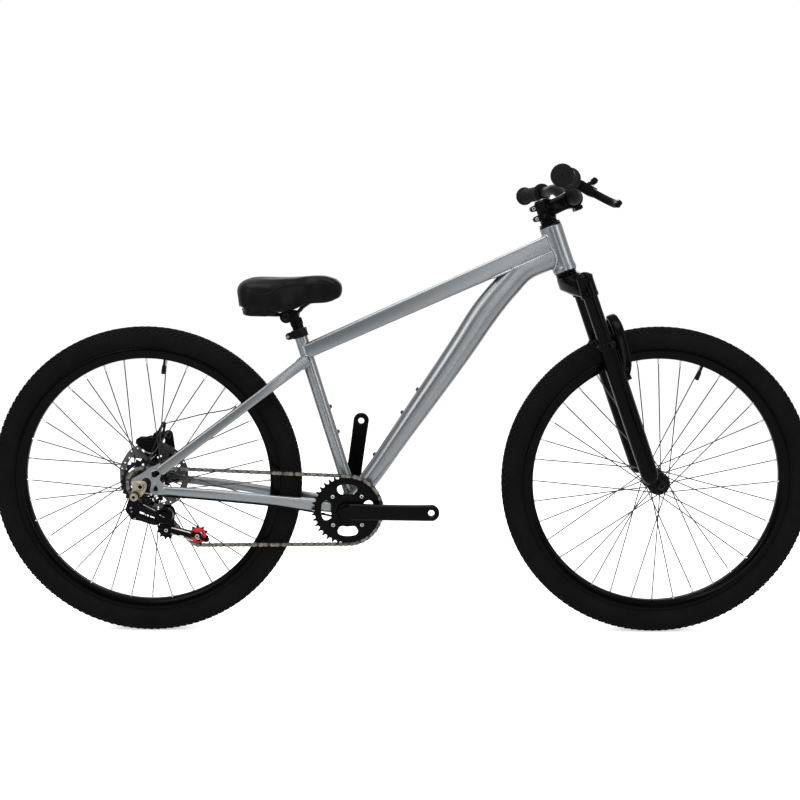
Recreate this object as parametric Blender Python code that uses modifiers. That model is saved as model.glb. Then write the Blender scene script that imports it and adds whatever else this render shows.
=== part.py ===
# Hardtail bicycle with one sprocket at each end of its chain, a sprung chain tensioner,
# a telescopic fork and a cable-pulled rear disc brake.
# Metres. +X forward, +Y to the rider's left, +Z up. The origin is on the ground midway between the axles.

from math import acos, atan2, cos, pi, radians, sin, sqrt, tan

import bmesh
import bpy
from mathutils import Matrix, Vector

# Running clearance between neighbouring pieces
GAP = 0.0003

# Wheels
WHEELBASE = 1.139
TYRE_RADIUS = 0.346
TYRE_WIDTH = 0.052
TYRE_WALL = 0.0042
TYRE_BEAD = 0.0028
RIM_BEAD_RADIUS = 0.292
RIM_FLANGE_HEIGHT = 0.0055
RIM_DEPTH = 0.0175
RIM_WIDTH = 0.027
RIM_WALL = 0.0017
WHEEL_SEGMENTS = 28
SPOKES_PER_SIDE = 18
SPOKE_RADIUS = 0.0011
SPOKE_CROSSING = radians(60)
SPOKE_STAGGER = 0.0013
SPOKE_RIM_OFFSET = 0.0025
FRONT_HUB_WIDTH = 0.100
REAR_HUB_WIDTH = 0.135
FRONT_AXLE_RADIUS = 0.0045
REAR_AXLE_RADIUS = 0.005
FRONT_FLANGE_RADIUS = 0.0255
REAR_FLANGE_RADIUS = 0.0285
FRONT_FLANGE_AT = 0.034
REAR_DRIVE_FLANGE_AT = 0.021
REAR_BRAKE_FLANGE_AT = 0.033
FLANGE_THICKNESS = 0.0050
ROTOR_RADIUS = 0.080
ROTOR_THICKNESS = 0.0018
ROTOR_AT = 0.0515
ROTOR_BORE = 0.0185

# Frame
CHAINSTAY_LENGTH = 0.454
BOTTOM_BRACKET_DROP = 0.059
SEAT_ANGLE = radians(73.0)
SEAT_TUBE_AHEAD = 0.0125
SEAT_TUBE_RADIUS = 0.0143
SEAT_TUBE_LENGTH = 0.409
HEAD_ANGLE = radians(70.5)
HEAD_TUBE_LENGTH = 0.102
HEAD_TUBE_RADIUS = 0.0245
HEAD_TUBE_BORE = 0.0205
HEAD_RING_RADIUS = 0.0261
HEAD_RING_HEIGHT = 0.009
FORK_OFFSET = 0.042
FORK_LENGTH = 0.506
SHELL_RADIUS = 0.0205
SHELL_WIDTH = 0.073
SHELL_BORE = 0.0175
TOP_TUBE_WIDTH = 0.036
TOP_TUBE_SEAT_HEIGHT = 0.033
TOP_TUBE_HEAD_HEIGHT = 0.040
TOP_TUBE_BELOW_SEAT_TUBE_TOP = 0.048
TOP_TUBE_BELOW_HEAD_TUBE_TOP = 0.033
DOWN_TUBE_ABOVE_HEAD_TUBE_END = 0.040
DOWN_TUBE_RISE = 0.0446
STAY_WIDTH = 0.016
SEATSTAY_BELOW_SEAT_TUBE_TOP = 0.065
DROPOUT_THICKNESS = 0.006
DROPOUT_DEPTH = 0.020
STAY_CABLE_RADIUS = 0.0023
BRAKE_CABLE_RADIUS = 0.0013
SEAT_CLAMP_HEIGHT = 0.019
SEAT_CLAMP_WALL = 0.003

# Seat
POST_RADIUS = 0.0127
POST_SHOWING = 0.030
POST_INSERTED = 0.180
SADDLE_LENGTH = 0.236
SADDLE_WIDTH = 0.168
SADDLE_TOP_ABOVE_POST = 0.079
RAIL_RADIUS = 0.0035
RAIL_SPACING = 0.044
RAIL_HEIGHT = -0.004
CLAMP_AT = -0.024
CLAMP_BOLT_RADIUS = 0.0055
POST_NECK_RADIUS = 0.0097

# Drive
CHAIN_PITCH = 0.0127
CHAIN_LINE = 0.046
RING_TEETH = 38
COG_TEETH = 18
GUARD_COG_TEETH = 26
GUARD_COG_BEHIND = 0.0068
PULLEY_TEETH = 11
COG_BORE = 0.0158
TOOTH_THICKNESS = 0.0019
CRANK_LENGTH = 0.185
CRANK_BOSS_AT = 0.062
PEDAL_EYE_AT = 0.078
PEDAL_HOLE_RADIUS = 0.0071
PEDAL_EYE_RADIUS = 0.0160
PEDAL_EYE_HALF_THICKNESS = 0.006
CRANK_BOSS_RADIUS = 0.0190
RING_BORE = 0.0225
RING_ARMS = 4
RING_WINDOW_OUTSIDE = 0.0585
RING_WINDOW_INSIDE = 0.037
RING_BOLT_CIRCLE = 0.045
SPIDER_RADIUS = 0.0335
SPIDER_THICKNESS = 0.003
SPIDER_ARM_HALF_WIDTH = 0.0065
RIGHT_ARM_ANGLE = radians(0.5)
LEFT_ARM_ANGLE = radians(82)
SPINDLE_RADIUS = 0.0085

# Chain tensioner, from the rear axle in the side plane
TENSIONER_BOLT = Vector((-0.011, -0.017))
KNUCKLE_LOW = TENSIONER_BOLT + Vector((-0.003, -0.020))
KNUCKLE_TOP_RADIUS = 0.0095
KNUCKLE_LOW_RADIUS = 0.0110
KNUCKLE_THICKNESS = 0.012
CAGE_PIVOT = Vector((0.052, -0.062))
GUIDE_PULLEY_FROM_PIVOT = Vector((-0.003, -0.041))
TENSION_PULLEY_FROM_PIVOT = Vector((0.066, -0.053))
CAGE_SWING = radians(25)

# Fork, along the steering axis from the middle of the head tube
LEG_SPACING = 0.130
LEG_AHEAD = 0.025
STANCHION_RADIUS = 0.014
LOWER_RADIUS = 0.0182
CROWN_DEPTH = 0.062
STANCHION_SHOWING = 0.107
STANCHION_INSERTED = 0.110
STEERER_RADIUS = 0.0143
STEERER_BORE = (STEERER_RADIUS + GAP) / cos(pi / 14)
HEADSET_CUP = 0.0055
FORK_TAB_THICKNESS = 0.008

# Cockpit
STEM_LENGTH = 0.063
STEM_CLAMP_HEIGHT = 0.042
STEM_ABOVE_HEAD_TUBE = 0.0155
BAR_CLAMP_RADIUS = 0.0159
BAR_CLAMP_HALF = 0.022
STEM_WALL = 0.0048
STEM_BOLT_RADIUS = 0.0048
STEM_BOLT_SPREAD = 0.0115
FACEPLATE_BOLT_ACROSS = 0.0145
BAR_RADIUS = 0.0111
BAR_HALF_WIDTH = 0.355
BAR_RISE = 0.046
GRIP_LENGTH = 0.128
GRIP_RADIUS = 0.0165
GRIP_FLANGE_RADIUS = 0.0215
GRIP_SIDES = 12
LEVER_AT = 0.198

# Derived places
UP = Vector((0, 0, 1))
LEFT = Vector((0, 1, 0))
REAR_AXLE = Vector((-WHEELBASE / 2, 0, TYRE_RADIUS))
FRONT_AXLE = Vector((WHEELBASE / 2, 0, TYRE_RADIUS))
BRACKET = REAR_AXLE + Vector(
    (sqrt(CHAINSTAY_LENGTH**2 - BOTTOM_BRACKET_DROP**2), 0, -BOTTOM_BRACKET_DROP)
)
STEER_UP = Vector((-cos(HEAD_ANGLE), 0, sin(HEAD_ANGLE)))
STEER_AHEAD = Vector((sin(HEAD_ANGLE), 0, cos(HEAD_ANGLE)))
HEAD_TUBE_BOTTOM = FRONT_AXLE - STEER_AHEAD * FORK_OFFSET + STEER_UP * (FORK_LENGTH + HEADSET_CUP)
HEAD_TUBE_MIDDLE = HEAD_TUBE_BOTTOM + STEER_UP * HEAD_TUBE_LENGTH / 2
HEAD_TUBE_TOP = HEAD_TUBE_BOTTOM + STEER_UP * HEAD_TUBE_LENGTH
SEAT_UP = Vector((-cos(SEAT_ANGLE), 0, sin(SEAT_ANGLE)))
SEAT_AHEAD = Vector((sin(SEAT_ANGLE), 0, cos(SEAT_ANGLE)))
SEAT_TUBE_FOOT = BRACKET + SEAT_AHEAD * SEAT_TUBE_AHEAD
SEAT_TUBE_TOP = SEAT_TUBE_FOOT + SEAT_UP * SEAT_TUBE_LENGTH
DROPOUT_AT = REAR_HUB_WIDTH / 2 + GAP + DROPOUT_THICKNESS / 2
RIM_INNER_RADIUS = RIM_BEAD_RADIUS - RIM_DEPTH
RIM_OUTER_RADIUS = RIM_BEAD_RADIUS + RIM_FLANGE_HEIGHT
LEG_AT = LEG_SPACING / 2

# A quarter turn that lays an XY outline in the side plane, with its local +Z towards the drive side
SIDE_VIEW = (pi / 2, 0, 0)

SILVER = ("frame_silver", (0.56, 0.58, 0.60), 0.30, 0.85)
BLACK = ("black_paint", (0.012, 0.012, 0.013), 0.32, 0.0)
BLACK_METAL = ("black_metal", (0.02, 0.02, 0.022), 0.38, 0.6)
STEEL = ("bright_steel", (0.55, 0.54, 0.52), 0.32, 1.0)
HANGER_STEEL = ("hanger_steel", (0.55, 0.50, 0.38), 0.35, 1.0)
CHAIN_STEEL = ("chain_steel", (0.21, 0.19, 0.16), 0.42, 0.9)
SPOKE_STEEL = ("spoke_steel", (0.10, 0.10, 0.105), 0.35, 1.0)
RUBBER = ("rubber", (0.018, 0.018, 0.018), 0.85, 0.0)
GRIP_RUBBER = ("grip_rubber", (0.015, 0.015, 0.015), 0.75, 0.0)
SADDLE_COVER = ("saddle_cover", (0.012, 0.012, 0.013), 0.45, 0.0)
PULLEY_RED = ("pulley_red", (0.62, 0.01, 0.015), 0.35, 0.0)

for old in list(bpy.data.objects):
    bpy.data.objects.remove(old, do_unlink=True)
model = bpy.data.collections.new("bicycle")
cutters = bpy.data.collections.new("cutters")
bpy.context.scene.collection.children.link(model)
bpy.context.scene.collection.children.link(cutters)


def material(finish):
    name, colour, roughness, metallic = finish
    made = bpy.data.materials.get(name)
    if made:
        return made
    made = bpy.data.materials.new(name)
    made.use_nodes = True
    shader = made.node_tree.nodes["Principled BSDF"]
    shader.inputs["Base Color"].default_value = (*colour, 1)
    shader.inputs["Roughness"].default_value = roughness
    shader.inputs["Metallic"].default_value = metallic
    return made


def place(piece, parent=None, at=(0, 0, 0), turn=(0, 0, 0)):
    piece.parent = parent
    piece.location = at
    piece.rotation_euler = turn
    return piece


def as_cutter(piece):
    """Moves a piece to the cutters, so that it shapes others and isn't part of the model itself."""
    model.objects.unlink(piece)
    cutters.objects.link(piece)
    piece.hide_render = True
    piece.display_type = "WIRE"
    return piece


def add_piece(name, data, finish):
    piece = bpy.data.objects.new(name, data)
    data.materials.append(material(finish))
    model.objects.link(piece)
    return piece


def mesh_piece(name, bm, finish, smooth=True):
    mesh = bpy.data.meshes.new(name)
    bm.to_mesh(mesh)
    bm.free()
    if smooth:
        mesh.shade_smooth()
        mesh.set_sharp_from_angle(angle=radians(35))
    return add_piece(name, mesh, finish)


def axis(name, parent=None, at=(0, 0, 0), turn=(0, 0, 0)):
    """An empty on a joint's axis, which carries the pieces of one moving body."""
    empty = bpy.data.objects.new(name, None)
    empty.empty_display_size = 0.05
    model.objects.link(empty)
    return place(empty, parent, at, turn)


def combine(piece, operation, others):
    for other in others:
        boolean = piece.modifiers.new(other.name, "BOOLEAN")
        boolean.operation = operation
        boolean.object = other
        if other.name not in cutters.objects:
            as_cutter(other)
    return piece


def cut(piece, *others):
    return combine(piece, "DIFFERENCE", others)


def join(piece, *others):
    return combine(piece, "UNION", others)


def rod(name, start, end, radius, finish=BLACK, sides=14, end_radius=None):
    """A round bar, or a cone, from one point to another."""
    start = Vector(start)
    span = Vector(end) - start
    bm = bmesh.new()
    bmesh.ops.create_cone(
        bm,
        cap_ends=True,
        segments=sides,
        radius1=radius,
        radius2=radius if end_radius is None else end_radius,
        depth=span.length,
        matrix=Matrix.Translation((0, 0, span.length / 2)),
    )
    piece = mesh_piece(name, bm, finish)
    return place(piece, at=start, turn=span.to_track_quat("Z", "Y").to_euler())


def block(name, size, finish=BLACK, bevel=0.0):
    bm = bmesh.new()
    bmesh.ops.create_cube(bm, size=1)
    bmesh.ops.scale(bm, vec=size, verts=bm.verts)
    if bevel:
        bmesh.ops.bevel(
            bm, geom=bm.edges[:], offset=bevel, segments=1, profile=0.5, affect="EDGES"
        )
    return mesh_piece(name, bm, finish, smooth=False)


def turned(name, profile, finish, segments=18, ring=False):
    """A profile of (radius, height) points turned round local Z. It runs down the outer side."""
    mesh = bpy.data.meshes.new(name)
    bm = bmesh.new()
    points = [bm.verts.new((radius, 0, height)) for radius, height in profile]
    for first, second in zip(points, points[1:]):
        bm.edges.new((first, second))
    if ring:
        bm.edges.new((points[-1], points[0]))
    bm.to_mesh(mesh)
    bm.free()
    piece = add_piece(name, mesh, finish)
    screw = piece.modifiers.new("turn", "SCREW")
    screw.steps = segments
    screw.render_steps = segments
    screw.use_merge_vertices = True
    screw.merge_threshold = 0.00001
    screw.use_smooth_shade = True
    return piece


def section(bm, sides, squareness, matrix, width, height):
    """One closed loop of a loft, from an ellipse at squareness 0 towards a rectangle at 1."""
    made = bmesh.ops.create_circle(bm, segments=sides, radius=1)["verts"]
    power = 1 - squareness
    for vert in made:
        x, y = vert.co.x, vert.co.y
        vert.co.x = width / 2 * abs(x) ** power * (1 if x > 0 else -1)
        vert.co.y = height / 2 * abs(y) ** power * (1 if y > 0 else -1)
    bmesh.ops.transform(bm, matrix=matrix, verts=made)
    inside = set(made)
    return [edge for edge in bm.edges if edge.verts[0] in inside and edge.verts[1] in inside]


def loft(name, stations, finish, sides=12, squareness=0.0, across=LEFT, smooth=True):
    """A tube through stations of (point, width, height), its width lying along `across`."""
    bm = bmesh.new()
    places = [Vector(point) for point, _, _ in stations]
    loops = []
    for index, (_, width, height) in enumerate(stations):
        ahead = places[min(index + 1, len(places) - 1)] - places[max(index - 1, 0)]
        ahead.normalize()
        wide = (across - ahead * across.dot(ahead)).normalized()
        tall = ahead.cross(wide)
        frame = Matrix((wide, tall, ahead)).transposed().to_4x4()
        frame.translation = places[index]
        loops.append(section(bm, sides, squareness, frame, width, height))
    for first, second in zip(loops, loops[1:]):
        bmesh.ops.bridge_loops(bm, edges=first + second)
    bmesh.ops.edgeloop_fill(bm, edges=loops[0])
    bmesh.ops.edgeloop_fill(bm, edges=loops[-1])
    bmesh.ops.recalc_face_normals(bm, faces=bm.faces)
    return mesh_piece(name, bm, finish, smooth)


def smooth_route(points, steps):
    """A Catmull-Rom curve through the points, read at a few steps in each span."""
    knots = [Vector(point) for point in points]
    knots = [knots[0] * 2 - knots[1], *knots, knots[-1] * 2 - knots[-2]]
    route = []
    for a, b, c, d in zip(knots, knots[1:], knots[2:], knots[3:]):
        for step in range(steps):
            t = step / steps
            route.append(
                b * 2
                + (c - a) * t
                + (a * 2 - b * 5 + c * 4 - d) * t**2
                + (b * 3 - a - c * 3 + d) * t**3
            )
    return [point / 2 for point in route] + [knots[-2]]


def tube(name, points, radius, finish, resolution=2, radii=None):
    """A curve object with a round bevel and filled caps."""
    curve = bpy.data.curves.new(name, "CURVE")
    curve.dimensions = "3D"
    curve.bevel_depth = radius
    curve.bevel_resolution = resolution
    curve.use_fill_caps = True
    spline = curve.splines.new("POLY")
    spline.points.add(len(points) - 1)
    for index, point in enumerate(points):
        spline.points[index].co = (*point, 1)
        spline.points[index].radius = 1 if radii is None else radii[index]
    return add_piece(name, curve, finish)


def outline(name, loops, thickness, finish):
    """Flat loops of (x, y) points, extruded to a plate centred on its local XY plane."""
    curve = bpy.data.curves.new(name, "CURVE")
    curve.dimensions = "2D"
    curve.fill_mode = "BOTH"
    curve.extrude = thickness / 2
    for loop in loops:
        spline = curve.splines.new("POLY")
        spline.points.add(len(loop) - 1)
        spline.use_cyclic_u = True
        for index, (x, y) in enumerate(loop):
            spline.points[index].co = (x, y, 0, 1)
    return add_piece(name, curve, finish)


def as_mesh(piece):
    """The curve as a closed mesh, so that it can be cut, joined or used as a cutter."""
    bpy.context.view_layer.update()
    graph = bpy.context.evaluated_depsgraph_get()
    mesh = bpy.data.meshes.new_from_object(piece.evaluated_get(graph))
    bm = bmesh.new()
    bm.from_mesh(mesh)
    bmesh.ops.remove_doubles(bm, verts=bm.verts, dist=0.000002)
    bmesh.ops.recalc_face_normals(bm, faces=bm.faces)
    bm.to_mesh(mesh)
    bm.free()
    name = piece.name
    mesh.name = name
    solid = bpy.data.objects.new(name, mesh)
    solid.parent = piece.parent
    solid.location = piece.location
    solid.rotation_euler = piece.rotation_euler
    bpy.data.objects.remove(piece, do_unlink=True)
    solid.name = name
    model.objects.link(solid)
    return solid


def arc(centre, radius, start, end, count):
    """Points on an arc, from one angle to another."""
    return [
        (
            centre[0] + radius * cos(start + (end - start) * step / (count - 1)),
            centre[1] + radius * sin(start + (end - start) * step / (count - 1)),
        )
        for step in range(count)
    ]


def circle(centre, radius, count=16):
    return arc(centre, radius, 0, 2 * pi * (1 - 1 / count), count)


def capsule(first, second, first_radius, second_radius, count=6):
    """The outline round two circles, as of a link or an arm."""
    first, second = Vector(first), Vector(second)
    span = second - first
    heading = atan2(span.y, span.x)
    lean = acos((first_radius - second_radius) / span.length)
    return arc(second, second_radius, heading - lean, heading + lean, count) + arc(
        first, first_radius, heading + lean, heading + 2 * pi - lean, count
    )


def pitch_radius(teeth):
    return CHAIN_PITCH / (2 * sin(pi / teeth))


# Links of the chain. Round each pin the link is solid, as its roller is, and a window lies between two pins.
OUTER_LINK_HALF_HEIGHT = 0.0042
INNER_LINK_HALF_HEIGHT = 0.0036
LINK_END = 0.0036
ROLLER_REACH = 0.0038
INNER_LINK_HALF_WIDTH = 0.0023
OUTER_LINK_HALF_WIDTH = 0.0035
INNER_WINDOW_HALF_WIDTH = 0.00125
OUTER_WINDOW_HALF_WIDTH = 0.0024
TOOTH_HEIGHT = 0.0034
TOOTH_CLEARANCE = 0.0003


def tooth_half_width(teeth):
    """The widest foot of a tooth that clears the rollers of a run of chain leaving its wheel."""
    low = pitch_radius(teeth) - OUTER_LINK_HALF_HEIGHT
    free = []
    for index in range(3):
        lean = (2 * index + 1) * pi / teeth
        if low / cos(lean) < pitch_radius(teeth) + TOOTH_HEIGHT:
            free.append((low * tan(lean) - index * CHAIN_PITCH - ROLLER_REACH) * cos(lean))
    return min(free) - TOOTH_CLEARANCE


def tooth_outline(teeth, phase):
    """Teeth that stand in the windows of the links, with a pin over the middle of each gap at `phase`."""
    pitch = 2 * pi / teeth
    radius = pitch_radius(teeth)
    root = radius * cos(pitch / 2) - OUTER_LINK_HALF_HEIGHT - TOOTH_CLEARANCE
    tip = radius + TOOTH_HEIGHT
    half = tooth_half_width(teeth)
    points = []
    for index in range(teeth):
        middle = phase + (index + 0.5) * pitch
        for reach, width in ((root, -half), (tip, 0), (root, half)):
            turn = middle + width / reach
            points.append((reach * cos(turn), reach * sin(turn)))
    return points


class ChainRoute:
    """The closed line of the chain's pins, round the chainring, the cog and the two pulleys."""

    def __init__(self, cage_turn):
        pivot = side(REAR_AXLE) + CAGE_PIVOT
        turned_cage = Matrix.Rotation(cage_turn, 2)
        self.guide = pivot + turned_cage @ GUIDE_PULLEY_FROM_PIVOT
        self.tension = pivot + turned_cage @ TENSION_PULLEY_FROM_PIVOT
        self.wheels = [
            (side(BRACKET), RING_TEETH, 1),
            (side(REAR_AXLE), COG_TEETH, 1),
            (self.guide, PULLEY_TEETH, -1),
            (self.tension, PULLEY_TEETH, 1),
        ]
        wheels = [(centre, pitch_radius(teeth), sense) for centre, teeth, sense in self.wheels]
        tangents = [self.tangent(*wheels[i], *wheels[(i + 1) % 4]) for i in range(4)]
        self.spans = []
        for i, (leave, meet) in enumerate(tangents):
            centre, radius, sense = wheels[(i + 1) % 4]
            away = tangents[(i + 1) % 4][0]
            start = atan2(*(meet - centre).yx)
            sweep = (sense * (atan2(*(away - centre).yx) - start)) % (2 * pi)
            self.spans.append((leave, meet, (meet - leave).length))
            self.spans.append((centre, (radius, start, sense), radius * sweep))
        self.length = sum(span[2] for span in self.spans)

    def tangent(self, centre, radius, sense, next_centre, next_radius, next_sense):
        """Where a straight run leaves one wheel and meets the next. Sense 1 is anticlockwise."""
        span = next_centre - centre
        offset = next_sense * next_radius - sense * radius
        heading = atan2(span.y, span.x) - atan2(offset, sqrt(span.length_squared - offset**2))
        left = Vector((-sin(heading), cos(heading)))
        return (
            centre - left * sense * radius,
            next_centre - left * next_sense * next_radius,
        )

    def at(self, distance):
        distance %= self.length
        for start, end, length in self.spans:
            if distance <= length:
                if isinstance(end, tuple):
                    radius, angle, sense = end
                    angle += sense * distance / radius
                    return start + Vector((cos(angle), sin(angle))) * radius
                return start.lerp(end, distance / length)
            distance -= length
        return self.at(0)

    def toothed(self, pins, indices):
        """Those of the numbered links that the teeth of some wheel reach."""
        reached = []
        for index in indices:
            middle = (pins[index] + pins[(index + 1) % len(pins)]) / 2
            for centre, teeth, _ in self.wheels:
                reach = pitch_radius(teeth) + TOOTH_HEIGHT + OUTER_LINK_HALF_HEIGHT
                if (middle - centre).length < reach:
                    reached.append(index)
        return reached

    def pins(self, count):
        """Steps along the line at the chain's pitch. Returns the pins and what is left over at the end."""
        places, distance = [], 0.0
        for _ in range(count):
            here = self.at(distance)
            places.append(here)
            step = CHAIN_PITCH
            for _ in range(4):
                step += CHAIN_PITCH - (self.at(distance + step) - here).length
            distance += step
        return places, self.length - distance


def side(point):
    return Vector((point.x, point.z))


def tensioned_chain():
    """Swings the cage until an even number of links closes the loop, as its spring does."""
    links = 2 * round(ChainRoute(0).length / CHAIN_PITCH / 2)
    low, high = -CAGE_SWING, CAGE_SWING
    over_low = ChainRoute(low).pins(links)[1] > 0
    for _ in range(40):
        middle = (low + high) / 2
        if (ChainRoute(middle).pins(links)[1] > 0) == over_low:
            low = middle
        else:
            high = middle
    route = ChainRoute(low)
    return route, route.pins(links)[0], low


def phase_on(centre, pins, radius):
    """The angle of a pin that lies on a wheel, so that a gap between its teeth falls there."""
    pin = min(pins, key=lambda point: abs((point - centre).length - radius))
    return atan2(pin.y - centre.y, pin.x - centre.x)


def link_shape(bm, half_width, half_height):
    """One link without its window, from pin to pin, with pointed round ends."""
    made = bmesh.ops.create_cone(
        bm, cap_ends=True, segments=6, radius1=1, radius2=1, depth=2 * half_width
    )["verts"]
    for vert in made:
        ahead = 1 if vert.co.y > 0 else -1
        vert.co.xy = (vert.co.y * LINK_END, -vert.co.x * half_height / cos(pi / 6))
        vert.co.x += ahead * CHAIN_PITCH / 2
    return made


def window_shape(bm, half_width):
    made = bmesh.ops.create_cube(bm, size=1)["verts"]
    size = (CHAIN_PITCH - 2 * ROLLER_REACH, 4 * OUTER_LINK_HALF_HEIGHT, 2 * half_width)
    bmesh.ops.scale(bm, vec=size, verts=made)
    return made


def along_chain(name, pins, indices, shape):
    """A copy of the shape at each of the numbered links, from its pin to the next."""
    bm = bmesh.new()
    for index in indices:
        here, ahead = pins[index], pins[(index + 1) % len(pins)]
        middle = (here + ahead) / 2
        heading = atan2(ahead.y - here.y, ahead.x - here.x)
        turn = Matrix.Translation((middle.x, middle.y, 0)) @ Matrix.Rotation(heading, 4, "Z")
        bmesh.ops.transform(bm, matrix=turn, verts=shape(bm))
    links = mesh_piece(name, bm, CHAIN_STEEL, smooth=False)
    return place(links, at=(0, -CHAIN_LINE, 0), turn=SIDE_VIEW)


def outer_link(bm):
    return link_shape(bm, OUTER_LINK_HALF_WIDTH, OUTER_LINK_HALF_HEIGHT)


def inner_link(bm):
    return link_shape(bm, INNER_LINK_HALF_WIDTH, INNER_LINK_HALF_HEIGHT)


def outer_window(bm):
    return window_shape(bm, OUTER_WINDOW_HALF_WIDTH)


def inner_window(bm):
    return window_shape(bm, INNER_WINDOW_HALF_WIDTH)


def make_chain(root, route, pins):
    """Outer and inner links in turn, joined at their pins. Each link that a tooth reaches has a window."""
    outer, inner = range(0, len(pins), 2), range(1, len(pins), 2)
    chain = along_chain("chain", pins, outer, outer_link)
    chain.parent = root
    join(chain, along_chain("inner_links", pins, inner, inner_link))
    wide = along_chain("outer_windows", pins, route.toothed(pins, outer), outer_window)
    narrow = along_chain("inner_windows", pins, route.toothed(pins, inner), inner_window)
    return cut(chain, wide, narrow)


def make_tyre(name, parent):
    """A hollow section, whose beads sit inside the rim's flanges. A flat of the polygon meets the ground."""
    half = TYRE_WIDTH / 2
    bead = RIM_BEAD_RADIUS + GAP
    bead_half = RIM_WIDTH / 2 - RIM_WALL - GAP
    outside = [
        (TYRE_RADIUS, half * 0.24),
        (TYRE_RADIUS - 0.0090, half * 0.79),
        (TYRE_RADIUS - 0.0285, half),
        (RIM_OUTER_RADIUS + 0.0008, bead_half),
        (bead, bead_half),
    ]
    half_section = outside + [(bead, bead_half - TYRE_BEAD)]
    crown = (TYRE_RADIUS - 2 * TYRE_WALL, 0)
    profile = [crown, *half_section[::-1]] + [(radius, -height) for radius, height in half_section]
    return wheel_ring(name, parent, profile, RUBBER)


def make_rim(name, parent):
    """A box rim with a well for the tyre and a flange each side."""
    half = RIM_WIDTH / 2
    half_section = [
        (RIM_INNER_RADIUS, half * 0.50),
        (RIM_OUTER_RADIUS, half),
        (RIM_OUTER_RADIUS, half - RIM_WALL),
        (RIM_BEAD_RADIUS - GAP, half - RIM_WALL),
    ]
    profile = half_section + [(radius, -height) for radius, height in half_section[::-1]]
    return wheel_ring(name, parent, profile, BLACK)


def wheel_ring(name, parent, profile, finish):
    """Turns a section about the wheel's axle, its flats at the section's radii and one of them lowest."""
    grown = 1 / cos(pi / WHEEL_SEGMENTS)
    profile = [(radius * grown, height) for radius, height in profile]
    piece = turned(name, profile, finish, WHEEL_SEGMENTS, ring=True)
    return place(piece, parent, turn=(pi / 2, pi / WHEEL_SEGMENTS, 0))


def spoke_set(name, flange_at, pin_radius, rim_at, shift):
    """One side's spokes. Half of them lean forwards and half back, in two planes that never meet."""
    bm = bmesh.new()
    reach = RIM_INNER_RADIUS - GAP
    for index in range(SPOKES_PER_SIDE):
        lean = 1 if index % 2 else -1
        hub_angle = 2 * pi * index / SPOKES_PER_SIDE + shift
        rim_angle = hub_angle + lean * SPOKE_CROSSING
        start = Vector((pin_radius * cos(hub_angle), pin_radius * sin(hub_angle), flange_at))
        end = Vector((reach * cos(rim_angle), reach * sin(rim_angle), rim_at))
        for point in (start, end):
            point.z += lean * SPOKE_STAGGER
        span = end - start
        turn = span.to_track_quat("Z", "Y").to_matrix().to_4x4()
        bmesh.ops.create_cone(
            bm,
            cap_ends=True,
            segments=3,
            radius1=SPOKE_RADIUS,
            radius2=SPOKE_RADIUS,
            depth=span.length,
            matrix=Matrix.Translation(start + span / 2) @ turn,
        )
    return mesh_piece(name, bm, SPOKE_STEEL, smooth=False)


def make_hub(name, parent, half_width, axle_radius, flange_radius, barrel_radius, drive, far):
    """A turned shell with two flanges, a bore for the axle and its spokes. Each side is given by its flange's
    place, and the radius and reach of the shoulder outside it, which carries the cogs or the disc."""
    bore = axle_radius + GAP
    thick = FLANGE_THICKNESS / 2
    profile = []
    for way, (flange_at, shoulder, shoulder_end) in ((1, drive), (-1, far)):
        half = [
            (bore, half_width),
            (axle_radius + 0.0045, half_width),
            (shoulder, shoulder_end),
            (shoulder, flange_at + thick),
            (flange_radius, flange_at + thick),
            (flange_radius, flange_at - thick),
            (barrel_radius, flange_at - thick - 0.002),
        ]
        half = [(radius, way * height) for radius, height in half]
        profile += half[::way]
    hub = place(turned(name, profile, BLACK_METAL, 12, ring=True), parent, turn=SIDE_VIEW)
    pin_radius = flange_radius - 0.0030
    for side_name, way, flange_at, shift in (
        ("drive", 1, drive[0], 0),
        ("far", -1, far[0], pi / SPOKES_PER_SIDE),
    ):
        spokes = spoke_set(
            f"{name}_{side_name}_spokes", way * flange_at, pin_radius, way * SPOKE_RIM_OFFSET, shift
        )
        join(hub, place(spokes, parent, turn=SIDE_VIEW))
    return hub


def make_axle(name, parent, radius, drive_face, far_face, nut_radius, finish):
    """A threaded axle with a nut outside each dropout."""
    profile = []
    for way, face in ((1, drive_face + GAP), (-1, far_face + GAP)):
        half = [
            (0, face + 0.0145),
            (radius, face + 0.0138),
            (radius, face + 0.0090),
            (nut_radius, face + 0.0085),
            (nut_radius * 1.2, face),
            (radius, face),
        ]
        half = [(r, way * height) for r, height in half]
        profile += half[::way]
    return place(turned(name, profile, finish, 8), parent, turn=SIDE_VIEW)


def make_rotor(parent):
    """A disc with a slotted brake track, six swept arms and a carrier that bolts to the hub."""
    track, carrier = 0.0655, 0.030
    windows = []
    for index in range(6):
        at = pi / 3 * index
        windows.append(
            [
                (carrier * cos(at), carrier * sin(at)),
                (0.047 * cos(at + 0.10), 0.047 * sin(at + 0.10)),
                (track * cos(at + 0.36), track * sin(at + 0.36)),
                (track * cos(at + 0.96), track * sin(at + 0.96)),
                (0.049 * cos(at + 0.86), 0.049 * sin(at + 0.86)),
                (carrier * cos(at + 0.66), carrier * sin(at + 0.66)),
            ]
        )
    loops = [circle((0, 0), ROTOR_RADIUS, 28), circle((0, 0), ROTOR_BORE / cos(pi / 14), 14), *windows]
    return place(
        outline("brake_rotor", loops, ROTOR_THICKNESS, STEEL),
        parent,
        at=(0, ROTOR_AT, 0),
        turn=SIDE_VIEW,
    )


def tube_cutter(name, start, end, radius, sides=24):
    return as_cutter(rod(name, start, end, (radius + GAP) / cos(pi / sides), sides=sides))


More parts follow.
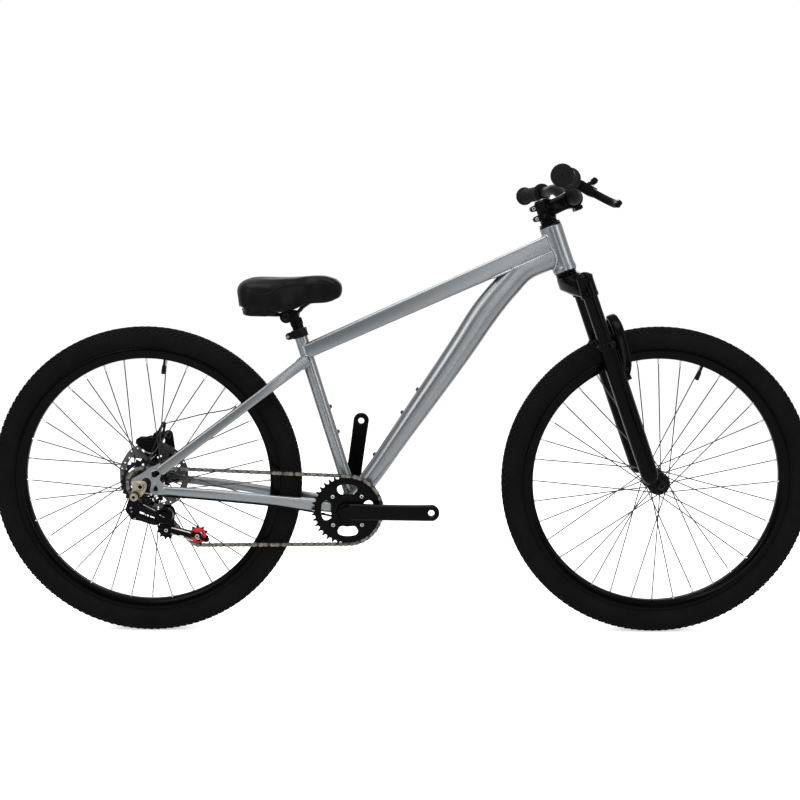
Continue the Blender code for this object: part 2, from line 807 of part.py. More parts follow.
def make_frame(root):
    head_out = tube_cutter(
        "head_tube_clearance",
        HEAD_TUBE_BOTTOM - STEER_UP * 0.05,
        HEAD_TUBE_TOP + STEER_UP * 0.05,
        HEAD_TUBE_RADIUS,
        22,
    )
    seat_out = tube_cutter(
        "seat_tube_clearance",
        SEAT_TUBE_FOOT - SEAT_UP * 0.03,
        SEAT_TUBE_TOP + SEAT_UP * 0.08,
        SEAT_TUBE_RADIUS,
    )
    shell_out = tube_cutter(
        "shell_clearance",
        BRACKET - LEFT * 0.06,
        BRACKET + LEFT * 0.06,
        SHELL_RADIUS,
        28,
    )
    ring_out = tube_cutter(
        "head_ring_clearance",
        HEAD_TUBE_BOTTOM - STEER_UP * 0.01,
        HEAD_TUBE_BOTTOM + STEER_UP * HEAD_RING_HEIGHT,
        HEAD_RING_RADIUS,
        22,
    )
    make_head_tube(root)
    top_tube, top_out = make_top_tube(root)
    cut(top_tube, head_out, seat_out)
    down_tube = make_down_tube(root)
    cut(down_tube, head_out, ring_out, shell_out, top_out)
    seat_tube = make_seat_tube(root)
    cut(seat_tube, shell_out)
    down_out = as_cutter(down_tube_loft("down_tube_clearance", 2 * GAP))
    cut(seat_tube, down_out)
    place(
        turned(
            "bottom_bracket_shell",
            [
                (SHELL_BORE, SHELL_WIDTH / 2),
                (SHELL_RADIUS, SHELL_WIDTH / 2),
                (SHELL_RADIUS, -SHELL_WIDTH / 2),
                (SHELL_BORE, -SHELL_WIDTH / 2),
            ],
            SILVER,
            16,
            ring=True,
        ),
        root,
        at=BRACKET,
        turn=SIDE_VIEW,
    )
    for hand, way in (("left", 1), ("right", -1)):
        dropout_out = make_dropout(root, hand, way)
        chainstay = make_chainstay(root, hand, way)
        seatstay = make_seatstay(root, hand, way)
        cut(chainstay, shell_out, dropout_out)
        cut(seatstay, seat_out, dropout_out, top_out)
        make_bracket_cup(root, hand, way)
    make_bridges(root)
    make_seat_clamp(root)
    make_headset(root)


def make_head_tube(root):
    """A tube with a raised ring round each end, where the headset cups press in."""
    half = HEAD_TUBE_LENGTH / 2
    profile = [
        (HEAD_TUBE_BORE, half),
        (HEAD_TUBE_RADIUS, half),
        (HEAD_TUBE_RADIUS, HEAD_RING_HEIGHT - half),
        (HEAD_RING_RADIUS, HEAD_RING_HEIGHT - 0.0015 - half),
        (HEAD_RING_RADIUS, 0.0015 - half),
        (HEAD_TUBE_BORE, -half),
    ]
    tube_piece = turned("head_tube", profile, SILVER, 22, ring=True)
    return place(tube_piece, root, at=HEAD_TUBE_MIDDLE, turn=(0, HEAD_ANGLE - pi / 2, 0))


def top_tube_ends():
    seat_end = SEAT_TUBE_TOP - SEAT_UP * TOP_TUBE_BELOW_SEAT_TUBE_TOP
    head_end = HEAD_TUBE_TOP - STEER_UP * TOP_TUBE_BELOW_HEAD_TUBE_TOP
    return seat_end, head_end


def top_tube_loft(name, extra):
    seat_end, head_end = top_tube_ends()
    low, high = TOP_TUBE_SEAT_HEIGHT + extra, TOP_TUBE_HEAD_HEIGHT + extra
    wide = TOP_TUBE_WIDTH + extra
    stations = [
        (seat_end, wide, low),
        (seat_end.lerp(head_end, 0.5), wide, (low + high) / 2),
        (head_end, wide + 0.002, high),
    ]
    return loft(name, stations, SILVER, sides=16, squareness=0.55)


def make_top_tube(root):
    """A flat-sided tube with small bevelled edges, taller towards the head tube."""
    piece = place(top_tube_loft("top_tube", 0), root)
    return piece, as_cutter(top_tube_loft("top_tube_clearance", 2 * GAP))


def down_tube_loft(name, extra):
    """Wide and low at the bottom bracket, tall and narrow near the head tube, where it bends forwards."""
    foot = BRACKET
    end = HEAD_TUBE_BOTTOM + STEER_UP * DOWN_TUBE_ABOVE_HEAD_TUBE_END
    span = end - foot
    across = Vector((-span.z, 0, span.x)).normalized()
    rise = across * DOWN_TUBE_RISE
    stations = [
        (foot, 0.054, 0.040),
        (foot + span * 0.133 + rise * 0.10, 0.054, 0.0427),
        (foot + span * 0.250 + rise * 0.27, 0.052, 0.0453),
        (foot + span * 0.367 + rise * 0.43, 0.050, 0.0496),
        (foot + span * 0.482 + rise * 0.58, 0.048, 0.0533),
        (foot + span * 0.597 + rise * 0.75, 0.046, 0.0569),
        (foot + span * 0.705 + rise * 0.95, 0.045, 0.0600),
        (foot + span * 0.774 + rise, 0.044, 0.0590),
        (foot + span * 0.829 + rise * 0.97, 0.043, 0.0570),
        (foot + span * 0.905 + rise * 0.84, 0.042, 0.0560),
        (end, 0.042, 0.056),
    ]
    stations = [(point, width + extra, height + extra) for point, width, height in stations]
    return loft(name, stations, SILVER, sides=16, squareness=0.12)


def make_down_tube(root):
    return place(down_tube_loft("down_tube", 0), root)


def make_seat_tube(root):
    """A round tube, bored for the post from its top down."""
    seat_tube = rod("seat_tube", SEAT_TUBE_FOOT, SEAT_TUBE_TOP, SEAT_TUBE_RADIUS, SILVER, 24)
    seat_tube.parent = root
    bore = as_cutter(
        rod(
            "post_bore",
            SEAT_TUBE_TOP - SEAT_UP * (POST_INSERTED + 0.01),
            SEAT_TUBE_TOP + SEAT_UP * 0.01,
            (POST_RADIUS + GAP) / cos(pi / 14),
            sides=14,
        )
    )
    return cut(seat_tube, bore)


def make_dropout(root, hand, way):
    """A forged plate with a slot open to the rear, a trapezoid hole and a pentagon recess."""
    slot = REAR_AXLE_RADIUS + GAP
    edge = [
        (-0.021, 0.0150),
        (0.000, 0.0270),
        (0.016, 0.0390),
        (0.030, 0.0450),
        (0.040, 0.0500),
        (0.052, 0.0340),
        (0.040, 0.0170),
        (0.046, 0.0060),
        (0.058, 0.0010),
        (0.056, -DROPOUT_DEPTH),
        (0.020, -DROPOUT_DEPTH + 0.001),
        (-0.014, -0.0130),
        (-0.017, -slot),
        *arc((0.008, 0), slot, -pi / 2, pi / 2, 6),
        (-0.021, slot),
    ]
    hole = [(0.026, 0.0215), (0.037, 0.0225), (0.040, 0.0290), (0.034, 0.0335), (0.025, 0.0300)]
    plate = as_mesh(outline(f"dropout_{hand}", [edge, hole], DROPOUT_THICKNESS, SILVER))
    at = REAR_AXLE + LEFT * way * DROPOUT_AT
    place(plate, root, at=at, turn=SIDE_VIEW)
    recess_edge = [(0.0255, -0.012), (0.0365, -0.012), (0.0375, -0.004), (0.031, 0.003), (0.0245, -0.004)]
    recess = as_mesh(outline(f"recess_{hand}", [recess_edge], 0.004, SILVER))
    place(recess, at=at + LEFT * way * DROPOUT_THICKNESS / 2, turn=SIDE_VIEW)
    cut(plate, recess)
    front = max(x for x, _ in edge) / 2
    clearance = [
        (x + (2 * GAP if x > front else -2 * GAP), z - (2 * GAP if z < 0 else 0)) for x, z in edge
    ]
    keep_out = as_mesh(outline(f"dropout_{hand}_clearance", [clearance], 0.030, SILVER))
    place(keep_out, at=at, turn=SIDE_VIEW)
    return as_cutter(keep_out)


def chainstay_stations(way):
    """Centre, width and height of a chain stay, from the bottom bracket shell to the dropout."""
    start = BRACKET + Vector((-0.012, 0, 0.002))
    end = REAR_AXLE + Vector((0.050, 0, -0.0105))
    span = end - start
    return [
        (start + LEFT * way * 0.0250, STAY_WIDTH, 0.028),
        (start + span * 0.20 + LEFT * way * 0.0330, STAY_WIDTH, 0.026),
        (start + span * 0.42 + LEFT * way * 0.0430 + UP * 0.002, STAY_WIDTH * 0.9, 0.021),
        (start + span * 0.70 + LEFT * way * 0.0580 + UP * 0.003, STAY_WIDTH, 0.021),
        (end + LEFT * way * (DROPOUT_AT - 0.001), STAY_WIDTH * 0.8, 0.018),
    ]


def chainstay_loft(name, way, extra):
    stations = chainstay_stations(way)
    stations = [(point, width + extra, height + extra) for point, width, height in stations]
    return loft(name, stations, SILVER, 12, 0.2)


def make_chainstay(root, hand, way):
    """From the bottom bracket shell past the tyre, out to the dropout."""
    return place(chainstay_loft(f"chainstay_{hand}", way, 0), root)


def seatstay_line():
    top = SEAT_TUBE_TOP - SEAT_UP * SEATSTAY_BELOW_SEAT_TUBE_TOP
    foot = REAR_AXLE + Vector((0.042, 0, 0.0330))
    return foot, top - foot


def seatstay_loft(name, way, extra):
    foot, span = seatstay_line()
    stations = [
        (foot + LEFT * way * (DROPOUT_AT - 0.001), 0.012, 0.022),
        (foot + span * 0.20 + LEFT * way * 0.0650, 0.012, 0.021),
        (foot + span * 0.55 + LEFT * way * 0.0520, 0.012, 0.020),
        (foot + span * 0.80 + LEFT * way * 0.0390, 0.012, 0.021),
        (foot + span * 1.00 + LEFT * way * 0.0200, 0.013, 0.024),
    ]
    stations = [(point, width + extra, height + extra) for point, width, height in stations]
    return loft(name, stations, SILVER, 12, 0.5)


def make_seatstay(root, hand, way):
    """A flat-sided stay from the dropout, outside the tyre, in to the side of the seat tube."""
    return place(seatstay_loft(f"seatstay_{hand}", way, 0), root)


def make_bridges(root):
    """A short tube between the two seat stays, and one between the two chain stays."""
    foot, span = seatstay_line()
    at = foot + span * 0.885
    bridge = rod("seatstay_bridge", at - LEFT * 0.030, at + LEFT * 0.030, 0.0065, SILVER, 12)
    bridge.parent = root
    stay_at = BRACKET + Vector((-0.072, 0, 0.007))
    lower = rod("chainstay_bridge", stay_at - LEFT * 0.030, stay_at + LEFT * 0.030, 0.0075, SILVER, 12)
    lower.parent = root
    for way in (1, -1):
        cut(bridge, as_cutter(seatstay_loft(f"seatstay_clearance_{way}", way, 2 * GAP)))
        cut(lower, as_cutter(chainstay_loft(f"chainstay_clearance_{way}", way, 2 * GAP)))


def make_bracket_cup(root, hand, way):
    """A screwed cup whose flange seals the end of the shell round the spindle."""
    face = SHELL_WIDTH / 2
    profile = [
        (SPINDLE_RADIUS + GAP, 0.0045),
        (SHELL_RADIUS - 0.0015, 0.0045),
        (SHELL_RADIUS - 0.0005, GAP),
        (SHELL_BORE - GAP, GAP),
        (SHELL_BORE - GAP, -0.014),
        (SPINDLE_RADIUS + GAP, -0.014),
    ]
    cup = turned(f"bottom_bracket_cup_{hand}", profile, BLACK_METAL, 12, ring=True)
    turn = (pi / 2, 0, 0) if way < 0 else (-pi / 2, 0, 0)
    return place(cup, root, at=BRACKET + LEFT * way * face, turn=turn)


def make_seat_clamp(root):
    """A split collar round the top of the seat tube, with ears and a bolt behind it."""
    half = SEAT_CLAMP_HEIGHT / 2
    sides = 14
    bore = (SEAT_TUBE_RADIUS + GAP) / cos(pi / sides)
    outside = bore + SEAT_CLAMP_WALL
    profile = [
        (bore, half - 0.004),
        (POST_RADIUS + 3 * GAP, half - 0.004),
        (POST_RADIUS + 3 * GAP, half),
        (outside, half),
        (outside, -half),
        (bore, -half),
    ]
    at = SEAT_TUBE_TOP - SEAT_UP * (half - 0.0040 - GAP)
    lean = (0, SEAT_ANGLE - pi / 2, 0)
    collar = place(turned("seat_clamp", profile, BLACK_METAL, sides, ring=True), root, at, lean)
    ears = block("seat_clamp_ears", (0.016, 0.016, SEAT_CLAMP_HEIGHT * 0.86), BLACK_METAL)
    place(ears, root, at=at - SEAT_AHEAD * (SEAT_TUBE_RADIUS + 0.0095), turn=lean)
    bolt_at = at - SEAT_AHEAD * (SEAT_TUBE_RADIUS + 0.0125)
    bolt = rod("seat_clamp_bolt", bolt_at - LEFT * 0.0125, bolt_at + LEFT * 0.0125, 0.0045, STEEL, 6)
    slit = block("seat_clamp_slit", (0.022, 0.0016, 0.03))
    place(slit, root, at=at - SEAT_AHEAD * (SEAT_TUBE_RADIUS + 0.004), turn=lean)
    join(collar, ears)
    cut(collar, slit)
    return join(collar, bolt)


def make_headset(root):
    """Two pressed cups, each with a flange outside the head tube."""
    half = HEAD_TUBE_LENGTH / 2
    lean = (0, HEAD_ANGLE - pi / 2, 0)
    flipped = (pi, HEAD_ANGLE - pi / 2, 0)
    flange = HEAD_TUBE_RADIUS - 0.0002
    for name, way, turn in (("upper", 1, lean), ("lower", -1, flipped)):
        profile = [
            (STEERER_RADIUS + 2 * GAP, HEADSET_CUP - 2 * GAP),
            (flange - 0.002, HEADSET_CUP - 2 * GAP),
            (flange, GAP),
            (HEAD_TUBE_BORE - GAP, GAP),
            (HEAD_TUBE_BORE - 2 * GAP, -0.012),
            (STEERER_RADIUS + 2 * GAP, -0.012),
        ]
        cup = turned(f"headset_{name}_cup", profile, BLACK_METAL, 12, ring=True)
        place(cup, root, at=HEAD_TUBE_MIDDLE + STEER_UP * way * half, turn=turn)


def make_seat(root):
    post_axis = axis("seat_post_slide", root, at=SEAT_TUBE_TOP, turn=(0, SEAT_ANGLE - pi / 2, 0))
    profile = [
        (0, POST_SHOWING),
        (POST_NECK_RADIUS, POST_SHOWING),
        (POST_NECK_RADIUS, POST_SHOWING - 0.020),
        (POST_RADIUS, POST_SHOWING - 0.024),
        (POST_RADIUS, -POST_INSERTED),
        (0, -POST_INSERTED),
    ]
    place(turned("seatpost", profile, BLACK, 14), post_axis)
    level = axis("saddle_level", post_axis, at=(0, 0, POST_SHOWING), turn=(0, pi / 2 - SEAT_ANGLE, 0))
    make_saddle_clamp(level)
    make_rails(level)
    make_saddle(level)
    return post_axis


def make_saddle_clamp(level):
    """A steel clamp round the neck of the post. A rail lies on each side, above its bolt."""
    neck = POST_NECK_RADIUS + GAP
    bolt_at = Vector((CLAMP_AT, 0, RAIL_HEIGHT - RAIL_RADIUS - CLAMP_BOLT_RADIUS - 0.0010))
    collar = rod("saddle_clamp", SEAT_UP * -0.019, SEAT_UP * -0.001, neck + 0.003, BLACK_METAL, 14)
    collar.parent = level
    wing_half = LEFT * (RAIL_SPACING / 2 + 0.0045)
    wings = rod("saddle_clamp_wings", bolt_at - wing_half, bolt_at + wing_half, 0.0125, sides=10)
    wings.parent = level
    strap = block("saddle_clamp_strap", (0.030, 0.020, 0.014))
    place(strap, level, at=(-0.012, 0, -0.010))
    hole = rod("saddle_clamp_bore", SEAT_UP * -0.04, SEAT_UP * 0.03, neck / cos(pi / 14), sides=14)
    hole.parent = level
    join(collar, strap, wings)
    cut(collar, hole)
    for way in (-1, 1):
        rail = Vector((0, way * RAIL_SPACING / 2, RAIL_HEIGHT))
        ahead = Vector((0.06, 0, 0))
        groove = rod(f"rail_groove_{way}", rail - ahead, rail + ahead, RAIL_RADIUS + 2 * GAP, sides=6)
        groove.parent = level
        cut(collar, groove)
    bolt_half = wing_half + LEFT * 0.005
    bolt = rod("saddle_clamp_bolt", bolt_at - bolt_half, bolt_at + bolt_half, CLAMP_BOLT_RADIUS, sides=6)
    bolt.parent = level
    return join(collar, bolt)


def make_rails(level):
    """One bent wire each side, joined in a loop under the nose."""
    flat, half = RAIL_HEIGHT, RAIL_SPACING / 2
    side_points = [
        (-0.100, 0.0240, 0.0165),
        (-0.084, 0.0235, 0.0060),
        (-0.062, half, flat),
        (0.022, half, flat),
        (0.048, 0.0190, 0.0040),
        (0.074, 0.0110, 0.0205),
        (0.078, 0.0, 0.0220),
    ]
    route = side_points + [(x, -y, z) for x, y, z in side_points[-2::-1]]
    rails = tube("saddle_rails", smooth_route(route, 1), RAIL_RADIUS, STEEL, 1)
    return place(rails, level)


def make_saddle(level):
    """A padded saddle: broad rear, waisted middle, blunt nose, with its sides drawn in under the cover."""
    front = 0.101
    top = SADDLE_TOP_ABOVE_POST
    long, wide = SADDLE_LENGTH, SADDLE_WIDTH
    # Share of the length from the nose, share of the width, top and underside heights
    shape = [
        (0.000, 0.10, -0.034, -0.046),
        (0.020, 0.24, -0.010, -0.048),
        (0.110, 0.33, -0.001, -0.050),
        (0.260, 0.38, -0.002, -0.050),
        (0.430, 0.56, -0.003, -0.056),
        (0.600, 0.84, -0.002, -0.060),
        (0.770, 1.00, -0.001, -0.060),
        (0.900, 0.98, -0.004, -0.060),
        (0.975, 0.80, -0.018, -0.056),
        (1.000, 0.50, -0.030, -0.050),
    ]
    stations = [
        (
            Vector((front - share * long, 0, top + (high + low) / 2)),
            width * wide * 1.04,
            (high - low) * 1.06,
        )
        for share, width, high, low in shape
    ]
    saddle = loft("saddle", stations, SADDLE_COVER, 12, 0.22)
    rounding = saddle.modifiers.new("rounding", "SUBSURF")
    rounding.levels = 1
    rounding.render_levels = 1
    return place(saddle, level)


def make_steering(root):
    """Everything that turns with the handlebar, modelled upright on the steering axis."""
    steering = axis(
        "steering_axis", root, at=HEAD_TUBE_MIDDLE, turn=(0, HEAD_ANGLE - pi / 2, 0)
    )
    half = HEAD_TUBE_LENGTH / 2
    race = -half - HEADSET_CUP
    stem_foot = half + STEM_ABOVE_HEAD_TUBE
    stem_top = stem_foot + STEM_CLAMP_HEIGHT
    steerer = rod("steerer", (0, 0, race - 0.020), (0, 0, stem_top - 0.002), STEERER_RADIUS, STEEL, 14)
    steerer.parent = steering
    cover = [
        (STEERER_BORE, stem_foot - half - GAP),
        (STEERER_RADIUS + 0.0035, stem_foot - half - GAP),
        (STEERER_RADIUS + 0.0035, HEADSET_CUP + 0.005),
        (HEAD_TUBE_RADIUS - 0.001, HEADSET_CUP + GAP),
        (STEERER_BORE, HEADSET_CUP + GAP),
    ]
    place(turned("headset_cover", cover, BLACK, 14, ring=True), steering, at=(0, 0, half))
    make_crown(steering, race)
    for hand, way in (("left", 1), ("right", -1)):
        top = race - CROWN_DEPTH + 0.046
        foot = race - CROWN_DEPTH - STANCHION_SHOWING - STANCHION_INSERTED
        at = (LEG_AHEAD, way * LEG_AT)
        stanchion = rod(
            f"stanchion_{hand}", (*at, foot), (*at, top), STANCHION_RADIUS, BLACK_METAL, 12
        )
        stanchion.parent = steering
    make_stem(steering, stem_foot, stem_top)
    make_handlebar(steering, (stem_foot + stem_top) / 2 + 0.004)
    return steering, race


def make_crown(steering, race):
    """A forged crown: a boss under the head tube, shoulders that drop forwards, and a socket for each leg."""
    shoulder = [
        ((0.004, 0, race - 0.013), 0.040, 0.026),
        ((0.010, LEG_AT * 0.45, race - 0.016), 0.038, 0.026),
        ((LEG_AHEAD - 0.004, LEG_AT * 0.80, race - 0.030), 0.034, 0.030),
        ((LEG_AHEAD, LEG_AT, race - 0.038), 0.030, 0.034),
    ]
    mirrored = [((x, -y, z), wide, high) for (x, y, z), wide, high in shoulder[:0:-1]]
    across = Vector((1, 0, 0))
    crown = loft("fork_crown", mirrored + shoulder, BLACK, 8, 0.35, across)
    crown.parent = steering
    boss = rod("crown_boss", (0, 0, race - 0.028), (0, 0, race - GAP), 0.0215, sides=14, end_radius=0.0195)
    boss.parent = steering
    join(crown, boss)
    for way in (-1, 1):
        at = (LEG_AHEAD, way * LEG_AT)
        socket = rod(
            f"crown_socket_{way}", (*at, race - CROWN_DEPTH), (*at, race - 0.014), 0.0182, sides=12
        )
        socket.parent = steering
        join(crown, socket)
    for way in (-1, 1):
        at = (LEG_AHEAD, way * LEG_AT)
        bore = rod(
            f"crown_bore_{way}",
            (*at, race - CROWN_DEPTH - 0.01),
            (*at, race - CROWN_DEPTH + 0.046 + GAP),
            (STANCHION_RADIUS + GAP) / cos(pi / 12),
            sides=12,
        )
        bore.parent = steering
        cut(crown, bore)
    steerer_bore = rod(
        "crown_steerer_bore", (0, 0, race - 0.020 - GAP), (0, 0, race + 0.02), STEERER_BORE, sides=14
    )
    steerer_bore.parent = steering
    return cut(crown, steerer_bore)


def make_stem(steering, foot, top):
    """A clamp round the steerer, a short arm, the rear half of the bar clamp and a separate faceplate."""
    middle = (foot + top) / 2
    bar = Vector((STEM_LENGTH, 0, middle + 0.004))
    stem = rod("stem", (0, 0, foot), (0, 0, top), STEERER_RADIUS + STEM_WALL, BLACK, 14)
    stem.parent = steering
    arm_stations = [
        ((0.010, 0, middle), 0.030, 0.037),
        ((0.028, 0, middle + 0.002), 0.029, 0.034),
        (bar - Vector((0.012, 0, 0)), 0.040, 0.037),
    ]
    arm = place(loft("stem_arm", arm_stations, BLACK, 8, 0.45), steering)
    clamp_half = LEFT * BAR_CLAMP_HALF
    clamp_outside = BAR_CLAMP_RADIUS + STEM_WALL + 0.0004
    clamp = rod("stem_bar_clamp", bar - clamp_half, bar + clamp_half, clamp_outside, sides=14)
    clamp.parent = steering
    join(stem, arm, clamp)
    ear = block("stem_ears", (0.012, 0.020, 0.034))
    place(ear, steering, at=(-STEERER_RADIUS - 0.008, 0, middle))
    join(stem, ear)
    bolt_half = LEFT * 0.0135
    for bolt_name, height in (("lower", -STEM_BOLT_SPREAD), ("upper", STEM_BOLT_SPREAD)):
        bolt_at = Vector((-STEERER_RADIUS - 0.0095, 0, middle + height))
        bolt = rod(
            f"stem_bolt_{bolt_name}", bolt_at - bolt_half, bolt_at + bolt_half, STEM_BOLT_RADIUS, sides=6
        )
        bolt.parent = steering
        join(stem, bolt)
    cap = rod("stem_cap", (0, 0, top - 0.001), (0, 0, top + 0.0035), STEERER_RADIUS + 0.003, sides=14)
    cap.parent = steering
    bore_top = top - 0.0017
    steerer_bore = rod("stem_steerer_bore", (0, 0, foot - 0.01), (0, 0, bore_top), STEERER_BORE, sides=14)
    steerer_bore.parent = steering
    bar_seat = BAR_CLAMP_RADIUS + 2 * GAP
    bar_bore = rod("stem_bar_bore", bar - LEFT * 0.04, bar + LEFT * 0.04, bar_seat, sides=14)
    bar_bore.parent = steering
    front = block("stem_front", (0.05, 0.08, 0.08))
    place(front, steering, at=bar + Vector((0.0252, 0, 0)))
    slit = block("stem_slit", (0.024, 0.0016, 0.06))
    place(slit, steering, at=(-STEERER_RADIUS - 0.0115, 0, middle))
    join(stem, cap)
    cut(stem, steerer_bore, bar_bore, front, slit)
    plate_outside = BAR_CLAMP_RADIUS + STEM_WALL
    faceplate = rod("stem_faceplate", bar - clamp_half, bar + clamp_half, plate_outside, BLACK, 14)
    faceplate.parent = steering
    lug_length = Vector((0.013, 0, 0))
    for way in (-1, 1):
        for height in (-1, 1):
            lug_at = bar + Vector((0, way * FACEPLATE_BOLT_ACROSS, height * clamp_outside))
            lug = rod(f"faceplate_lug_{way}_{height}", lug_at, lug_at + lug_length, 0.0052, sides=6)
            lug.parent = steering
            join(faceplate, lug)
    rear = block("faceplate_rear", (0.06, 0.08, 0.08))
    place(rear, steering, at=bar - Vector((0.0295, 0, 0)))
    face_bore = rod("faceplate_bore", bar - LEFT * 0.05, bar + LEFT * 0.05, bar_seat, sides=14)
    face_bore.parent = steering
    cut(faceplate, rear, face_bore)


def bar_line(height):
    """The right half of the handlebar, from the stem to its end: points and radii."""
    grip_start = Vector((STEM_LENGTH - 0.025, -BAR_HALF_WIDTH + GRIP_LENGTH, height + BAR_RISE - 0.009))
    end = Vector((STEM_LENGTH - 0.0555, -BAR_HALF_WIDTH + 0.006, height + BAR_RISE))
    points = [
        Vector((STEM_LENGTH, 0, height)),
        Vector((STEM_LENGTH, -0.032, height)),
        Vector((STEM_LENGTH - 0.0015, -0.048, height + 0.002)),
        Vector((STEM_LENGTH - 0.005, -0.066, height + 0.010)),
        Vector((STEM_LENGTH - 0.010, -0.094, height + 0.026)),
        Vector((STEM_LENGTH - 0.0145, -0.116, height + 0.0335)),
        Vector((STEM_LENGTH - 0.018, -0.140, height + 0.0355)),
        grip_start,
        end,
    ]
    thick = BAR_CLAMP_RADIUS / BAR_RADIUS
    radii = [thick, thick, 0.8 + 0.2 * thick, 1, 1, 1, 1, 1, 1]
    radii[2] = 1 + (thick - 1) * 0.6
    return points, radii


def make_handlebar(steering, height):
    points, radii = bar_line(height)
    mirrored = [Vector((point.x, -point.y, point.z)) for point in points[:0:-1]]
    bar = tube("handlebar", mirrored + points, BAR_RADIUS, BLACK, 2, radii[:0:-1] + radii)
    place(bar, steering)
    start, end = points[-2], points[-1]
    for hand, way in (("right", -1), ("left", 1)):
        outward = (end - start).normalized()
        outer = end + outward * 0.006
        if way > 0:
            outward = Vector((outward.x, -outward.y, outward.z))
            outer = Vector((outer.x, -outer.y, outer.z))
        make_grip(steering, hand, outer, outward)


def make_grip(steering, hand, outer, outward):
    """A rubber grip with a wide flange at each end and shallow rings, closed at the bar's end."""
    bore = (BAR_RADIUS + GAP) / cos(pi / GRIP_SIDES)
    inner_end = 0.002 - GRIP_LENGTH
    profile = [
        (0, 0),
        (GRIP_FLANGE_RADIUS, 0),
        (GRIP_FLANGE_RADIUS - 0.001, -0.007),
        (GRIP_RADIUS, -0.013),
        (GRIP_RADIUS, inner_end + 0.013),
        (GRIP_FLANGE_RADIUS, inner_end + 0.006),
        (GRIP_FLANGE_RADIUS, inner_end),
        (bore, inner_end),
        (bore, -0.0055),
        (0, -0.0055),
    ]
    grip = turned(f"grip_{hand}", profile, GRIP_RUBBER, GRIP_SIDES)
    return place(grip, steering, at=outer, turn=outward.to_track_quat("Z", "Y").to_euler())


def make_brake_lever(steering, height):
    """The right brake lever: a clamp and body on the bar, and a blade that pivots in the body's mouth."""
    points, _ = bar_line(height)
    start, grip_start = points[6], points[7]
    share = (LEVER_AT + start.y) / (start.y - grip_start.y)
    centre = start.lerp(grip_start, share)
    along = (grip_start - start).normalized()
    ahead = Vector((cos(radians(-48)), 0, sin(radians(-48))))
    ahead = (ahead - along * ahead.dot(along)).normalized()
    bracket = axis("lever_bracket_frame", steering, at=centre)
    bracket.rotation_euler = Matrix((ahead, -along, ahead.cross(-along))).transposed().to_euler()
    clamp = rod("lever_bracket", (0, -0.008, 0), (0, 0.008, 0), BAR_RADIUS + 0.0042, BLACK, 12)
    clamp.parent = bracket
    neck = loft(
        "lever_neck",
        [
            ((0.008, 0.002, 0), 0.016, 0.013),
            ((0.024, 0.000, 0), 0.019, 0.013),
            ((0.050, -0.002, 0), 0.020, 0.015),
        ],
        BLACK,
        8,
        0.4,
    )
    neck.parent = bracket
    barrel = rod("lever_barrel", (0.040, 0.004, 0), (0.046, 0.030, 0.006), 0.0050, sides=8)
    barrel.parent = bracket
    bore = rod("lever_bore", (0, -0.02, 0), (0, 0.02, 0), (BAR_RADIUS + GAP) / cos(pi / 12), sides=12)
    bore.parent = bracket
    mouth = block("lever_mouth", (0.030, 0.030, 0.0086))
    place(mouth, bracket, at=(0.052, -0.005, 0))
    join(clamp, neck, barrel)
    cut(clamp, bore, mouth)
    pivot = axis("brake_lever_axis", bracket, at=(0.046, -0.003, 0))
    blade_stations = [
        ((-0.003, 0.001, 0), 0.0078, 0.009),
        ((0.002, -0.007, 0), 0.0078, 0.012),
        ((0.006, -0.022, 0), 0.0078, 0.010),
        ((0.004, -0.045, 0), 0.0090, 0.009),
        ((0.004, -0.075, 0), 0.0095, 0.009),
        ((0.010, -0.096, 0), 0.0080, 0.008),
    ]
    blade = loft("brake_lever", blade_stations, BLACK, 8, 0.25, Vector((0, 0, 1)))
    blade.parent = pivot
    return pivot


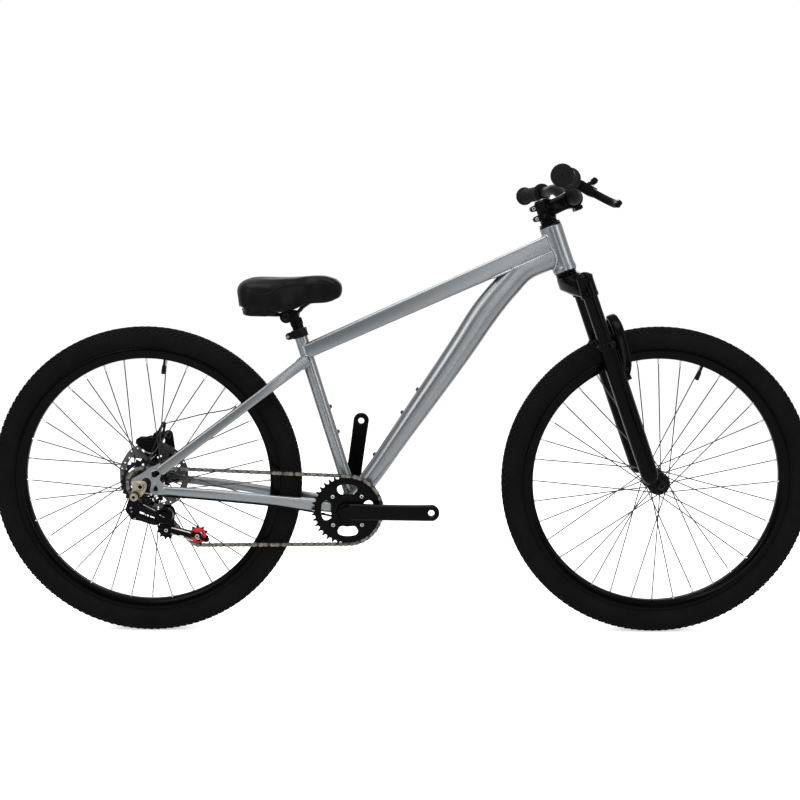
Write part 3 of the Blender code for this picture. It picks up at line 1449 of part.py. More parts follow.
def make_fork_lowers(steering, race):
    """The sliding half of the fork: two legs, the arch in front of the tyre, and the axle's dropouts."""
    travel = axis("fork_travel", steering)
    top = race - CROWN_DEPTH - STANCHION_SHOWING
    axle_height = race - FORK_LENGTH
    foot = axle_height + 0.024
    lowers = None
    for hand, way in (("left", 1), ("right", -1)):
        profile = [
            (0, top),
            (LOWER_RADIUS + 0.0022, top),
            (LOWER_RADIUS + 0.0022, top - 0.010),
            (LOWER_RADIUS, top - 0.014),
            (LOWER_RADIUS - 0.001, foot + 0.008),
            (LOWER_RADIUS - 0.006, foot),
            (0, foot),
        ]
        leg = turned("fork_lowers" if way > 0 else "leg_right", profile, BLACK, 12)
        place(leg, travel, at=(LEG_AHEAD, way * LEG_AT, 0))
        inner = FRONT_HUB_WIDTH / 2 + GAP
        tab = as_mesh(
            outline(
                f"fork_tab_{hand}",
                [capsule((FORK_OFFSET, axle_height), (LEG_AHEAD + 0.001, foot + 0.022), 0.0150, 0.0165, 5)],
                FORK_TAB_THICKNESS,
                BLACK,
            )
        )
        place(tab, travel, at=(0, way * (inner + FORK_TAB_THICKNESS / 2), 0), turn=SIDE_VIEW)
        if lowers is None:
            lowers = leg
        else:
            join(lowers, leg)
        join(lowers, tab)
    arch_side = [
        ((LEG_AHEAD + 0.014, LEG_AT - 0.008, top - 0.086), 0.020, 0.010),
        ((LEG_AHEAD + 0.030, LEG_AT - 0.012, top - 0.050), 0.026, 0.010),
        ((LEG_AHEAD + 0.038, LEG_AT - 0.026, top + 0.012), 0.024, 0.010),
        ((LEG_AHEAD + 0.039, LEG_AT - 0.044, top + 0.036), 0.022, 0.010),
        ((LEG_AHEAD + 0.038, 0, top + 0.046), 0.020, 0.010),
    ]
    mirrored = [((x, -y, z), wide, thick) for (x, y, z), wide, thick in arch_side[-2::-1]]
    arch = loft("fork_arch", arch_side + mirrored, BLACK, 8, 0.3, Vector((1, 0, 0)))
    arch.parent = travel
    join(lowers, arch)
    leg_bore_radius = (STANCHION_RADIUS + GAP) / cos(pi / 12)
    for way in (-1, 1):
        at = (LEG_AHEAD, way * LEG_AT)
        bottom = race - CROWN_DEPTH - STANCHION_SHOWING - STANCHION_INSERTED - 0.092
        bore = rod(f"leg_bore_{way}", (*at, bottom), (*at, top + 0.01), leg_bore_radius, sides=12)
        bore.parent = travel
        cut(lowers, bore)
    hole = rod(
        "front_axle_hole",
        (FORK_OFFSET, -0.09, axle_height),
        (FORK_OFFSET, 0.09, axle_height),
        (FRONT_AXLE_RADIUS + GAP) / cos(pi / 10),
        sides=10,
    )
    hole.parent = travel
    cut(lowers, hole)
    carrier = axis(
        "front_wheel_axis", travel, at=(FORK_OFFSET, 0, axle_height), turn=(0, pi / 2 - HEAD_ANGLE, 0)
    )
    face = FRONT_HUB_WIDTH / 2 + FORK_TAB_THICKNESS + GAP
    make_axle("front_axle", carrier, FRONT_AXLE_RADIUS, face, face, 0.0075, STEEL)
    return carrier


def make_front_wheel(carrier):
    make_tyre("front_tyre", carrier)
    make_rim("front_rim", carrier)
    side_shape = (FRONT_FLANGE_AT, 0.0125, FRONT_FLANGE_AT + 0.008)
    make_hub(
        "front_hub",
        carrier,
        FRONT_HUB_WIDTH / 2 - GAP,
        FRONT_AXLE_RADIUS,
        FRONT_FLANGE_RADIUS,
        0.0135,
        side_shape,
        side_shape,
    )


def make_rear_wheel(root):
    """The hub's right shoulder is the body that carries the cogs, and its left one centres the disc."""
    carrier = axis("rear_wheel_axis", root, at=REAR_AXLE)
    make_tyre("rear_tyre", carrier)
    make_rim("rear_rim", carrier)
    make_hub(
        "rear_hub",
        carrier,
        REAR_HUB_WIDTH / 2 - GAP,
        REAR_AXLE_RADIUS,
        REAR_FLANGE_RADIUS,
        0.0160,
        (REAR_DRIVE_FLANGE_AT, COG_BORE - GAP, CHAIN_LINE + 0.0045),
        (REAR_BRAKE_FLANGE_AT, ROTOR_BORE - GAP, ROTOR_AT + 0.0020),
    )
    make_rotor(carrier)
    return carrier


def make_cranks(root, pins):
    carrier = axis("crank_axis", root, at=BRACKET)
    spindle_half = CRANK_BOSS_AT + 0.004
    profile = [
        (0, spindle_half),
        (SPINDLE_RADIUS - 0.002, spindle_half),
        (SPINDLE_RADIUS, spindle_half - 0.014),
        (SPINDLE_RADIUS, 0.014 - spindle_half),
        (SPINDLE_RADIUS - 0.002, -spindle_half),
        (0, -spindle_half),
    ]
    place(turned("crank_spindle", profile, STEEL, 12), carrier, turn=SIDE_VIEW)
    make_chainring(carrier, pins)
    make_crank_arm(carrier, "right", -1, RIGHT_ARM_ANGLE)
    make_crank_arm(carrier, "left", 1, LEFT_ARM_ANGLE)
    return carrier


def make_chainring(carrier, pins):
    """A toothed ring with a window between its bolts and a bore that clears the arm's boss."""
    phase = phase_on(side(BRACKET), pins, pitch_radius(RING_TEETH))
    windows = []
    for index in range(RING_ARMS):
        at = RIGHT_ARM_ANGLE + 2 * pi * index / RING_ARMS
        outside = arc((0, 0), RING_WINDOW_OUTSIDE, at - 0.50, at + 0.50, 5)
        windows.append(outside + arc((0, 0), RING_WINDOW_INSIDE, at + 0.42, at - 0.42, 3))
    loops = [tooth_outline(RING_TEETH, phase), circle((0, 0), RING_BORE, 14), *windows]
    ring = outline("chainring", loops, TOOTH_THICKNESS, BLACK)
    return place(ring, carrier, at=(0, -CHAIN_LINE, 0), turn=SIDE_VIEW)


def spider_outline():
    """A disc with an arm between each two windows of the ring, out to its bolts."""
    loop = []
    for index in range(RING_ARMS):
        middle = RIGHT_ARM_ANGLE + 2 * pi * (index + 0.5) / RING_ARMS
        tip = (RING_BOLT_CIRCLE * cos(middle), RING_BOLT_CIRCLE * sin(middle))
        loop += arc(tip, SPIDER_ARM_HALF_WIDTH, middle - pi / 2, middle + pi / 2, 5)
        loop += arc((0, 0), SPIDER_RADIUS, middle + 0.40, middle + 2 * pi / RING_ARMS - 0.40, 3)
    return loop


def make_crank_arm(carrier, hand, way, angle):
    """A tapered arm from the spindle's end out to the pedal's eye. The right one has a spider's boss."""
    turn = (0, -angle, 0)
    stations = [
        ((-0.004, way * CRANK_BOSS_AT, 0), 0.018, 0.038),
        ((0.020, way * CRANK_BOSS_AT, 0), 0.018, 0.036),
        ((0.050, way * (CRANK_BOSS_AT + 0.004), 0), 0.014, 0.029),
        ((CRANK_LENGTH * 0.65, way * (PEDAL_EYE_AT - 0.004), 0), 0.012, 0.026),
        ((CRANK_LENGTH, way * PEDAL_EYE_AT, 0), 0.012, 0.030),
    ]
    arm = loft(f"crank_arm_{hand}", stations, BLACK, 10, 0.35)
    place(arm, carrier, turn=turn)
    eye = rod(
        f"pedal_eye_{hand}",
        (CRANK_LENGTH, way * PEDAL_EYE_AT - PEDAL_EYE_HALF_THICKNESS, 0),
        (CRANK_LENGTH, way * PEDAL_EYE_AT + PEDAL_EYE_HALF_THICKNESS, 0),
        PEDAL_EYE_RADIUS,
        sides=14,
    )
    boss = rod(
        f"crank_boss_{hand}",
        (0, way * (CRANK_BOSS_AT - 0.010), 0),
        (0, way * (CRANK_BOSS_AT + 0.0075), 0),
        CRANK_BOSS_RADIUS,
        sides=14,
    )
    hole = rod(
        f"pedal_hole_{hand}",
        (CRANK_LENGTH, way * PEDAL_EYE_AT - 0.02, 0),
        (CRANK_LENGTH, way * PEDAL_EYE_AT + 0.02, 0),
        PEDAL_HOLE_RADIUS,
        sides=10,
    )
    bore = rod(
        f"spindle_bore_{hand}",
        (0, way * (CRANK_BOSS_AT - 0.02), 0),
        (0, way * (CRANK_BOSS_AT + 0.004 + GAP), 0),
        (SPINDLE_RADIUS + GAP) / cos(pi / 12),
        sides=12,
    )
    for helper in (eye, boss, hole, bore):
        helper.parent = carrier
        helper.location = Matrix.Rotation(-angle, 3, "Y") @ helper.location
        helper.rotation_euler = (
            Matrix.Rotation(-angle, 3, "Y") @ helper.rotation_euler.to_matrix()
        ).to_euler()
    join(arm, eye, boss)
    if way < 0:
        spider = as_mesh(outline("crank_spider", [spider_outline()], SPIDER_THICKNESS, BLACK))
        spider_at = -CHAIN_LINE - (TOOTH_THICKNESS + SPIDER_THICKNESS) / 2 - GAP
        place(spider, carrier, at=(0, spider_at, 0), turn=SIDE_VIEW)
        neck = rod(
            "crank_spider_neck",
            (0, -CHAIN_LINE - 0.002, 0),
            (0, -CRANK_BOSS_AT, 0),
            0.0205,
            sides=14,
        )
        neck.parent = carrier
        join(arm, spider, neck)
    cut(arm, hole, bore)
    return arm


def make_rear_sprocket(root, pins):
    """The driven cog and, behind it, the larger cog that keeps the chain off the spokes, on one carrier."""
    carrier = axis("sprocket_axis", root, at=REAR_AXLE)
    phase = phase_on(side(REAR_AXLE), pins, pitch_radius(COG_TEETH))
    sides = 14
    bore = COG_BORE / cos(pi / sides)
    wide = 0.0232
    spacer = [
        (bore, 0.0035),
        (wide, 0.0035),
        (wide, -GUARD_COG_BEHIND - 0.004),
        (bore, -GUARD_COG_BEHIND - 0.004),
    ]
    body = turned("rear_sprocket", spacer, STEEL, sides, ring=True)
    place(body, carrier, at=(0, -CHAIN_LINE, 0), turn=(pi / 2, 0.1, 0))
    hollow = circle((0, 0), (COG_BORE + wide) / 2, 12)
    cog = as_mesh(outline("cog_teeth", [tooth_outline(COG_TEETH, phase), hollow], TOOTH_THICKNESS, STEEL))
    guard = as_mesh(outline("guard_cog", [guard_outline(), hollow], 0.0016, STEEL))
    place(cog, carrier, at=(0, -CHAIN_LINE, 0), turn=SIDE_VIEW)
    place(guard, carrier, at=(0, GUARD_COG_BEHIND - CHAIN_LINE, 0), turn=SIDE_VIEW)
    join(body, cog, guard)
    return carrier


def guard_outline():
    """Low teeth that no chain meets."""
    pitch = 2 * pi / GUARD_COG_TEETH
    radius = pitch_radius(GUARD_COG_TEETH)
    points = []
    for index in range(GUARD_COG_TEETH):
        for reach, share in ((radius - 0.0030, 0.25), (radius + 0.0030, 0.75)):
            turn = (index + share) * pitch
            points.append((reach * cos(turn), reach * sin(turn)))
    return points


def make_hanger(root):
    """A bright steel plate held under the right axle nut, which carries the tensioner's bolt."""
    edge = [
        (-0.022, 0.0105),
        (0.004, 0.0120),
        (0.0125, 0.0060),
        (0.0110, -0.0060),
        (0.0040, -0.0185),
        (-0.0060, -0.0255),
        (-0.0170, -0.0240),
        (-0.0220, -0.0160),
        (-0.0190, -0.0060),
    ]
    loops = [edge, circle((0, 0), REAR_AXLE_RADIUS + GAP, 12), circle(TENSIONER_BOLT, 0.0050, 10)]
    at = REAR_AXLE - LEFT * (DROPOUT_AT + DROPOUT_THICKNESS / 2 + GAP + 0.0015)
    return place(outline("derailleur_hanger", loops, 0.003, HANGER_STEEL), root, at=at, turn=SIDE_VIEW)


DROPOUT_FACE = DROPOUT_AT + DROPOUT_THICKNESS / 2
HANGER_FACE = DROPOUT_FACE + GAP + 0.003
CAGE_OUTER_AT = CHAIN_LINE + 0.0078
CAGE_INNER_AT = CHAIN_LINE - 0.0078
CAGE_PLATE = 0.0018
KNUCKLE_AT = HANGER_FACE + GAP + KNUCKLE_THICKNESS / 2


def make_tensioner(root):
    """A knuckle on the hanger, a slotted link below it and the round housing of the cage's spring."""
    inner = CAGE_OUTER_AT + CAGE_PLATE / 2 + GAP
    bolt, pivot = TENSIONER_BOLT, CAGE_PIVOT
    knuckle = capsule(bolt, KNUCKLE_LOW, KNUCKLE_TOP_RADIUS, KNUCKLE_LOW_RADIUS, 5)
    body = as_mesh(outline("tensioner_body", [knuckle], KNUCKLE_THICKNESS, BLACK))
    place(body, root, at=REAR_AXLE - LEFT * KNUCKLE_AT, turn=SIDE_VIEW)
    link_depth = 0.016
    slot_ends = KNUCKLE_LOW.lerp(pivot, 0.32), KNUCKLE_LOW.lerp(pivot, 0.62)
    link = as_mesh(
        outline(
            "tensioner_link",
            [capsule(KNUCKLE_LOW, pivot, 0.0125, 0.0140, 5), capsule(*slot_ends, 0.0032, 0.0032, 4)],
            link_depth,
            BLACK,
        )
    )
    place(link, root, at=REAR_AXLE - LEFT * (HANGER_FACE + GAP + 0.004), turn=SIDE_VIEW)
    at = REAR_AXLE + Vector((pivot.x, 0, pivot.y))
    housing = rod(
        "tensioner_housing",
        at - LEFT * inner,
        at - LEFT * KNUCKLE_AT,
        0.0180,
        sides=14,
        end_radius=0.0165,
    )
    housing.parent = root
    stud_at = REAR_AXLE + Vector((bolt.x, 0, bolt.y))
    stud = rod(
        "tensioner_stud",
        stud_at - LEFT * (DROPOUT_AT + DROPOUT_THICKNESS / 2 + 2 * GAP),
        stud_at - LEFT * (HANGER_FACE + 0.016),
        0.0050 - GAP,
        sides=10,
    )
    stud.parent = root
    join(body, link, housing, stud)
    return at


def make_cage(root, pivot_at, route, turn_at_rest, pins):
    """Two plates with a pin through each pulley. It turns in the housing, and its spring draws it back."""
    carrier = axis("cage_axis", root, at=pivot_at)
    pivot = side(pivot_at)
    guide, tension = route.guide - pivot, route.tension - pivot
    outer = as_mesh(
        outline("tensioner_cage", [capsule((0, 0), guide, 0.0140, 0.0115, 6)], CAGE_PLATE, BLACK)
    )
    place(outer, carrier, at=(0, -CAGE_OUTER_AT, 0), turn=SIDE_VIEW)
    for name, at in (("outer", CAGE_OUTER_AT), ("inner", CAGE_INNER_AT)):
        plate = as_mesh(
            outline(f"cage_{name}_arm", [capsule(guide, tension, 0.0080, 0.0075, 5)], CAGE_PLATE, BLACK)
        )
        place(plate, carrier, at=(0, -at, 0), turn=SIDE_VIEW)
        join(outer, plate)
    for name, centre in (("guide", guide), ("tension", tension)):
        at = Vector((centre.x, 0, centre.y))
        pin = rod(
            f"{name}_pin",
            at - LEFT * (CAGE_INNER_AT - CAGE_PLATE / 2),
            at - LEFT * (CAGE_OUTER_AT + CAGE_PLATE / 2 + 0.0016),
            0.0034,
            sides=8,
        )
        pin.parent = carrier
        join(outer, pin)
        wheel = axis(f"{name}_pulley_axis", carrier, at=at)
        phase = phase_on(centre + pivot, pins, pitch_radius(PULLEY_TEETH))
        loops = [tooth_outline(PULLEY_TEETH, phase), circle((0, 0), (0.0034 + GAP) / cos(pi / 8), 8)]
        finish = PULLEY_RED if name == "tension" else BLACK
        pulley = outline(f"{name}_pulley", loops, TOOTH_THICKNESS, finish)
        place(pulley, wheel, at=(0, -CHAIN_LINE, 0), turn=SIDE_VIEW)


CALIPER_AT = Vector((0.006, 0, 0.074))
ARM_PIVOT = Vector((0.010, 0, 0.088))
ARM_TIP = Vector((0.020, 0, 0.116))


def make_caliper(root):
    """The caliper straddles the disc above the left stays. Its arm pulls the pads together by a cable."""
    at = REAR_AXLE + CALIPER_AT
    body = block("brake_caliper", (0.058, 0.034, 0.034), BLACK_METAL, bevel=0.005)
    place(body, root, at=at + LEFT * (ROTOR_AT + 0.004), turn=(0, radians(-12), 0))
    foot = as_mesh(
        outline(
            "caliper_foot",
            [capsule((0.0, 0.066), (0.040, 0.050), 0.0090, 0.0090, 5)],
            0.007,
            BLACK_METAL,
        )
    )
    place(foot, root, at=REAR_AXLE + LEFT * (ROTOR_AT + 0.0081), turn=SIDE_VIEW)
    drum_at = REAR_AXLE + ARM_PIVOT
    drum = rod("caliper_drum", drum_at + LEFT * 0.060, drum_at + LEFT * 0.0745, 0.0125, sides=16)
    drum.parent = root
    groove = turned(
        "rotor_groove",
        [(0, 0.0021), (ROTOR_RADIUS + 0.0015, 0.0021), (ROTOR_RADIUS + 0.0015, -0.0021), (0, -0.0021)],
        STEEL,
        36,
    )
    place(groove, root, at=REAR_AXLE + LEFT * ROTOR_AT, turn=SIDE_VIEW)
    join(body, foot, drum)
    cut(body, groove)
    pivot = axis("caliper_arm_axis", root, at=drum_at)
    tip = ARM_TIP - ARM_PIVOT
    arm = outline(
        "caliper_arm",
        [capsule((0, 0), (tip.x, tip.z), 0.0095, 0.0050, 6)],
        0.004,
        BLACK_METAL,
    )
    place(arm, pivot, at=(0, 0.0745 + GAP + 0.002, 0), turn=SIDE_VIEW)
    return drum_at


def make_cables(root):
    """The inner brake cable, from the arm to its port in the left stay, and the cable under the right stay."""
    tip = REAR_AXLE + ARM_TIP + LEFT * 0.0765
    foot, span = seatstay_line()
    port = foot + span * 0.44 + LEFT * 0.0560 + Vector((-0.007, 0, 0.014))
    brake_route = [
        tip + Vector((0.0057, 0, 0.0020)),
        tip + Vector((0.040, -0.002, 0.010)),
        tip + Vector((0.085, -0.006, 0.022)),
        port + Vector((-0.030, 0.001, -0.006)),
        port,
    ]
    cable = tube("brake_cable", smooth_route(brake_route, 2), BRAKE_CABLE_RADIUS, BLACK, 2)
    place(cable, root)
    outlet = TENSIONER_BOLT.lerp(KNUCKLE_LOW, 0.45)
    knuckle_front = outlet.x + (KNUCKLE_TOP_RADIUS + KNUCKLE_LOW_RADIUS) / 2 + 2 * GAP
    under_plate = -DROPOUT_DEPTH - GAP - STAY_CABLE_RADIUS
    route = [
        REAR_AXLE + Vector((knuckle_front, GAP - KNUCKLE_AT, outlet.y)),
        REAR_AXLE + Vector((knuckle_front + 0.006, GAP - KNUCKLE_AT, outlet.y)),
        REAR_AXLE + Vector((0.022, -0.0755, under_plate - 0.0020)),
        REAR_AXLE + Vector((0.050, 0.001 - DROPOUT_AT, under_plate)),
    ]
    for point, _, height in chainstay_stations(-1)[3:0:-1]:
        route.append(point - UP * (height / 2 + GAP + STAY_CABLE_RADIUS))
    under_shell = SHELL_RADIUS + GAP + STAY_CABLE_RADIUS
    route.append(BRACKET + Vector((-0.010, -0.025, -under_shell - 0.0006)))
    route.append(BRACKET + Vector((0.010, -0.025, -under_shell)))
    place(tube("stay_cable", route, STAY_CABLE_RADIUS, BLACK, 2), root)


root = axis("bicycle")
make_frame(root)
make_seat(root)
steering_axis, crown_race = make_steering(root)
bar_height = HEAD_TUBE_LENGTH / 2 + STEM_ABOVE_HEAD_TUBE + STEM_CLAMP_HEIGHT / 2 + 0.004
make_brake_lever(steering_axis, bar_height)
make_front_wheel(make_fork_lowers(steering_axis, crown_race))
make_rear_wheel(root)
rear_axle_frame = axis("rear_axle_frame", root, at=REAR_AXLE)
make_axle("rear_axle", rear_axle_frame, REAR_AXLE_RADIUS, HANGER_FACE, DROPOUT_FACE, 0.0085, STEEL)
chain_route, chain_pins, cage_turn = tensioned_chain()
make_cranks(root, chain_pins)
make_rear_sprocket(root, chain_pins)
make_hanger(root)
make_cage(root, make_tensioner(root), chain_route, cage_turn, chain_pins)
make_chain(root, chain_route, chain_pins)
make_caliper(root)
make_cables(root)
print(f"chain of {len(chain_pins)} links")
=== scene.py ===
# A hardtail bicycle with smooth tubes, welds, treads, links and bolts, built round its CAD frame.
# Metres. +X forward, +Y to the rider's left, +Z up. The chain side is at -Y.
from math import acos, atan2, cos, pi, radians, sin, sqrt

import bmesh
import bpy
from mathutils.bvhtree import BVHTree
from mathutils import Matrix, Vector


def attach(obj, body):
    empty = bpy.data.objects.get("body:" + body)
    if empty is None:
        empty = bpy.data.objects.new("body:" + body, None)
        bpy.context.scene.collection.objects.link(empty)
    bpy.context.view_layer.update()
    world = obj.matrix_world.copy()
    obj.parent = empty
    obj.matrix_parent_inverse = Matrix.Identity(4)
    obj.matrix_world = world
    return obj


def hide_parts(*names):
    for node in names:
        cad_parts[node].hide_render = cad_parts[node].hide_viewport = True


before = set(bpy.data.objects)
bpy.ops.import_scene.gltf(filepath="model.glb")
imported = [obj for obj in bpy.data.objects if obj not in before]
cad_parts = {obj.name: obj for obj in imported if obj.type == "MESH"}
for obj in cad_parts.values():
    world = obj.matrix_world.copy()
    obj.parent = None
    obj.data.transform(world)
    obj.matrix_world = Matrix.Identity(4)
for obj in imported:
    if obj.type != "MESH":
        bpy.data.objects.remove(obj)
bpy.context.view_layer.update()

scene = bpy.context.scene

# Places that the pieces share
up = Vector((0, 0, 1))
left = Vector((0, 1, 0))
ahead = Vector((1, 0, 0))
places = {
    "wheelbase": 1.139, "tyreRadius": 0.346, "chainstay": 0.454, "bracketDrop": 0.059, "seatAngle": 73.0,
    "seatTubeAhead": 0.0125, "seatTube": 0.409, "headAngle": 70.5, "headTube": 0.102, "forkOffset": 0.042,
    "forkLength": 0.506, "cup": 0.0055, "postShowing": 0.03,
}
rearAxle = Vector((-places["wheelbase"] / 2, 0, places["tyreRadius"]))
frontAxle = Vector((places["wheelbase"] / 2, 0, places["tyreRadius"]))
bracketBack = sqrt(places["chainstay"] ** 2 - places["bracketDrop"] ** 2)
bracket = rearAxle + Vector((bracketBack, 0, -places["bracketDrop"]))
headAngle = radians(places["headAngle"])
steerUp = Vector((-cos(headAngle), 0, sin(headAngle)))
steerAhead = Vector((sin(headAngle), 0, cos(headAngle)))
headHalf = places["headTube"] / 2
headFoot = frontAxle - steerAhead * places["forkOffset"] + steerUp * (places["forkLength"] + places["cup"])
headMiddle = headFoot + steerUp * headHalf
headTop = headFoot + steerUp * places["headTube"]
seatAngle = radians(places["seatAngle"])
seatUp = Vector((-cos(seatAngle), 0, sin(seatAngle)))
seatAhead = Vector((sin(seatAngle), 0, cos(seatAngle)))
seatFoot = bracket + seatAhead * places["seatTubeAhead"]
seatTop = seatFoot + seatUp * places["seatTube"]
postTop = seatTop + seatUp * places["postShowing"]
raceHeight = -headHalf - places["cup"]  # where the fork's crown begins, on the steering axis
stemFoot = headHalf + 0.0155
stemTop = stemFoot + 0.042
axleHeight = raceHeight - places["forkLength"]


def placed(origin, x, y):
    x = Vector(x).normalized()
    y = (Vector(y) - x * Vector(y).dot(x)).normalized()
    turn = Matrix((x, y, x.cross(y))).transposed().to_4x4()
    turn.translation = origin
    return turn


def sideways(origin, turn=0.0):
    return Matrix.Translation(origin) @ quarterTurn @ Matrix.Rotation(turn, 4, "Z")


def shifted(x, y, z):
    return Matrix.Translation((x, y, z))


def flipped(way):
    # Half a turn about local X on the other side
    return Matrix.Identity(4) if way > 0 else halfTurn


def upright(origin, axis):
    return placed(origin, left, Vector(axis).cross(left)) if abs(axis.y) < 0.9 else sideways(origin)


halfTurn = Matrix.Rotation(pi, 4, "X")
quarterTurn = Matrix.Rotation(pi / 2, 4, "X")
steering = placed(headMiddle, steerAhead, left)
seatLine = placed(seatTop, seatAhead, left)
print("places set")


# Camera, lamps, floor and background
cameraSettings = {"at": (0.0212, -2.49, 0.84), "tilt": 90 - 7.15, "turn": 0.568, "lens": 50.65, "sensor": 36}
lampSettings = [  # name, place, aim, size across and up, watts
    ("overheadSoftbox", (-0.35, -0.55, 2.6), (0.0, 0.0, 0.4), 2.4, 1.3, 62),
    ("frontSoftbox", (-1.9, -2.3, 1.9), (-0.1, 0.0, 0.5), 1.4, 1.6, 40),
    ("rightStrip", (2.4, -1.5, 1.6), (0.3, 0.0, 0.5), 0.7, 1.8, 26),
    ("backSoftbox", (0.5, 2.4, 2.0), (0.0, 0.0, 0.5), 2.0, 1.4, 34),
    ("frontStrip", (0.55, -3.6, 1.15), (0.1, 0.0, 0.6), 0.3, 2.2, 18),
]
# A dark card behind the camera, which only reflections see
card = {"at": (0.0, -4.3, 0.8), "wide": 7.0, "tall": 1.5, "colour": (0.02, 0.021, 0.023)}
worldSettings = {"skyLight": 0.62, "floorGlow": 0.52, "floorColour": (0.8, 0.8, 0.8)}


def aim(thing, target):
    thing.rotation_euler = (Vector(target) - thing.location).to_track_quat("-Z", "Y").to_euler()


def makeCamera():
    lens = bpy.data.cameras.new("camera")
    lens.lens = cameraSettings["lens"]
    lens.sensor_width = cameraSettings["sensor"]
    camera = bpy.data.objects.new("camera", lens)
    camera.location = cameraSettings["at"]
    camera.rotation_euler = (radians(cameraSettings["tilt"]), 0, radians(cameraSettings["turn"]))
    scene.collection.objects.link(camera)
    scene.camera = camera


def makeLamps():
    for name, at, target, wide, tall, watts in lampSettings:
        lamp = bpy.data.lights.new(name, "AREA")
        lamp.shape = "RECTANGLE"
        lamp.size = wide
        lamp.size_y = tall
        lamp.energy = watts
        holder = bpy.data.objects.new(name, lamp)
        holder.location = at
        aim(holder, target)
        scene.collection.objects.link(holder)


def plainMaterial(name, colour):
    material = bpy.data.materials.new(name)
    material.use_nodes = True
    shader = material.node_tree.nodes["Principled BSDF"]
    shader.inputs["Base Color"].default_value = (*colour, 1)
    shader.inputs["Roughness"].default_value = 0.9
    shader.inputs["Specular IOR Level"].default_value = 0.0
    return material, shader


def flatPanel(name, material, size, place):
    shape = bmesh.new()
    bmesh.ops.create_grid(shape, x_segments=1, y_segments=1, size=size)
    bmesh.ops.transform(shape, matrix=place, verts=shape.verts)
    mesh = bpy.data.meshes.new(name)
    shape.to_mesh(mesh)
    shape.free()
    mesh.materials.append(material)
    panel = bpy.data.objects.new(name, mesh)
    scene.collection.objects.link(panel)
    return panel


def makeCard():
    material, _ = plainMaterial("darkCard", card["colour"])
    size = Matrix.Diagonal((card["wide"], card["tall"], 1, 1))
    panel = flatPanel("darkCard", material, 0.5, Matrix.Translation(card["at"]) @ quarterTurn @ size)
    panel.visible_camera = panel.visible_diffuse = panel.visible_shadow = panel.visible_transmission = False


def addNode(tree, kind, values=None, feeds=None, **settings):
    # A shader node with its settings, the values of its sockets and what feeds them
    node = tree.nodes.new("ShaderNode" + kind)
    for name, value in settings.items():
        setattr(node, name, value)
    for socket, value in (values or {}).items():
        node.inputs[socket].default_value = value
    for socket, source in (feeds or {}).items():
        tree.links.new(source, node.inputs[socket])
    return node


def backgroundMask(tree):
    # White for the camera and for what metal and clear plastic mirror
    path = addNode(tree, "LightPath").outputs
    first = addNode(
        tree, "Math", feeds={0: path["Is Camera Ray"], 1: path["Is Glossy Ray"]}, operation="MAXIMUM",
    )
    rays = {0: first.outputs[0], 1: path["Is Transmission Ray"]}
    return addNode(tree, "Math", feeds=rays, operation="MAXIMUM").outputs[0]


def makeWorld():
    world = bpy.data.worlds.new("paleStudio")
    world.use_nodes = True
    tree = world.node_tree
    tree.nodes.clear()
    soft = addNode(tree, "Background", {"Color": (1, 1, 1, 1), "Strength": worldSettings["skyLight"]})
    white = addNode(tree, "Background", {"Color": (1, 1, 1, 1)})
    mix = addNode(tree, "MixShader", feeds={0: backgroundMask(tree), 1: soft.outputs[0], 2: white.outputs[0]})
    addNode(tree, "OutputWorld", feeds={"Surface": mix.outputs[0]})
    scene.world = world


def makeFloor():
    material, shader = plainMaterial("paleFloor", worldSettings["floorColour"])
    tree = material.node_tree
    glow = addNode(tree, "Emission", {"Strength": worldSettings["floorGlow"]})
    both = addNode(tree, "AddShader", feeds={0: shader.outputs[0], 1: glow.outputs[0]})
    mix = addNode(
        tree, "MixShader", feeds={0: backgroundMask(tree), 1: shader.outputs[0], 2: both.outputs[0]},
    )
    tree.links.new(mix.outputs[0], tree.nodes["Material Output"].inputs["Surface"])
    flatPanel("floor", material, 14, Matrix.Identity(4))


scene.view_settings.view_transform = "Standard"
makeCamera()
makeLamps()
makeWorld()
makeFloor()
makeCard()
print("camera, lamps and floor made")


# Finishes
def groupOf(name, inputs, outputs):
    # A shader node group. Inputs without a value are vectors, all else are numbers
    group = bpy.data.node_groups.new(name, "ShaderNodeTree")
    for label, value in inputs.items():
        kind = "NodeSocketVector" if value is None else "NodeSocketFloat"
        socket = group.interface.new_socket(label, in_out="INPUT", socket_type=kind)
        if value is not None:
            socket.default_value = value
    for label in outputs:
        group.interface.new_socket(label, in_out="OUTPUT", socket_type="NodeSocketFloat")
    return group, group.nodes.new("NodeGroupInput").outputs, group.nodes.new("NodeGroupOutput").inputs


def makeGrainGroup():
    # Fine grain and slow blotches: a height for bumps, a spread from 0 to 1 and a roughness between two ends
    inputs = {
        "Place": None, "Grain Size": 900.0, "Blotch Size": 14.0, "Roughness Low": 0.3, "Roughness High": 0.4,
    }
    group, start, end = groupOf("surfaceGrain", inputs, ("Height", "Blotches", "Roughness"))
    place = start["Place"]
    grain = addNode(group, "TexNoise", {"Detail": 3}, {"Vector": place, "Scale": start["Grain Size"]})
    slow = {"Vector": place, "Scale": start["Blotch Size"]}
    blotches = addNode(group, "TexNoise", {"Detail": 5, "Roughness": 0.62}, slow)
    spread = addNode(
        group, "MapRange", {"From Min": 0.32, "From Max": 0.68}, {"Value": blotches.outputs["Fac"]},
    )
    ends = {
        "Value": spread.outputs["Result"], "To Min": start["Roughness Low"],
        "To Max": start["Roughness High"],
    }
    rough = addNode(group, "MapRange", feeds=ends)
    group.links.new(grain.outputs["Fac"], end["Height"])
    group.links.new(spread.outputs["Result"], end["Blotches"])
    group.links.new(rough.outputs["Result"], end["Roughness"])
    return group


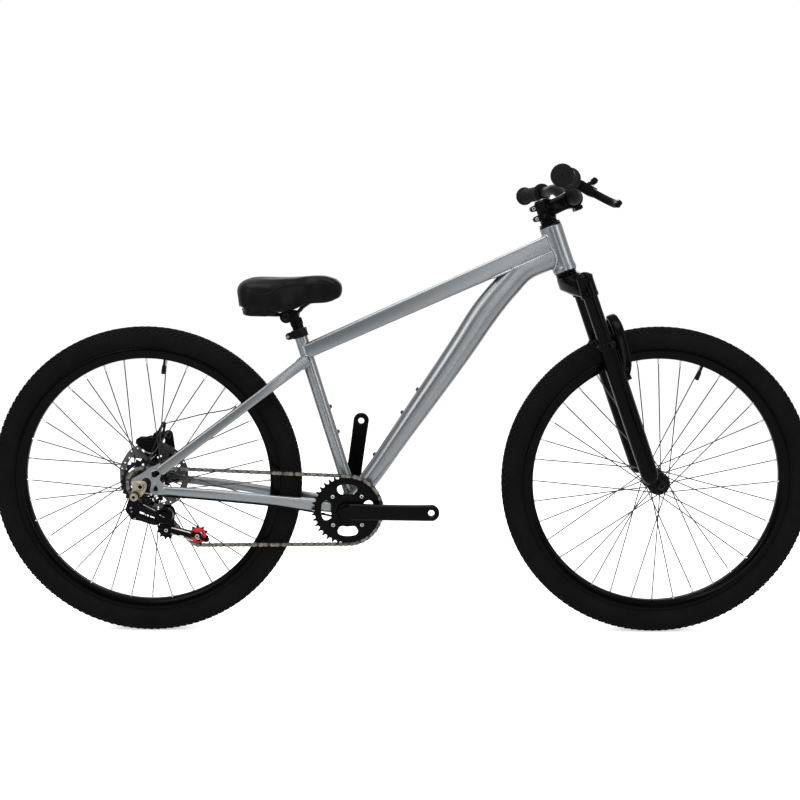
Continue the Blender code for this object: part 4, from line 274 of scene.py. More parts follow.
def makeWearAndHighlightGroup():
    # Rubbed edges and painted edge highlights: a mask that follows convex corners, broken up by noise
    group, start, end = groupOf("edgeWearAndHighlight", {"Place": None, "Amount": 0.5}, ("Mask",))
    corners = addNode(group, "NewGeometry").outputs["Pointiness"]
    edge = addNode(group, "MapRange", {"From Min": 0.53, "From Max": 0.66}, {"Value": corners})
    breakUp = addNode(group, "TexNoise", {"Scale": 120, "Detail": 6}, {"Vector": start["Place"]})
    sharpen = addNode(
        group, "MapRange", {"From Min": 0.38, "From Max": 0.62}, {"Value": breakUp.outputs["Fac"]},
    )
    pair = {0: edge.outputs["Result"], 1: sharpen.outputs["Result"]}
    both = addNode(group, "Math", feeds=pair, operation="MULTIPLY")
    scaled = addNode(group, "Math", feeds={0: both.outputs[0], 1: start["Amount"]}, operation="MULTIPLY")
    group.links.new(scaled.outputs[0], end["Mask"])
    return group


grainGroup = makeGrainGroup()
wearAndHighlightGroup = makeWearAndHighlightGroup()

# name: colour, blotch colour, worn colour with painted edge highlight,
#       wear and painted edge highlight amount, metallic, roughness low and high, coat, specular, grain size,
#       bump
finishTable = {
    "silverPaint": ((0.15, 0.159, 0.165), (0.141, 0.15, 0.156), (0.34, 0.35, 0.36),
                    0.14, 0.86, 0.29, 0.33, 0.06, 0.5, 1800, 0.004),
    "weldSilver": ((0.25, 0.261, 0.27), (0.13, 0.136, 0.141), (0.58, 0.59, 0.6),
                   0.45, 0.84, 0.2, 0.3, 0.1, 0.5, 1500, 0.03),
    "glossBlack": ((0.0008, 0.0008, 0.0009), (0.0012, 0.0012, 0.0013), (0.012, 0.012, 0.013),
                   0.2, 0.0, 0.14, 0.2, 0.0, 0.035, 700, 0.01),
    "mattBlack": ((0.0016, 0.0016, 0.0018), (0.0026, 0.0026, 0.0028), (0.015, 0.015, 0.015),
                  0.25, 0.0, 0.42, 0.56, 0.0, 0.025, 1600, 0.05),
    "blackMetal": ((0.0032, 0.0032, 0.0035), (0.005, 0.005, 0.0054), (0.085, 0.085, 0.09),
                   0.38, 0.25, 0.3, 0.42, 0.0, 0.045, 1500, 0.05),
    "brightSteel": ((0.4, 0.4, 0.395), (0.3, 0.295, 0.29), (0.68, 0.68, 0.67),
                    0.4, 0.95, 0.22, 0.36, 0.0, 0.5, 1300, 0.03),
    "hangerBrass": ((0.27, 0.245, 0.185), (0.2, 0.18, 0.135), (0.6, 0.56, 0.46),
                    0.4, 0.9, 0.26, 0.38, 0.0, 0.5, 1300, 0.04),
    "chainSteel": ((0.07, 0.064, 0.057), (0.036, 0.033, 0.03), (0.26, 0.245, 0.225),
                   0.6, 0.85, 0.28, 0.44, 0.0, 0.4, 900, 0.05),
    "chainDark": ((0.02, 0.018, 0.016), (0.012, 0.011, 0.01), (0.12, 0.11, 0.1),
                  0.5, 0.75, 0.32, 0.5, 0.0, 0.3, 900, 0.05),
    "spokeSteel": ((0.02, 0.02, 0.022), (0.014, 0.014, 0.015), (0.09, 0.09, 0.095),
                   0.3, 0.6, 0.3, 0.4, 0.0, 0.3, 1500, 0.02),
    "discSteel": ((0.085, 0.085, 0.087), (0.055, 0.055, 0.057), (0.26, 0.26, 0.26),
                  0.3, 0.9, 0.28, 0.42, 0.0, 0.5, 1200, 0.05),
    "darkRubber": ((0.0028, 0.0028, 0.003), (0.0046, 0.0045, 0.0044), (0.016, 0.016, 0.016),
                   0.3, 0.0, 0.66, 0.82, 0.0, 0.02, 1100, 0.2),
    "gripRubber": ((0.005, 0.005, 0.0053), (0.0075, 0.0075, 0.0077), (0.019, 0.019, 0.019),
                   0.3, 0.0, 0.6, 0.76, 0.0, 0.03, 1400, 0.22),
    "cableJacket": ((0.0016, 0.0016, 0.0017), (0.0026, 0.0026, 0.0026), (0.016, 0.016, 0.016),
                    0.2, 0.0, 0.34, 0.44, 0.0, 0.03, 1400, 0.05),
    "saddleVinyl": ((0.001, 0.001, 0.0012), (0.0016, 0.0016, 0.0018), (0.01, 0.01, 0.011),
                    0.15, 0.0, 0.34, 0.42, 0.0, 0.06, 900, 0.04),
    "redPlastic": ((0.44, 0.007, 0.011), (0.34, 0.005, 0.008), (0.62, 0.07, 0.06),
                   0.3, 0.0, 0.28, 0.38, 0.1, 0.3, 900, 0.03),
    "charcoalPlastic": ((0.024, 0.025, 0.027), (0.018, 0.019, 0.021), (0.05, 0.05, 0.05),
                        0.3, 0.0, 0.42, 0.55, 0.0, 0.08, 1200, 0.08),
}


def mixColour(tree, mask, low, high):
    mix = addNode(tree, "Mix", feeds={"Factor": mask}, data_type="RGBA")
    for socket, value in ((mix.inputs[6], low), (mix.inputs[7], high)):
        if isinstance(value, tuple):
            socket.default_value = (*value, 1)
        else:
            tree.links.new(value, socket)
    return mix.outputs[2]


def makeFinish(name):
    colour, blotch, wornAndHighlit, wearAndHighlight, metallic, low, high, coat, specular, grainSize, bump = finishTable[name]
    material = bpy.data.materials.new(name)
    material.use_nodes = True
    tree = material.node_tree
    shader = tree.nodes["Principled BSDF"].inputs
    shader["Metallic"].default_value = metallic
    shader["Coat Weight"].default_value = coat
    shader["Coat Roughness"].default_value = 0.12
    shader["Specular IOR Level"].default_value = specular
    place = {"Place": addNode(tree, "TexCoord").outputs["Object"]}
    ends = {"Grain Size": grainSize, "Roughness Low": low, "Roughness High": high}
    grain = addNode(tree, "Group", ends, place, node_tree=grainGroup)
    # Convex edges go towards the lighter worn colour: wear together with a painted edge highlight
    rubbedAndHighlit = addNode(tree, "Group", {"Amount": wearAndHighlight}, place, node_tree=wearAndHighlightGroup)
    base = mixColour(tree, grain.outputs["Blotches"], colour, blotch)
    tree.links.new(mixColour(tree, rubbedAndHighlit.outputs["Mask"], base, wornAndHighlit), shader["Base Color"])
    tree.links.new(grain.outputs["Roughness"], shader["Roughness"])
    relief = addNode(
        tree, "Bump", {"Strength": bump * 4, "Distance": 0.0002}, {"Height": grain.outputs["Height"]},
    )
    tree.links.new(relief.outputs["Normal"], shader["Normal"])
    return material


finishes = {name: makeFinish(name) for name in finishTable}
print("finishes made")


# Shapes
joinWithin = 0.000002  # points closer than this are one
wellOutside = 0.1  # from here a line looks for the near side of a round tube


def settled(shape, place=None, look=0):
    bmesh.ops.remove_doubles(shape, verts=shape.verts, dist=joinWithin)
    bmesh.ops.recalc_face_normals(shape, faces=shape.faces)
    if place is not None:
        bmesh.ops.transform(shape, matrix=place, verts=shape.verts)
    for face in shape.faces:
        face.material_index = look
    return shape


def turned(profile, place, steps=48, ring=False, look=0):
    # Points of (radius, height) spun round local Z
    shape = bmesh.new()
    points = [shape.verts.new((radius, 0, height)) for radius, height in profile]
    edges = [shape.edges.new(pair) for pair in zip(points, points[1:])]
    if ring:
        edges.append(shape.edges.new((points[-1], points[0])))
    bmesh.ops.spin(
        shape, geom=points + edges, axis=(0, 0, 1), cent=(0, 0, 0), angle=2 * pi, steps=steps, use_merge=True,
    )
    return settled(shape, place, look)


def rounded(shape, geom, offset, segments, affect="VERTICES"):
    bmesh.ops.bevel(
        shape, geom=geom, offset=offset, offset_type="OFFSET", segments=segments, profile=0.5, affect=affect,
        material=-1, clamp_overlap=False,
    )


def extruded(shape, edges):
    # The next ring of a tube: its edges and its points
    made = bmesh.ops.extrude_edge_only(shape, edges=edges)["geom"]
    ring = [item for item in made if isinstance(item, bmesh.types.BMEdge) and item.is_boundary]
    return ring, [item for item in made if isinstance(item, bmesh.types.BMVert)]


def firstRing(shape, corner, sides):
    if corner is None:
        bmesh.ops.create_circle(shape, segments=sides, radius=0.5)
        return shape.edges[:]
    corners = bmesh.ops.create_grid(shape, x_segments=1, y_segments=1, size=0.5)["verts"]
    rounded(shape, corners, corner, sides // 4 - 1)
    bmesh.ops.delete(shape, geom=shape.faces[:], context="FACES_ONLY")
    return shape.edges[:]


def lofted(stations, across=left, corner=None, sides=24, look=0, startFit=None, endFit=None, place=None):
    # A closed tube through (point, width, height). corner is how much of the width a corner rounds off
    shape = bmesh.new()
    ring = firstRing(shape, corner, sides)
    before = Matrix.Identity(4)
    points = [Vector(point) for point, _, _ in stations]
    last = len(points) - 1
    rings = []
    for index, (_, width, height) in enumerate(stations):
        run = (points[min(index + 1, last)] - points[max(index - 1, 0)]).normalized()
        wide = (across - run * across.dot(run)).normalized()
        here = placed(points[index], wide, run.cross(wide)) @ Matrix.Diagonal((width, height, 1, 1))
        if index:
            ring, moved = extruded(shape, ring)
        else:
            moved = shape.verts[:]
        bmesh.ops.transform(shape, matrix=here @ before.inverted(), verts=moved)
        before = here
        rings.append((moved, ring))
    for fit, (moved, _), step in ((startFit, rings[0], 1), (endFit, rings[-1], -1)):
        if fit:
            first = 0 if step > 0 else last
            run = (points[first] - points[first + step]).normalized()
            for vert in moved:
                vert.co = fit(vert.co, run)
    for _, edges in (rings[0], rings[-1]):
        bmesh.ops.edgeloop_fill(shape, edges=edges)
    return settled(shape, place, look)


def smoothLine(points, steps):
    # A Catmull-Rom curve through the points, of any number of values each
    points = [Vector(point) for point in points]
    knots = [points[0] * 2 - points[1], *points, points[-1] * 2 - points[-2]]
    line = []
    for a, b, c, d in zip(knots, knots[1:], knots[2:], knots[3:]):
        for step in range(steps):
            t = step / steps
            bend, twist = a * 2 - b * 5 + c * 4 - d, b * 3 - a - c * 3 + d
            line.append((b * 2 + (c - a) * t + bend * t**2 + twist * t**3) / 2)
    return line + [points[-1]]


def smoothStations(stations, steps):
    line = smoothLine([(*point, width, height) for point, width, height in stations], steps)
    return [(value[:3], value[3], value[4]) for value in line]


def swept(points, radius, across=up, sides=16, look=0, place=None):
    radii = radius if isinstance(radius, (list, tuple)) else [radius] * len(points)
    stations = [(point, 2 * size, 2 * size) for point, size in zip(points, radii)]
    return lofted(stations, across, None, sides, look, place=place)


def rod(start, end, radius, sides=24, look=0, endRadius=None, place=None):
    start, end = Vector(start), Vector(end)
    turn = (end - start).to_track_quat("Z", "Y").to_matrix().to_4x4()
    shape = bmesh.new()
    bmesh.ops.create_cone(
        shape, cap_ends=True, segments=sides, radius1=radius,
        radius2=radius if endRadius is None else endRadius, depth=(end - start).length,
        matrix=Matrix.Translation((start + end) / 2) @ turn,
    )
    return settled(shape, place, look)


def circle(radius, count=24, centre=(0, 0), start=0.0):
    return [
        (
            centre[0] + radius * cos(start + 2 * pi * step / count),
            centre[1] + radius * sin(start + 2 * pi * step / count),
        )
        for step in range(count)
    ]


def arc(centre, radius, start, end, count):
    return [
        (centre[0] + radius * cos(start + (end - start) * step / (count - 1)),
         centre[1] + radius * sin(start + (end - start) * step / (count - 1)))
        for step in range(count)
    ]


def capsule(first, second, firstRadius, secondRadius, count=12):
    first, second = Vector(first), Vector(second)
    span = second - first
    heading = atan2(span.y, span.x)
    lean = acos(max(-1, min(1, (firstRadius - secondRadius) / span.length)))
    return arc(second, secondRadius, heading - lean, heading + lean, count) + arc(
        first, firstRadius, heading + lean, heading + 2 * pi - lean, count,
    )


def plate(loops, thickness, place, rounding=0.0, look=0, chamfer=0.0):
    # Flat loops of (x, y), the first one outside and the others holes, as a slab centred on its plane
    shape = bmesh.new()
    for loop in loops:
        corners = [shape.verts.new((x, y, -thickness / 2)) for x, y in loop]
        shape.faces.new(corners)
        if rounding and len(loop) < 12:
            rounded(shape, corners, rounding, 4)
    bmesh.ops.delete(shape, geom=shape.faces[:], context="FACES_ONLY")
    bmesh.ops.triangle_fill(shape, edges=shape.edges[:], use_beauty=True)
    made = bmesh.ops.extrude_face_region(shape, geom=shape.faces[:])["geom"]
    raised = [item for item in made if isinstance(item, bmesh.types.BMVert)]
    bmesh.ops.translate(shape, vec=(0, 0, thickness), verts=raised)
    bmesh.ops.recalc_face_normals(shape, faces=shape.faces)
    if chamfer:
        corner = 0.9  # least turn of an edge that is chamfered, in radians
        rims = [edge for edge in shape.edges if len(edge.link_faces) == 2 and edge.calc_face_angle() > corner
                and abs((edge.verts[0].co - edge.verts[1].co).z) < thickness / 2]
        rounded(shape, rims, chamfer, 1, "EDGES")
    return settled(shape, place, look)


def tower(levels, place, sides=24, look=0):
    # Rings of (radius, height, corners) on local Z. With corners a ring is a polygon, measured to its flats
    shape = bmesh.new()
    ring = bmesh.ops.create_circle(shape, segments=sides, radius=1)["verts"]
    firstEdges = edges = shape.edges[:]
    for index, (radius, height, corners) in enumerate(levels):
        if index:
            edges, ring = extruded(shape, edges)
        for vert in ring:
            turn = atan2(vert.co.y, vert.co.x)
            reach = radius
            if corners:
                reach = radius / cos((turn % (2 * pi / corners)) - pi / corners)
            vert.co = (reach * cos(turn), reach * sin(turn), height)
    bmesh.ops.edgeloop_fill(shape, edges=firstEdges)
    bmesh.ops.edgeloop_fill(shape, edges=edges)
    return settled(shape, place, look)


def socketBolt(place, radius, height, look=0, hole=None):
    # A cap screw's head that stands up local Z, with a hexagon socket whose inside may take a dark finish as
    # painted shade
    socket = radius * 0.52
    head = tower(
        [(radius, 0, 0), (radius, height * 0.84, 0), (radius * 0.9, height, 0), (socket * 1.12, height, 0),
         (socket, height * 0.94, 6), (socket, height * 0.35, 6)],
        Matrix.Identity(4), 24, look,
    )
    for face in head.faces:
        middle = face.calc_center_median()
        if hole is not None and middle.z > height * 0.2 and sqrt(middle.x**2 + middle.y**2) < socket * 1.03:
            face.material_index = hole
    bmesh.ops.transform(head, matrix=place, verts=head.verts)
    return head


def evenly(points, spacing, closed=False):
    # The same line with its points at equal steps
    points = [Vector(point) for point in points]
    if closed:
        points.append(points[0])
    lengths = [(after - before).length for before, after in zip(points, points[1:])]
    total = sum(lengths)
    count = max(4, round(total / spacing))
    line, index, passed = [], 0, 0.0
    for step in range(count):
        want = total * step / count
        while want > passed + lengths[index]:
            passed += lengths[index]
            index += 1
        line.append(points[index].lerp(points[index + 1], (want - passed) / lengths[index]))
    return line if closed else line + [points[-1]]


def weld(points, radius, look=0, pitch=0.0034, closed=True):
    # A bead of overlapping scallops along a line
    fine = 0.0009  # from one ring of the bead to the next
    line = evenly(points, fine, closed)
    count = len(line)
    scallops = max(6, round(count * fine / pitch))
    shape = bmesh.new()
    bmesh.ops.create_circle(shape, segments=8, radius=1)
    firstEdges = ring = shape.edges[:]
    before = Matrix.Identity(4)
    for step, point in enumerate(line):
        if closed:
            run = (line[(step + 1) % count] - line[step - 1]).normalized()
        else:
            run = (line[min(step + 1, count - 1)] - line[max(step - 1, 0)]).normalized()
        phase = (step / count * scallops) % 1
        size = radius * (0.62 + 0.38 * sqrt(max(0.0, 1 - (2 * phase - 1) ** 2)))
        side = (run.orthogonal() if step == 0 else sideBefore - run * sideBefore.dot(run)).normalized()
        sideBefore = side
        here = placed(point, side, run.cross(side)) @ Matrix.Diagonal((size, size, 1, 1))
        if step:
            ring, moved = extruded(shape, ring)
        else:
            moved = shape.verts[:]
        bmesh.ops.transform(shape, matrix=here @ before.inverted(), verts=moved)
        before = here
    if closed:
        bmesh.ops.bridge_loops(shape, edges=firstEdges + ring)
    else:
        bmesh.ops.edgeloop_fill(shape, edges=firstEdges)
        bmesh.ops.edgeloop_fill(shape, edges=ring)
    return settled(shape, None, look)


def onCylinder(point, run, centre, axis, radius):
    # Where a line meets a round tube first, or where it passes closest
    offset = point - centre
    offset = offset - axis * offset.dot(axis)
    flat = run - axis * run.dot(axis)
    a, b, c = flat.dot(flat), offset.dot(flat), offset.dot(offset) - radius**2
    return point + run * ((-b - sqrt(max(b * b - a * c, 0))) / a)


def fitTo(centre, axis, radius):
    return lambda point, run: onCylinder(point - run * wellOutside, run, centre, axis, radius)


def mirroredLine(half):
    # Stations from the left side to the middle, carried on to the right side
    return half + [((x, -y, z), *sizes) for (x, y, z), *sizes in reversed(half[:-1])]


def loopOf(station, run, across, corner, sides):
    # The points of a loft's section in order round it
    shape = bmesh.new()
    firstRing(shape, corner, sides)
    point, width, height = station
    wide = (across - run * across.dot(run)).normalized()
    here = placed(Vector(point), wide, run.cross(wide)) @ Matrix.Diagonal((width, height, 1, 1))
    bmesh.ops.transform(shape, matrix=here, verts=shape.verts)
    walk = [shape.verts[:][0]]
    while len(walk) < len(shape.verts):
        for edge in walk[-1].link_edges:
            other = edge.other_vert(walk[-1])
            if other not in walk[-2:]:
                walk.append(other)
                break
    points = [vert.co.copy() for vert in walk]
    shape.free()
    return points


def build(name, body, shapes, looks, nodes=(), sharp=35):
    # One piece of several shapes, which rides a body, stands for CAD nodes and shows the given finishes
    mesh = bpy.data.meshes.new(name)
    whole = bmesh.new()
    for shape in shapes:
        part = bpy.data.meshes.new("shape")
        shape.to_mesh(part)
        shape.free()
        whole.from_mesh(part)
        bpy.data.meshes.remove(part)
    whole.to_mesh(mesh)
    whole.free()
    for look in looks:
        mesh.materials.append(finishes[look])
    mesh.shade_smooth()
    mesh.set_sharp_from_angle(angle=radians(sharp))
    piece = bpy.data.objects.new(name, mesh)
    scene.collection.objects.link(piece)
    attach(piece, body)
    if nodes:
        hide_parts(*nodes)
    return piece


def silverPiece(name, shape, node, sharp=35):
    build(name, "frame", [shape], ["silverPaint"], [node], sharp)


# The frame's tubes
tubes = {
    "headRadius": 0.0245, "headBore": 0.0205, "ringRadius": 0.0261, "ringHeight": 0.009, "seatRadius": 0.0143,
    "seatBore": 0.0128, "shellRadius": 0.0205, "shellWidth": 0.073, "shellBore": 0.0175, "topWidth": 0.036,
    "topSeatHeight": 0.033, "topHeadHeight": 0.04, "topCorner": 0.17, "downCorner": 0.4,
}
topStart = seatTop - seatUp * 0.048
topEnd = headTop - steerUp * 0.033
downEnd = headFoot + steerUp * 0.04
downRise = 0.0446
dropoutAt = 0.0708  # from the middle to a dropout
hands = (("Left", 1), ("Right", -1))


def headTube():
    half = headHalf
    r, ring, tall = tubes["headRadius"], tubes["ringRadius"], tubes["ringHeight"]
    profile = [
        (tubes["headBore"], half), (r - 0.0006, half), (r, half - 0.0008), (r, 0.03), (r - 0.0003, 0.0),
        (r, tall + 0.006 - half), (ring - 0.0004, tall - half), (ring, tall - 0.0012 - half),
        (ring, 0.001 - half), (ring - 0.0008, -half), (tubes["headBore"], -half),
    ]
    silverPiece("headTube", turned(profile, steering, 72, ring=True), "head_tube")


def topTube():
    low, high, wide = tubes["topSeatHeight"], tubes["topHeadHeight"], tubes["topWidth"]
    stations = []
    for step in range(9):
        share = step / 8
        stations.append((topStart.lerp(topEnd, share), wide + 0.002 * share**3, low + (high - low) * share))
    shape = lofted(
        stations, left, tubes["topCorner"], 24, startFit=fitTo(seatFoot, seatUp, tubes["seatRadius"] - 0.001),
        endFit=fitTo(headMiddle, steerUp, tubes["headBore"] + 0.002),
    )
    silverPiece("topTube", shape, "top_tube", 60)
    return stations


def downStations():
    span = downEnd - bracket
    rise = Vector((-span.z, 0, span.x)).normalized() * downRise
    table = [
        (0, 0, 0.054, 0.04), (0.133, 0.1, 0.054, 0.0427), (0.25, 0.27, 0.052, 0.0453),
        (0.367, 0.43, 0.05, 0.0496), (0.482, 0.58, 0.048, 0.0533), (0.597, 0.75, 0.046, 0.0569),
        (0.705, 0.95, 0.045, 0.06), (0.774, 1, 0.044, 0.059), (0.829, 0.97, 0.043, 0.057),
        (0.905, 0.84, 0.042, 0.056), (1, 0, 0.042, 0.056),
    ]
    return [(bracket + span * share + rise * lift, wide, tall) for share, lift, wide, tall in table]


def downTube():
    stations = smoothStations(downStations(), 7)
    shape = lofted(
        stations, left, tubes["downCorner"], 40, startFit=fitTo(bracket, left, tubes["shellRadius"] - 0.001),
        endFit=fitTo(headMiddle, steerUp, tubes["headBore"] + 0.002),
    )
    silverPiece("downTube", shape, "down_tube", 60)
    return stations


def seatTube():
    r, bore, foot = tubes["seatRadius"], tubes["seatBore"], -places["seatTube"] + 0.0165
    profile = [(bore, 0), (r, 0), (r, foot), (bore, foot)]
    silverPiece("seatTube", turned(profile, seatLine, 48, ring=True), "seat_tube")


def bracketShell():
    half, r, bore = tubes["shellWidth"] / 2, tubes["shellRadius"], tubes["shellBore"]
    profile = [
        (bore, half), (r - 0.0006, half), (r, half - 0.0006), (r, -half + 0.0006), (r - 0.0006, -half),
        (bore, -half),
    ]
    silverPiece("bracketShell", turned(profile, sideways(bracket), 56, ring=True), "bottom_bracket_shell")


def chainstayStations(way):
    start = bracket + Vector((-0.012, 0, 0.002))
    end = rearAxle + Vector((0.05, 0, -0.0105))
    span = end - start
    table = [
        (0, 0.025, 0, 0.016, 0.028), (0.2, 0.033, 0, 0.016, 0.026), (0.42, 0.043, 0.002, 0.0144, 0.021),
        (0.7, 0.058, 0.003, 0.016, 0.021), (1, dropoutAt - 0.001, 0, 0.0128, 0.018),
    ]
    return [
        (start + span * share + left * way * out + up * lift, wide, tall)
        for share, out, lift, wide, tall in table
    ]


def seatstayLine():
    foot = rearAxle + Vector((0.042, 0, 0.033))
    return foot, seatTop - seatUp * 0.065 - foot


def seatstayStations(way):
    foot, span = seatstayLine()
    table = [
        (0, dropoutAt - 0.001, 0.012, 0.022), (0.2, 0.065, 0.012, 0.021), (0.55, 0.052, 0.012, 0.02),
        (0.8, 0.039, 0.012, 0.021), (1, 0.02, 0.013, 0.024),
    ]
    return [(foot + span * share + left * way * out, wide, tall) for share, out, wide, tall in table]


def stays():
    for hand, way in hands:
        chain = lofted(
            smoothStations(chainstayStations(way), 7), left, 0.36, 32,
            startFit=fitTo(bracket, left, tubes["shellRadius"] - 0.001),
        )
        silverPiece(f"chainstay{hand}", chain, f"chainstay_{hand.lower()}", 60)
        seat = lofted(smoothStations(seatstayStations(way), 7), left, 0.24, 24)
        silverPiece(f"seatstay{hand}", seat, f"seatstay_{hand.lower()}", 60)
    foot, span = seatstayLine()
    for name, at, radius, node in (
        ("seatstayBridge", foot + span * 0.885, 0.0065, "seatstay_bridge"),
        ("chainstayBridge", bracket + Vector((-0.072, 0, 0.007)), 0.0075, "chainstay_bridge"),
    ):
        profile = [
            (0, 0.03), (radius, 0.03), (radius, 0.022), (radius * 0.9, 0), (radius, -0.022), (radius, -0.03),
            (0, -0.03),
        ]
        silverPiece(name, turned(profile, sideways(at), 32), node)


headTube()
topStations = topTube()
downLine = downTube()
seatTube()
bracketShell()
stays()
print("frame tubes made")


# Wheels
wheels = {
    "bead": 0.292, "flange": 0.0055, "rimDepth": 0.0175, "rimHalf": 0.0135, "rimWall": 0.0017, "steps": 144,
    "spokes": 18, "spokeRadius": 0.0013, "crossing": 60, "stagger": 0.0013, "rimOffset": 0.0025,
    "valveAngle": {"front": 69.5, "rear": 81.0}, "nippleLength": 0.013, "nippleRadii": (0.0021, 0.0025),
}
tread = {
    "knobsRound": 140, "taper": 0.8,
    # casing radius, distance from the middle, lean in degrees, length, width and height of a knob
    "rows": [
        (0.3444, 0.0, 0, 0.0088, 0.005, 0.0016), (0.3441, 0.0072, 9, 0.0078, 0.0042, 0.0019),
        (0.3421, 0.0132, 28, 0.008, 0.0044, 0.0026), (0.3384, 0.0184, 44, 0.0078, 0.004, 0.0027),
        (0.3336, 0.0222, 58, 0.007, 0.003, 0.0022),
    ],
}


def mirroredProfile(half):
    return half + [(radius, -height) for radius, height in reversed(half) if height]


def tyreCasing():
    outer = [
        (0.293, 0.0113), (0.2974, 0.0113), (0.2984, 0.0142), (0.3003, 0.017), (0.3022, 0.0188),
        (0.3034, 0.0206), (0.3043, 0.0208), (0.3052, 0.0214), (0.3085, 0.0234), (0.313, 0.0251),
        (0.3175, 0.0259), (0.322, 0.0257), (0.3268, 0.0248), (0.331, 0.0235), (0.3348, 0.0213),
        (0.3385, 0.0183), (0.3412, 0.0147), (0.3431, 0.0105), (0.3441, 0.006), (0.3444, 0),
    ]
    inner = [(0.3385, 0), (0.335, 0.012), (0.3175, 0.0215), (0.302, 0.0135), (0.293, 0.0085)]
    far = [(radius, -height) for radius, height in reversed(outer[:-1])]
    return outer + far + [(radius, -height) for radius, height in reversed(inner)] + inner[1:]


def knob(shape, place, size, taper):
    made = bmesh.ops.create_cube(shape, size=1)["verts"]
    for vert in made:
        narrow = taper if vert.co.z > 0 else 1
        vert.co = (
            vert.co.x * size[0] * narrow, vert.co.y * size[1] * narrow, (vert.co.z + 0.5) * size[2] - 0.0006,
        )
    bmesh.ops.transform(shape, matrix=place, verts=made)


def treadKnobs(centre):
    shape = bmesh.new()
    pitch = 2 * pi / tread["knobsRound"]
    for row, (radius, offset, lean, *size) in enumerate(tread["rows"]):
        for way in (1, -1) if offset else (1,):
            for index in range(tread["knobsRound"]):
                turn = Matrix.Rotation((index + 0.5 * (row % 2)) * pitch, 4, "Z")
                knob(
                    shape, centre @ outward(turn, radius, way * offset, way * radians(lean)), size,
                    tread["taper"],
                )
    return settled(shape)


def outward(turn, radius, offset, lean):
    # Local Z away from the tyre, local X along its run
    away = Vector((cos(lean), 0, sin(lean)))
    return turn @ placed(Vector((radius, 0, offset)), left, away.cross(left))


def tyre(name, body, axle, node):
    centre = sideways(axle)
    casing = turned(tyreCasing(), centre, wheels["steps"], ring=True)
    build(name, body, [casing], ["darkRubber"], [node], sharp=50)
    build(name + "Knobs", body, [treadKnobs(centre)], ["darkRubber"], (), sharp=20)


def rim(name, body, axle, node, valveAngle):
    bead, half, inner = wheels["bead"], wheels["rimHalf"], wheels["bead"] - wheels["rimDepth"]
    top, wall = bead + wheels["flange"], wheels["rimWall"]
    profile = mirroredProfile([
        (inner, 0.003), (inner + 0.0003, 0.0056), (inner + 0.0014, 0.0078), (inner + 0.006, 0.0104),
        (inner + 0.0125, 0.0123), (top - 0.006, half - 0.0004), (top - 0.001, half), (top, half - 0.0005),
        (top, half - wall + 0.0002), (top - 0.0006, half - wall), (bead - 0.0003, half - wall),
    ])
    centre = sideways(axle)
    shapes = [turned(profile, centre, wheels["steps"], ring=True)]
    stem = centre @ Matrix.Rotation(radians(valveAngle), 4, "Z") @ placed((inner + 0.003, 0, 0), left, up)
    shapes.append(tower(
        [(0.0045, 0, 0), (0.0045, 0.0022, 0), (0.003, 0.003, 0), (0.003, 0.016, 0), (0.0042, 0.0166, 0),
         (0.0044, 0.0215, 0), (0.0044, 0.033, 0), (0.0036, 0.035, 0), (0.0014, 0.0355, 0)],
        stem @ halfTurn, 20, 1,
    ))
    build(name, body, shapes, ["glossBlack", "gripRubber"], [node])


def spokeEnds(way, flangeAt, pinRadius, shift, index):
    # Half of a side's spokes lean forwards and half back
    lean = 1 if index % 2 else -1
    hubAngle = 2 * pi * index / wheels["spokes"] + shift
    rimAngle = hubAngle + lean * radians(wheels["crossing"])
    reach = wheels["bead"] - wheels["rimDepth"] + 0.001
    start = Vector((pinRadius * cos(hubAngle), pinRadius * sin(hubAngle), way * flangeAt))
    end = Vector((reach * cos(rimAngle), reach * sin(rimAngle), way * wheels["rimOffset"]))
    for point in (start, end):
        point.z += lean * wheels["stagger"] * way
    return start, end, lean * way


def spokes(flanges, pinRadius, centre):
    shapes = []
    thin, (slim, thick) = wheels["spokeRadius"], wheels["nippleRadii"]
    for way, flangeAt, shift in flanges:
        for index in range(wheels["spokes"]):
            start, end, outside = spokeEnds(way, flangeAt, pinRadius, shift, index)
            run = (end - start).normalized()
            shapes.append(rod(start, end, thin, 8, 1, place=centre))
            nipple = end - run * wheels["nippleLength"]
            shapes.append(rod(nipple, end, slim, 8, 2, endRadius=thick, place=centre))
            head = start + Vector((0, 0, outside * 0.0024))
            shapes.append(rod(
                head - Vector((0, 0, outside * 0.0042)), head, 0.0012, 8, 1, endRadius=0.0019, place=centre,
            ))
    return shapes


def hub(name, body, axle, node, half, bore, flangeRadius, barrel, drive, far):
    thick = 0.0023
    profile = []
    for way, (flangeAt, shoulder, shoulderEnd) in ((1, drive), (-1, far)):
        side = [
            (bore, half), (bore + 0.0038, half), (bore + 0.0044, half - 0.0006),
            (shoulder - 0.0006, shoulderEnd), (shoulder, shoulderEnd - 0.0006),
            (shoulder, flangeAt + thick + 0.003), (shoulder + 0.002, flangeAt + thick),
            (flangeRadius - 0.0008, flangeAt + thick), (flangeRadius, flangeAt + thick - 0.0008),
            (flangeRadius, flangeAt - thick + 0.0008), (flangeRadius - 0.0008, flangeAt - thick),
            (barrel + 0.004, flangeAt - thick - 0.001), (barrel + 0.001, flangeAt - thick - 0.004),
            (barrel, flangeAt - thick - 0.008),
        ]
        side = [(radius, way * height) for radius, height in side]
        profile += side[::way]
    centre = sideways(axle)
    flanges = ((1, drive[0], 0), (-1, far[0], pi / wheels["spokes"]))
    shapes = [turned(profile, centre, 56, ring=True)] + spokes(flanges, flangeRadius - 0.003, centre)
    build(name, body, shapes, ["blackMetal", "spokeSteel", "brightSteel"], [node])


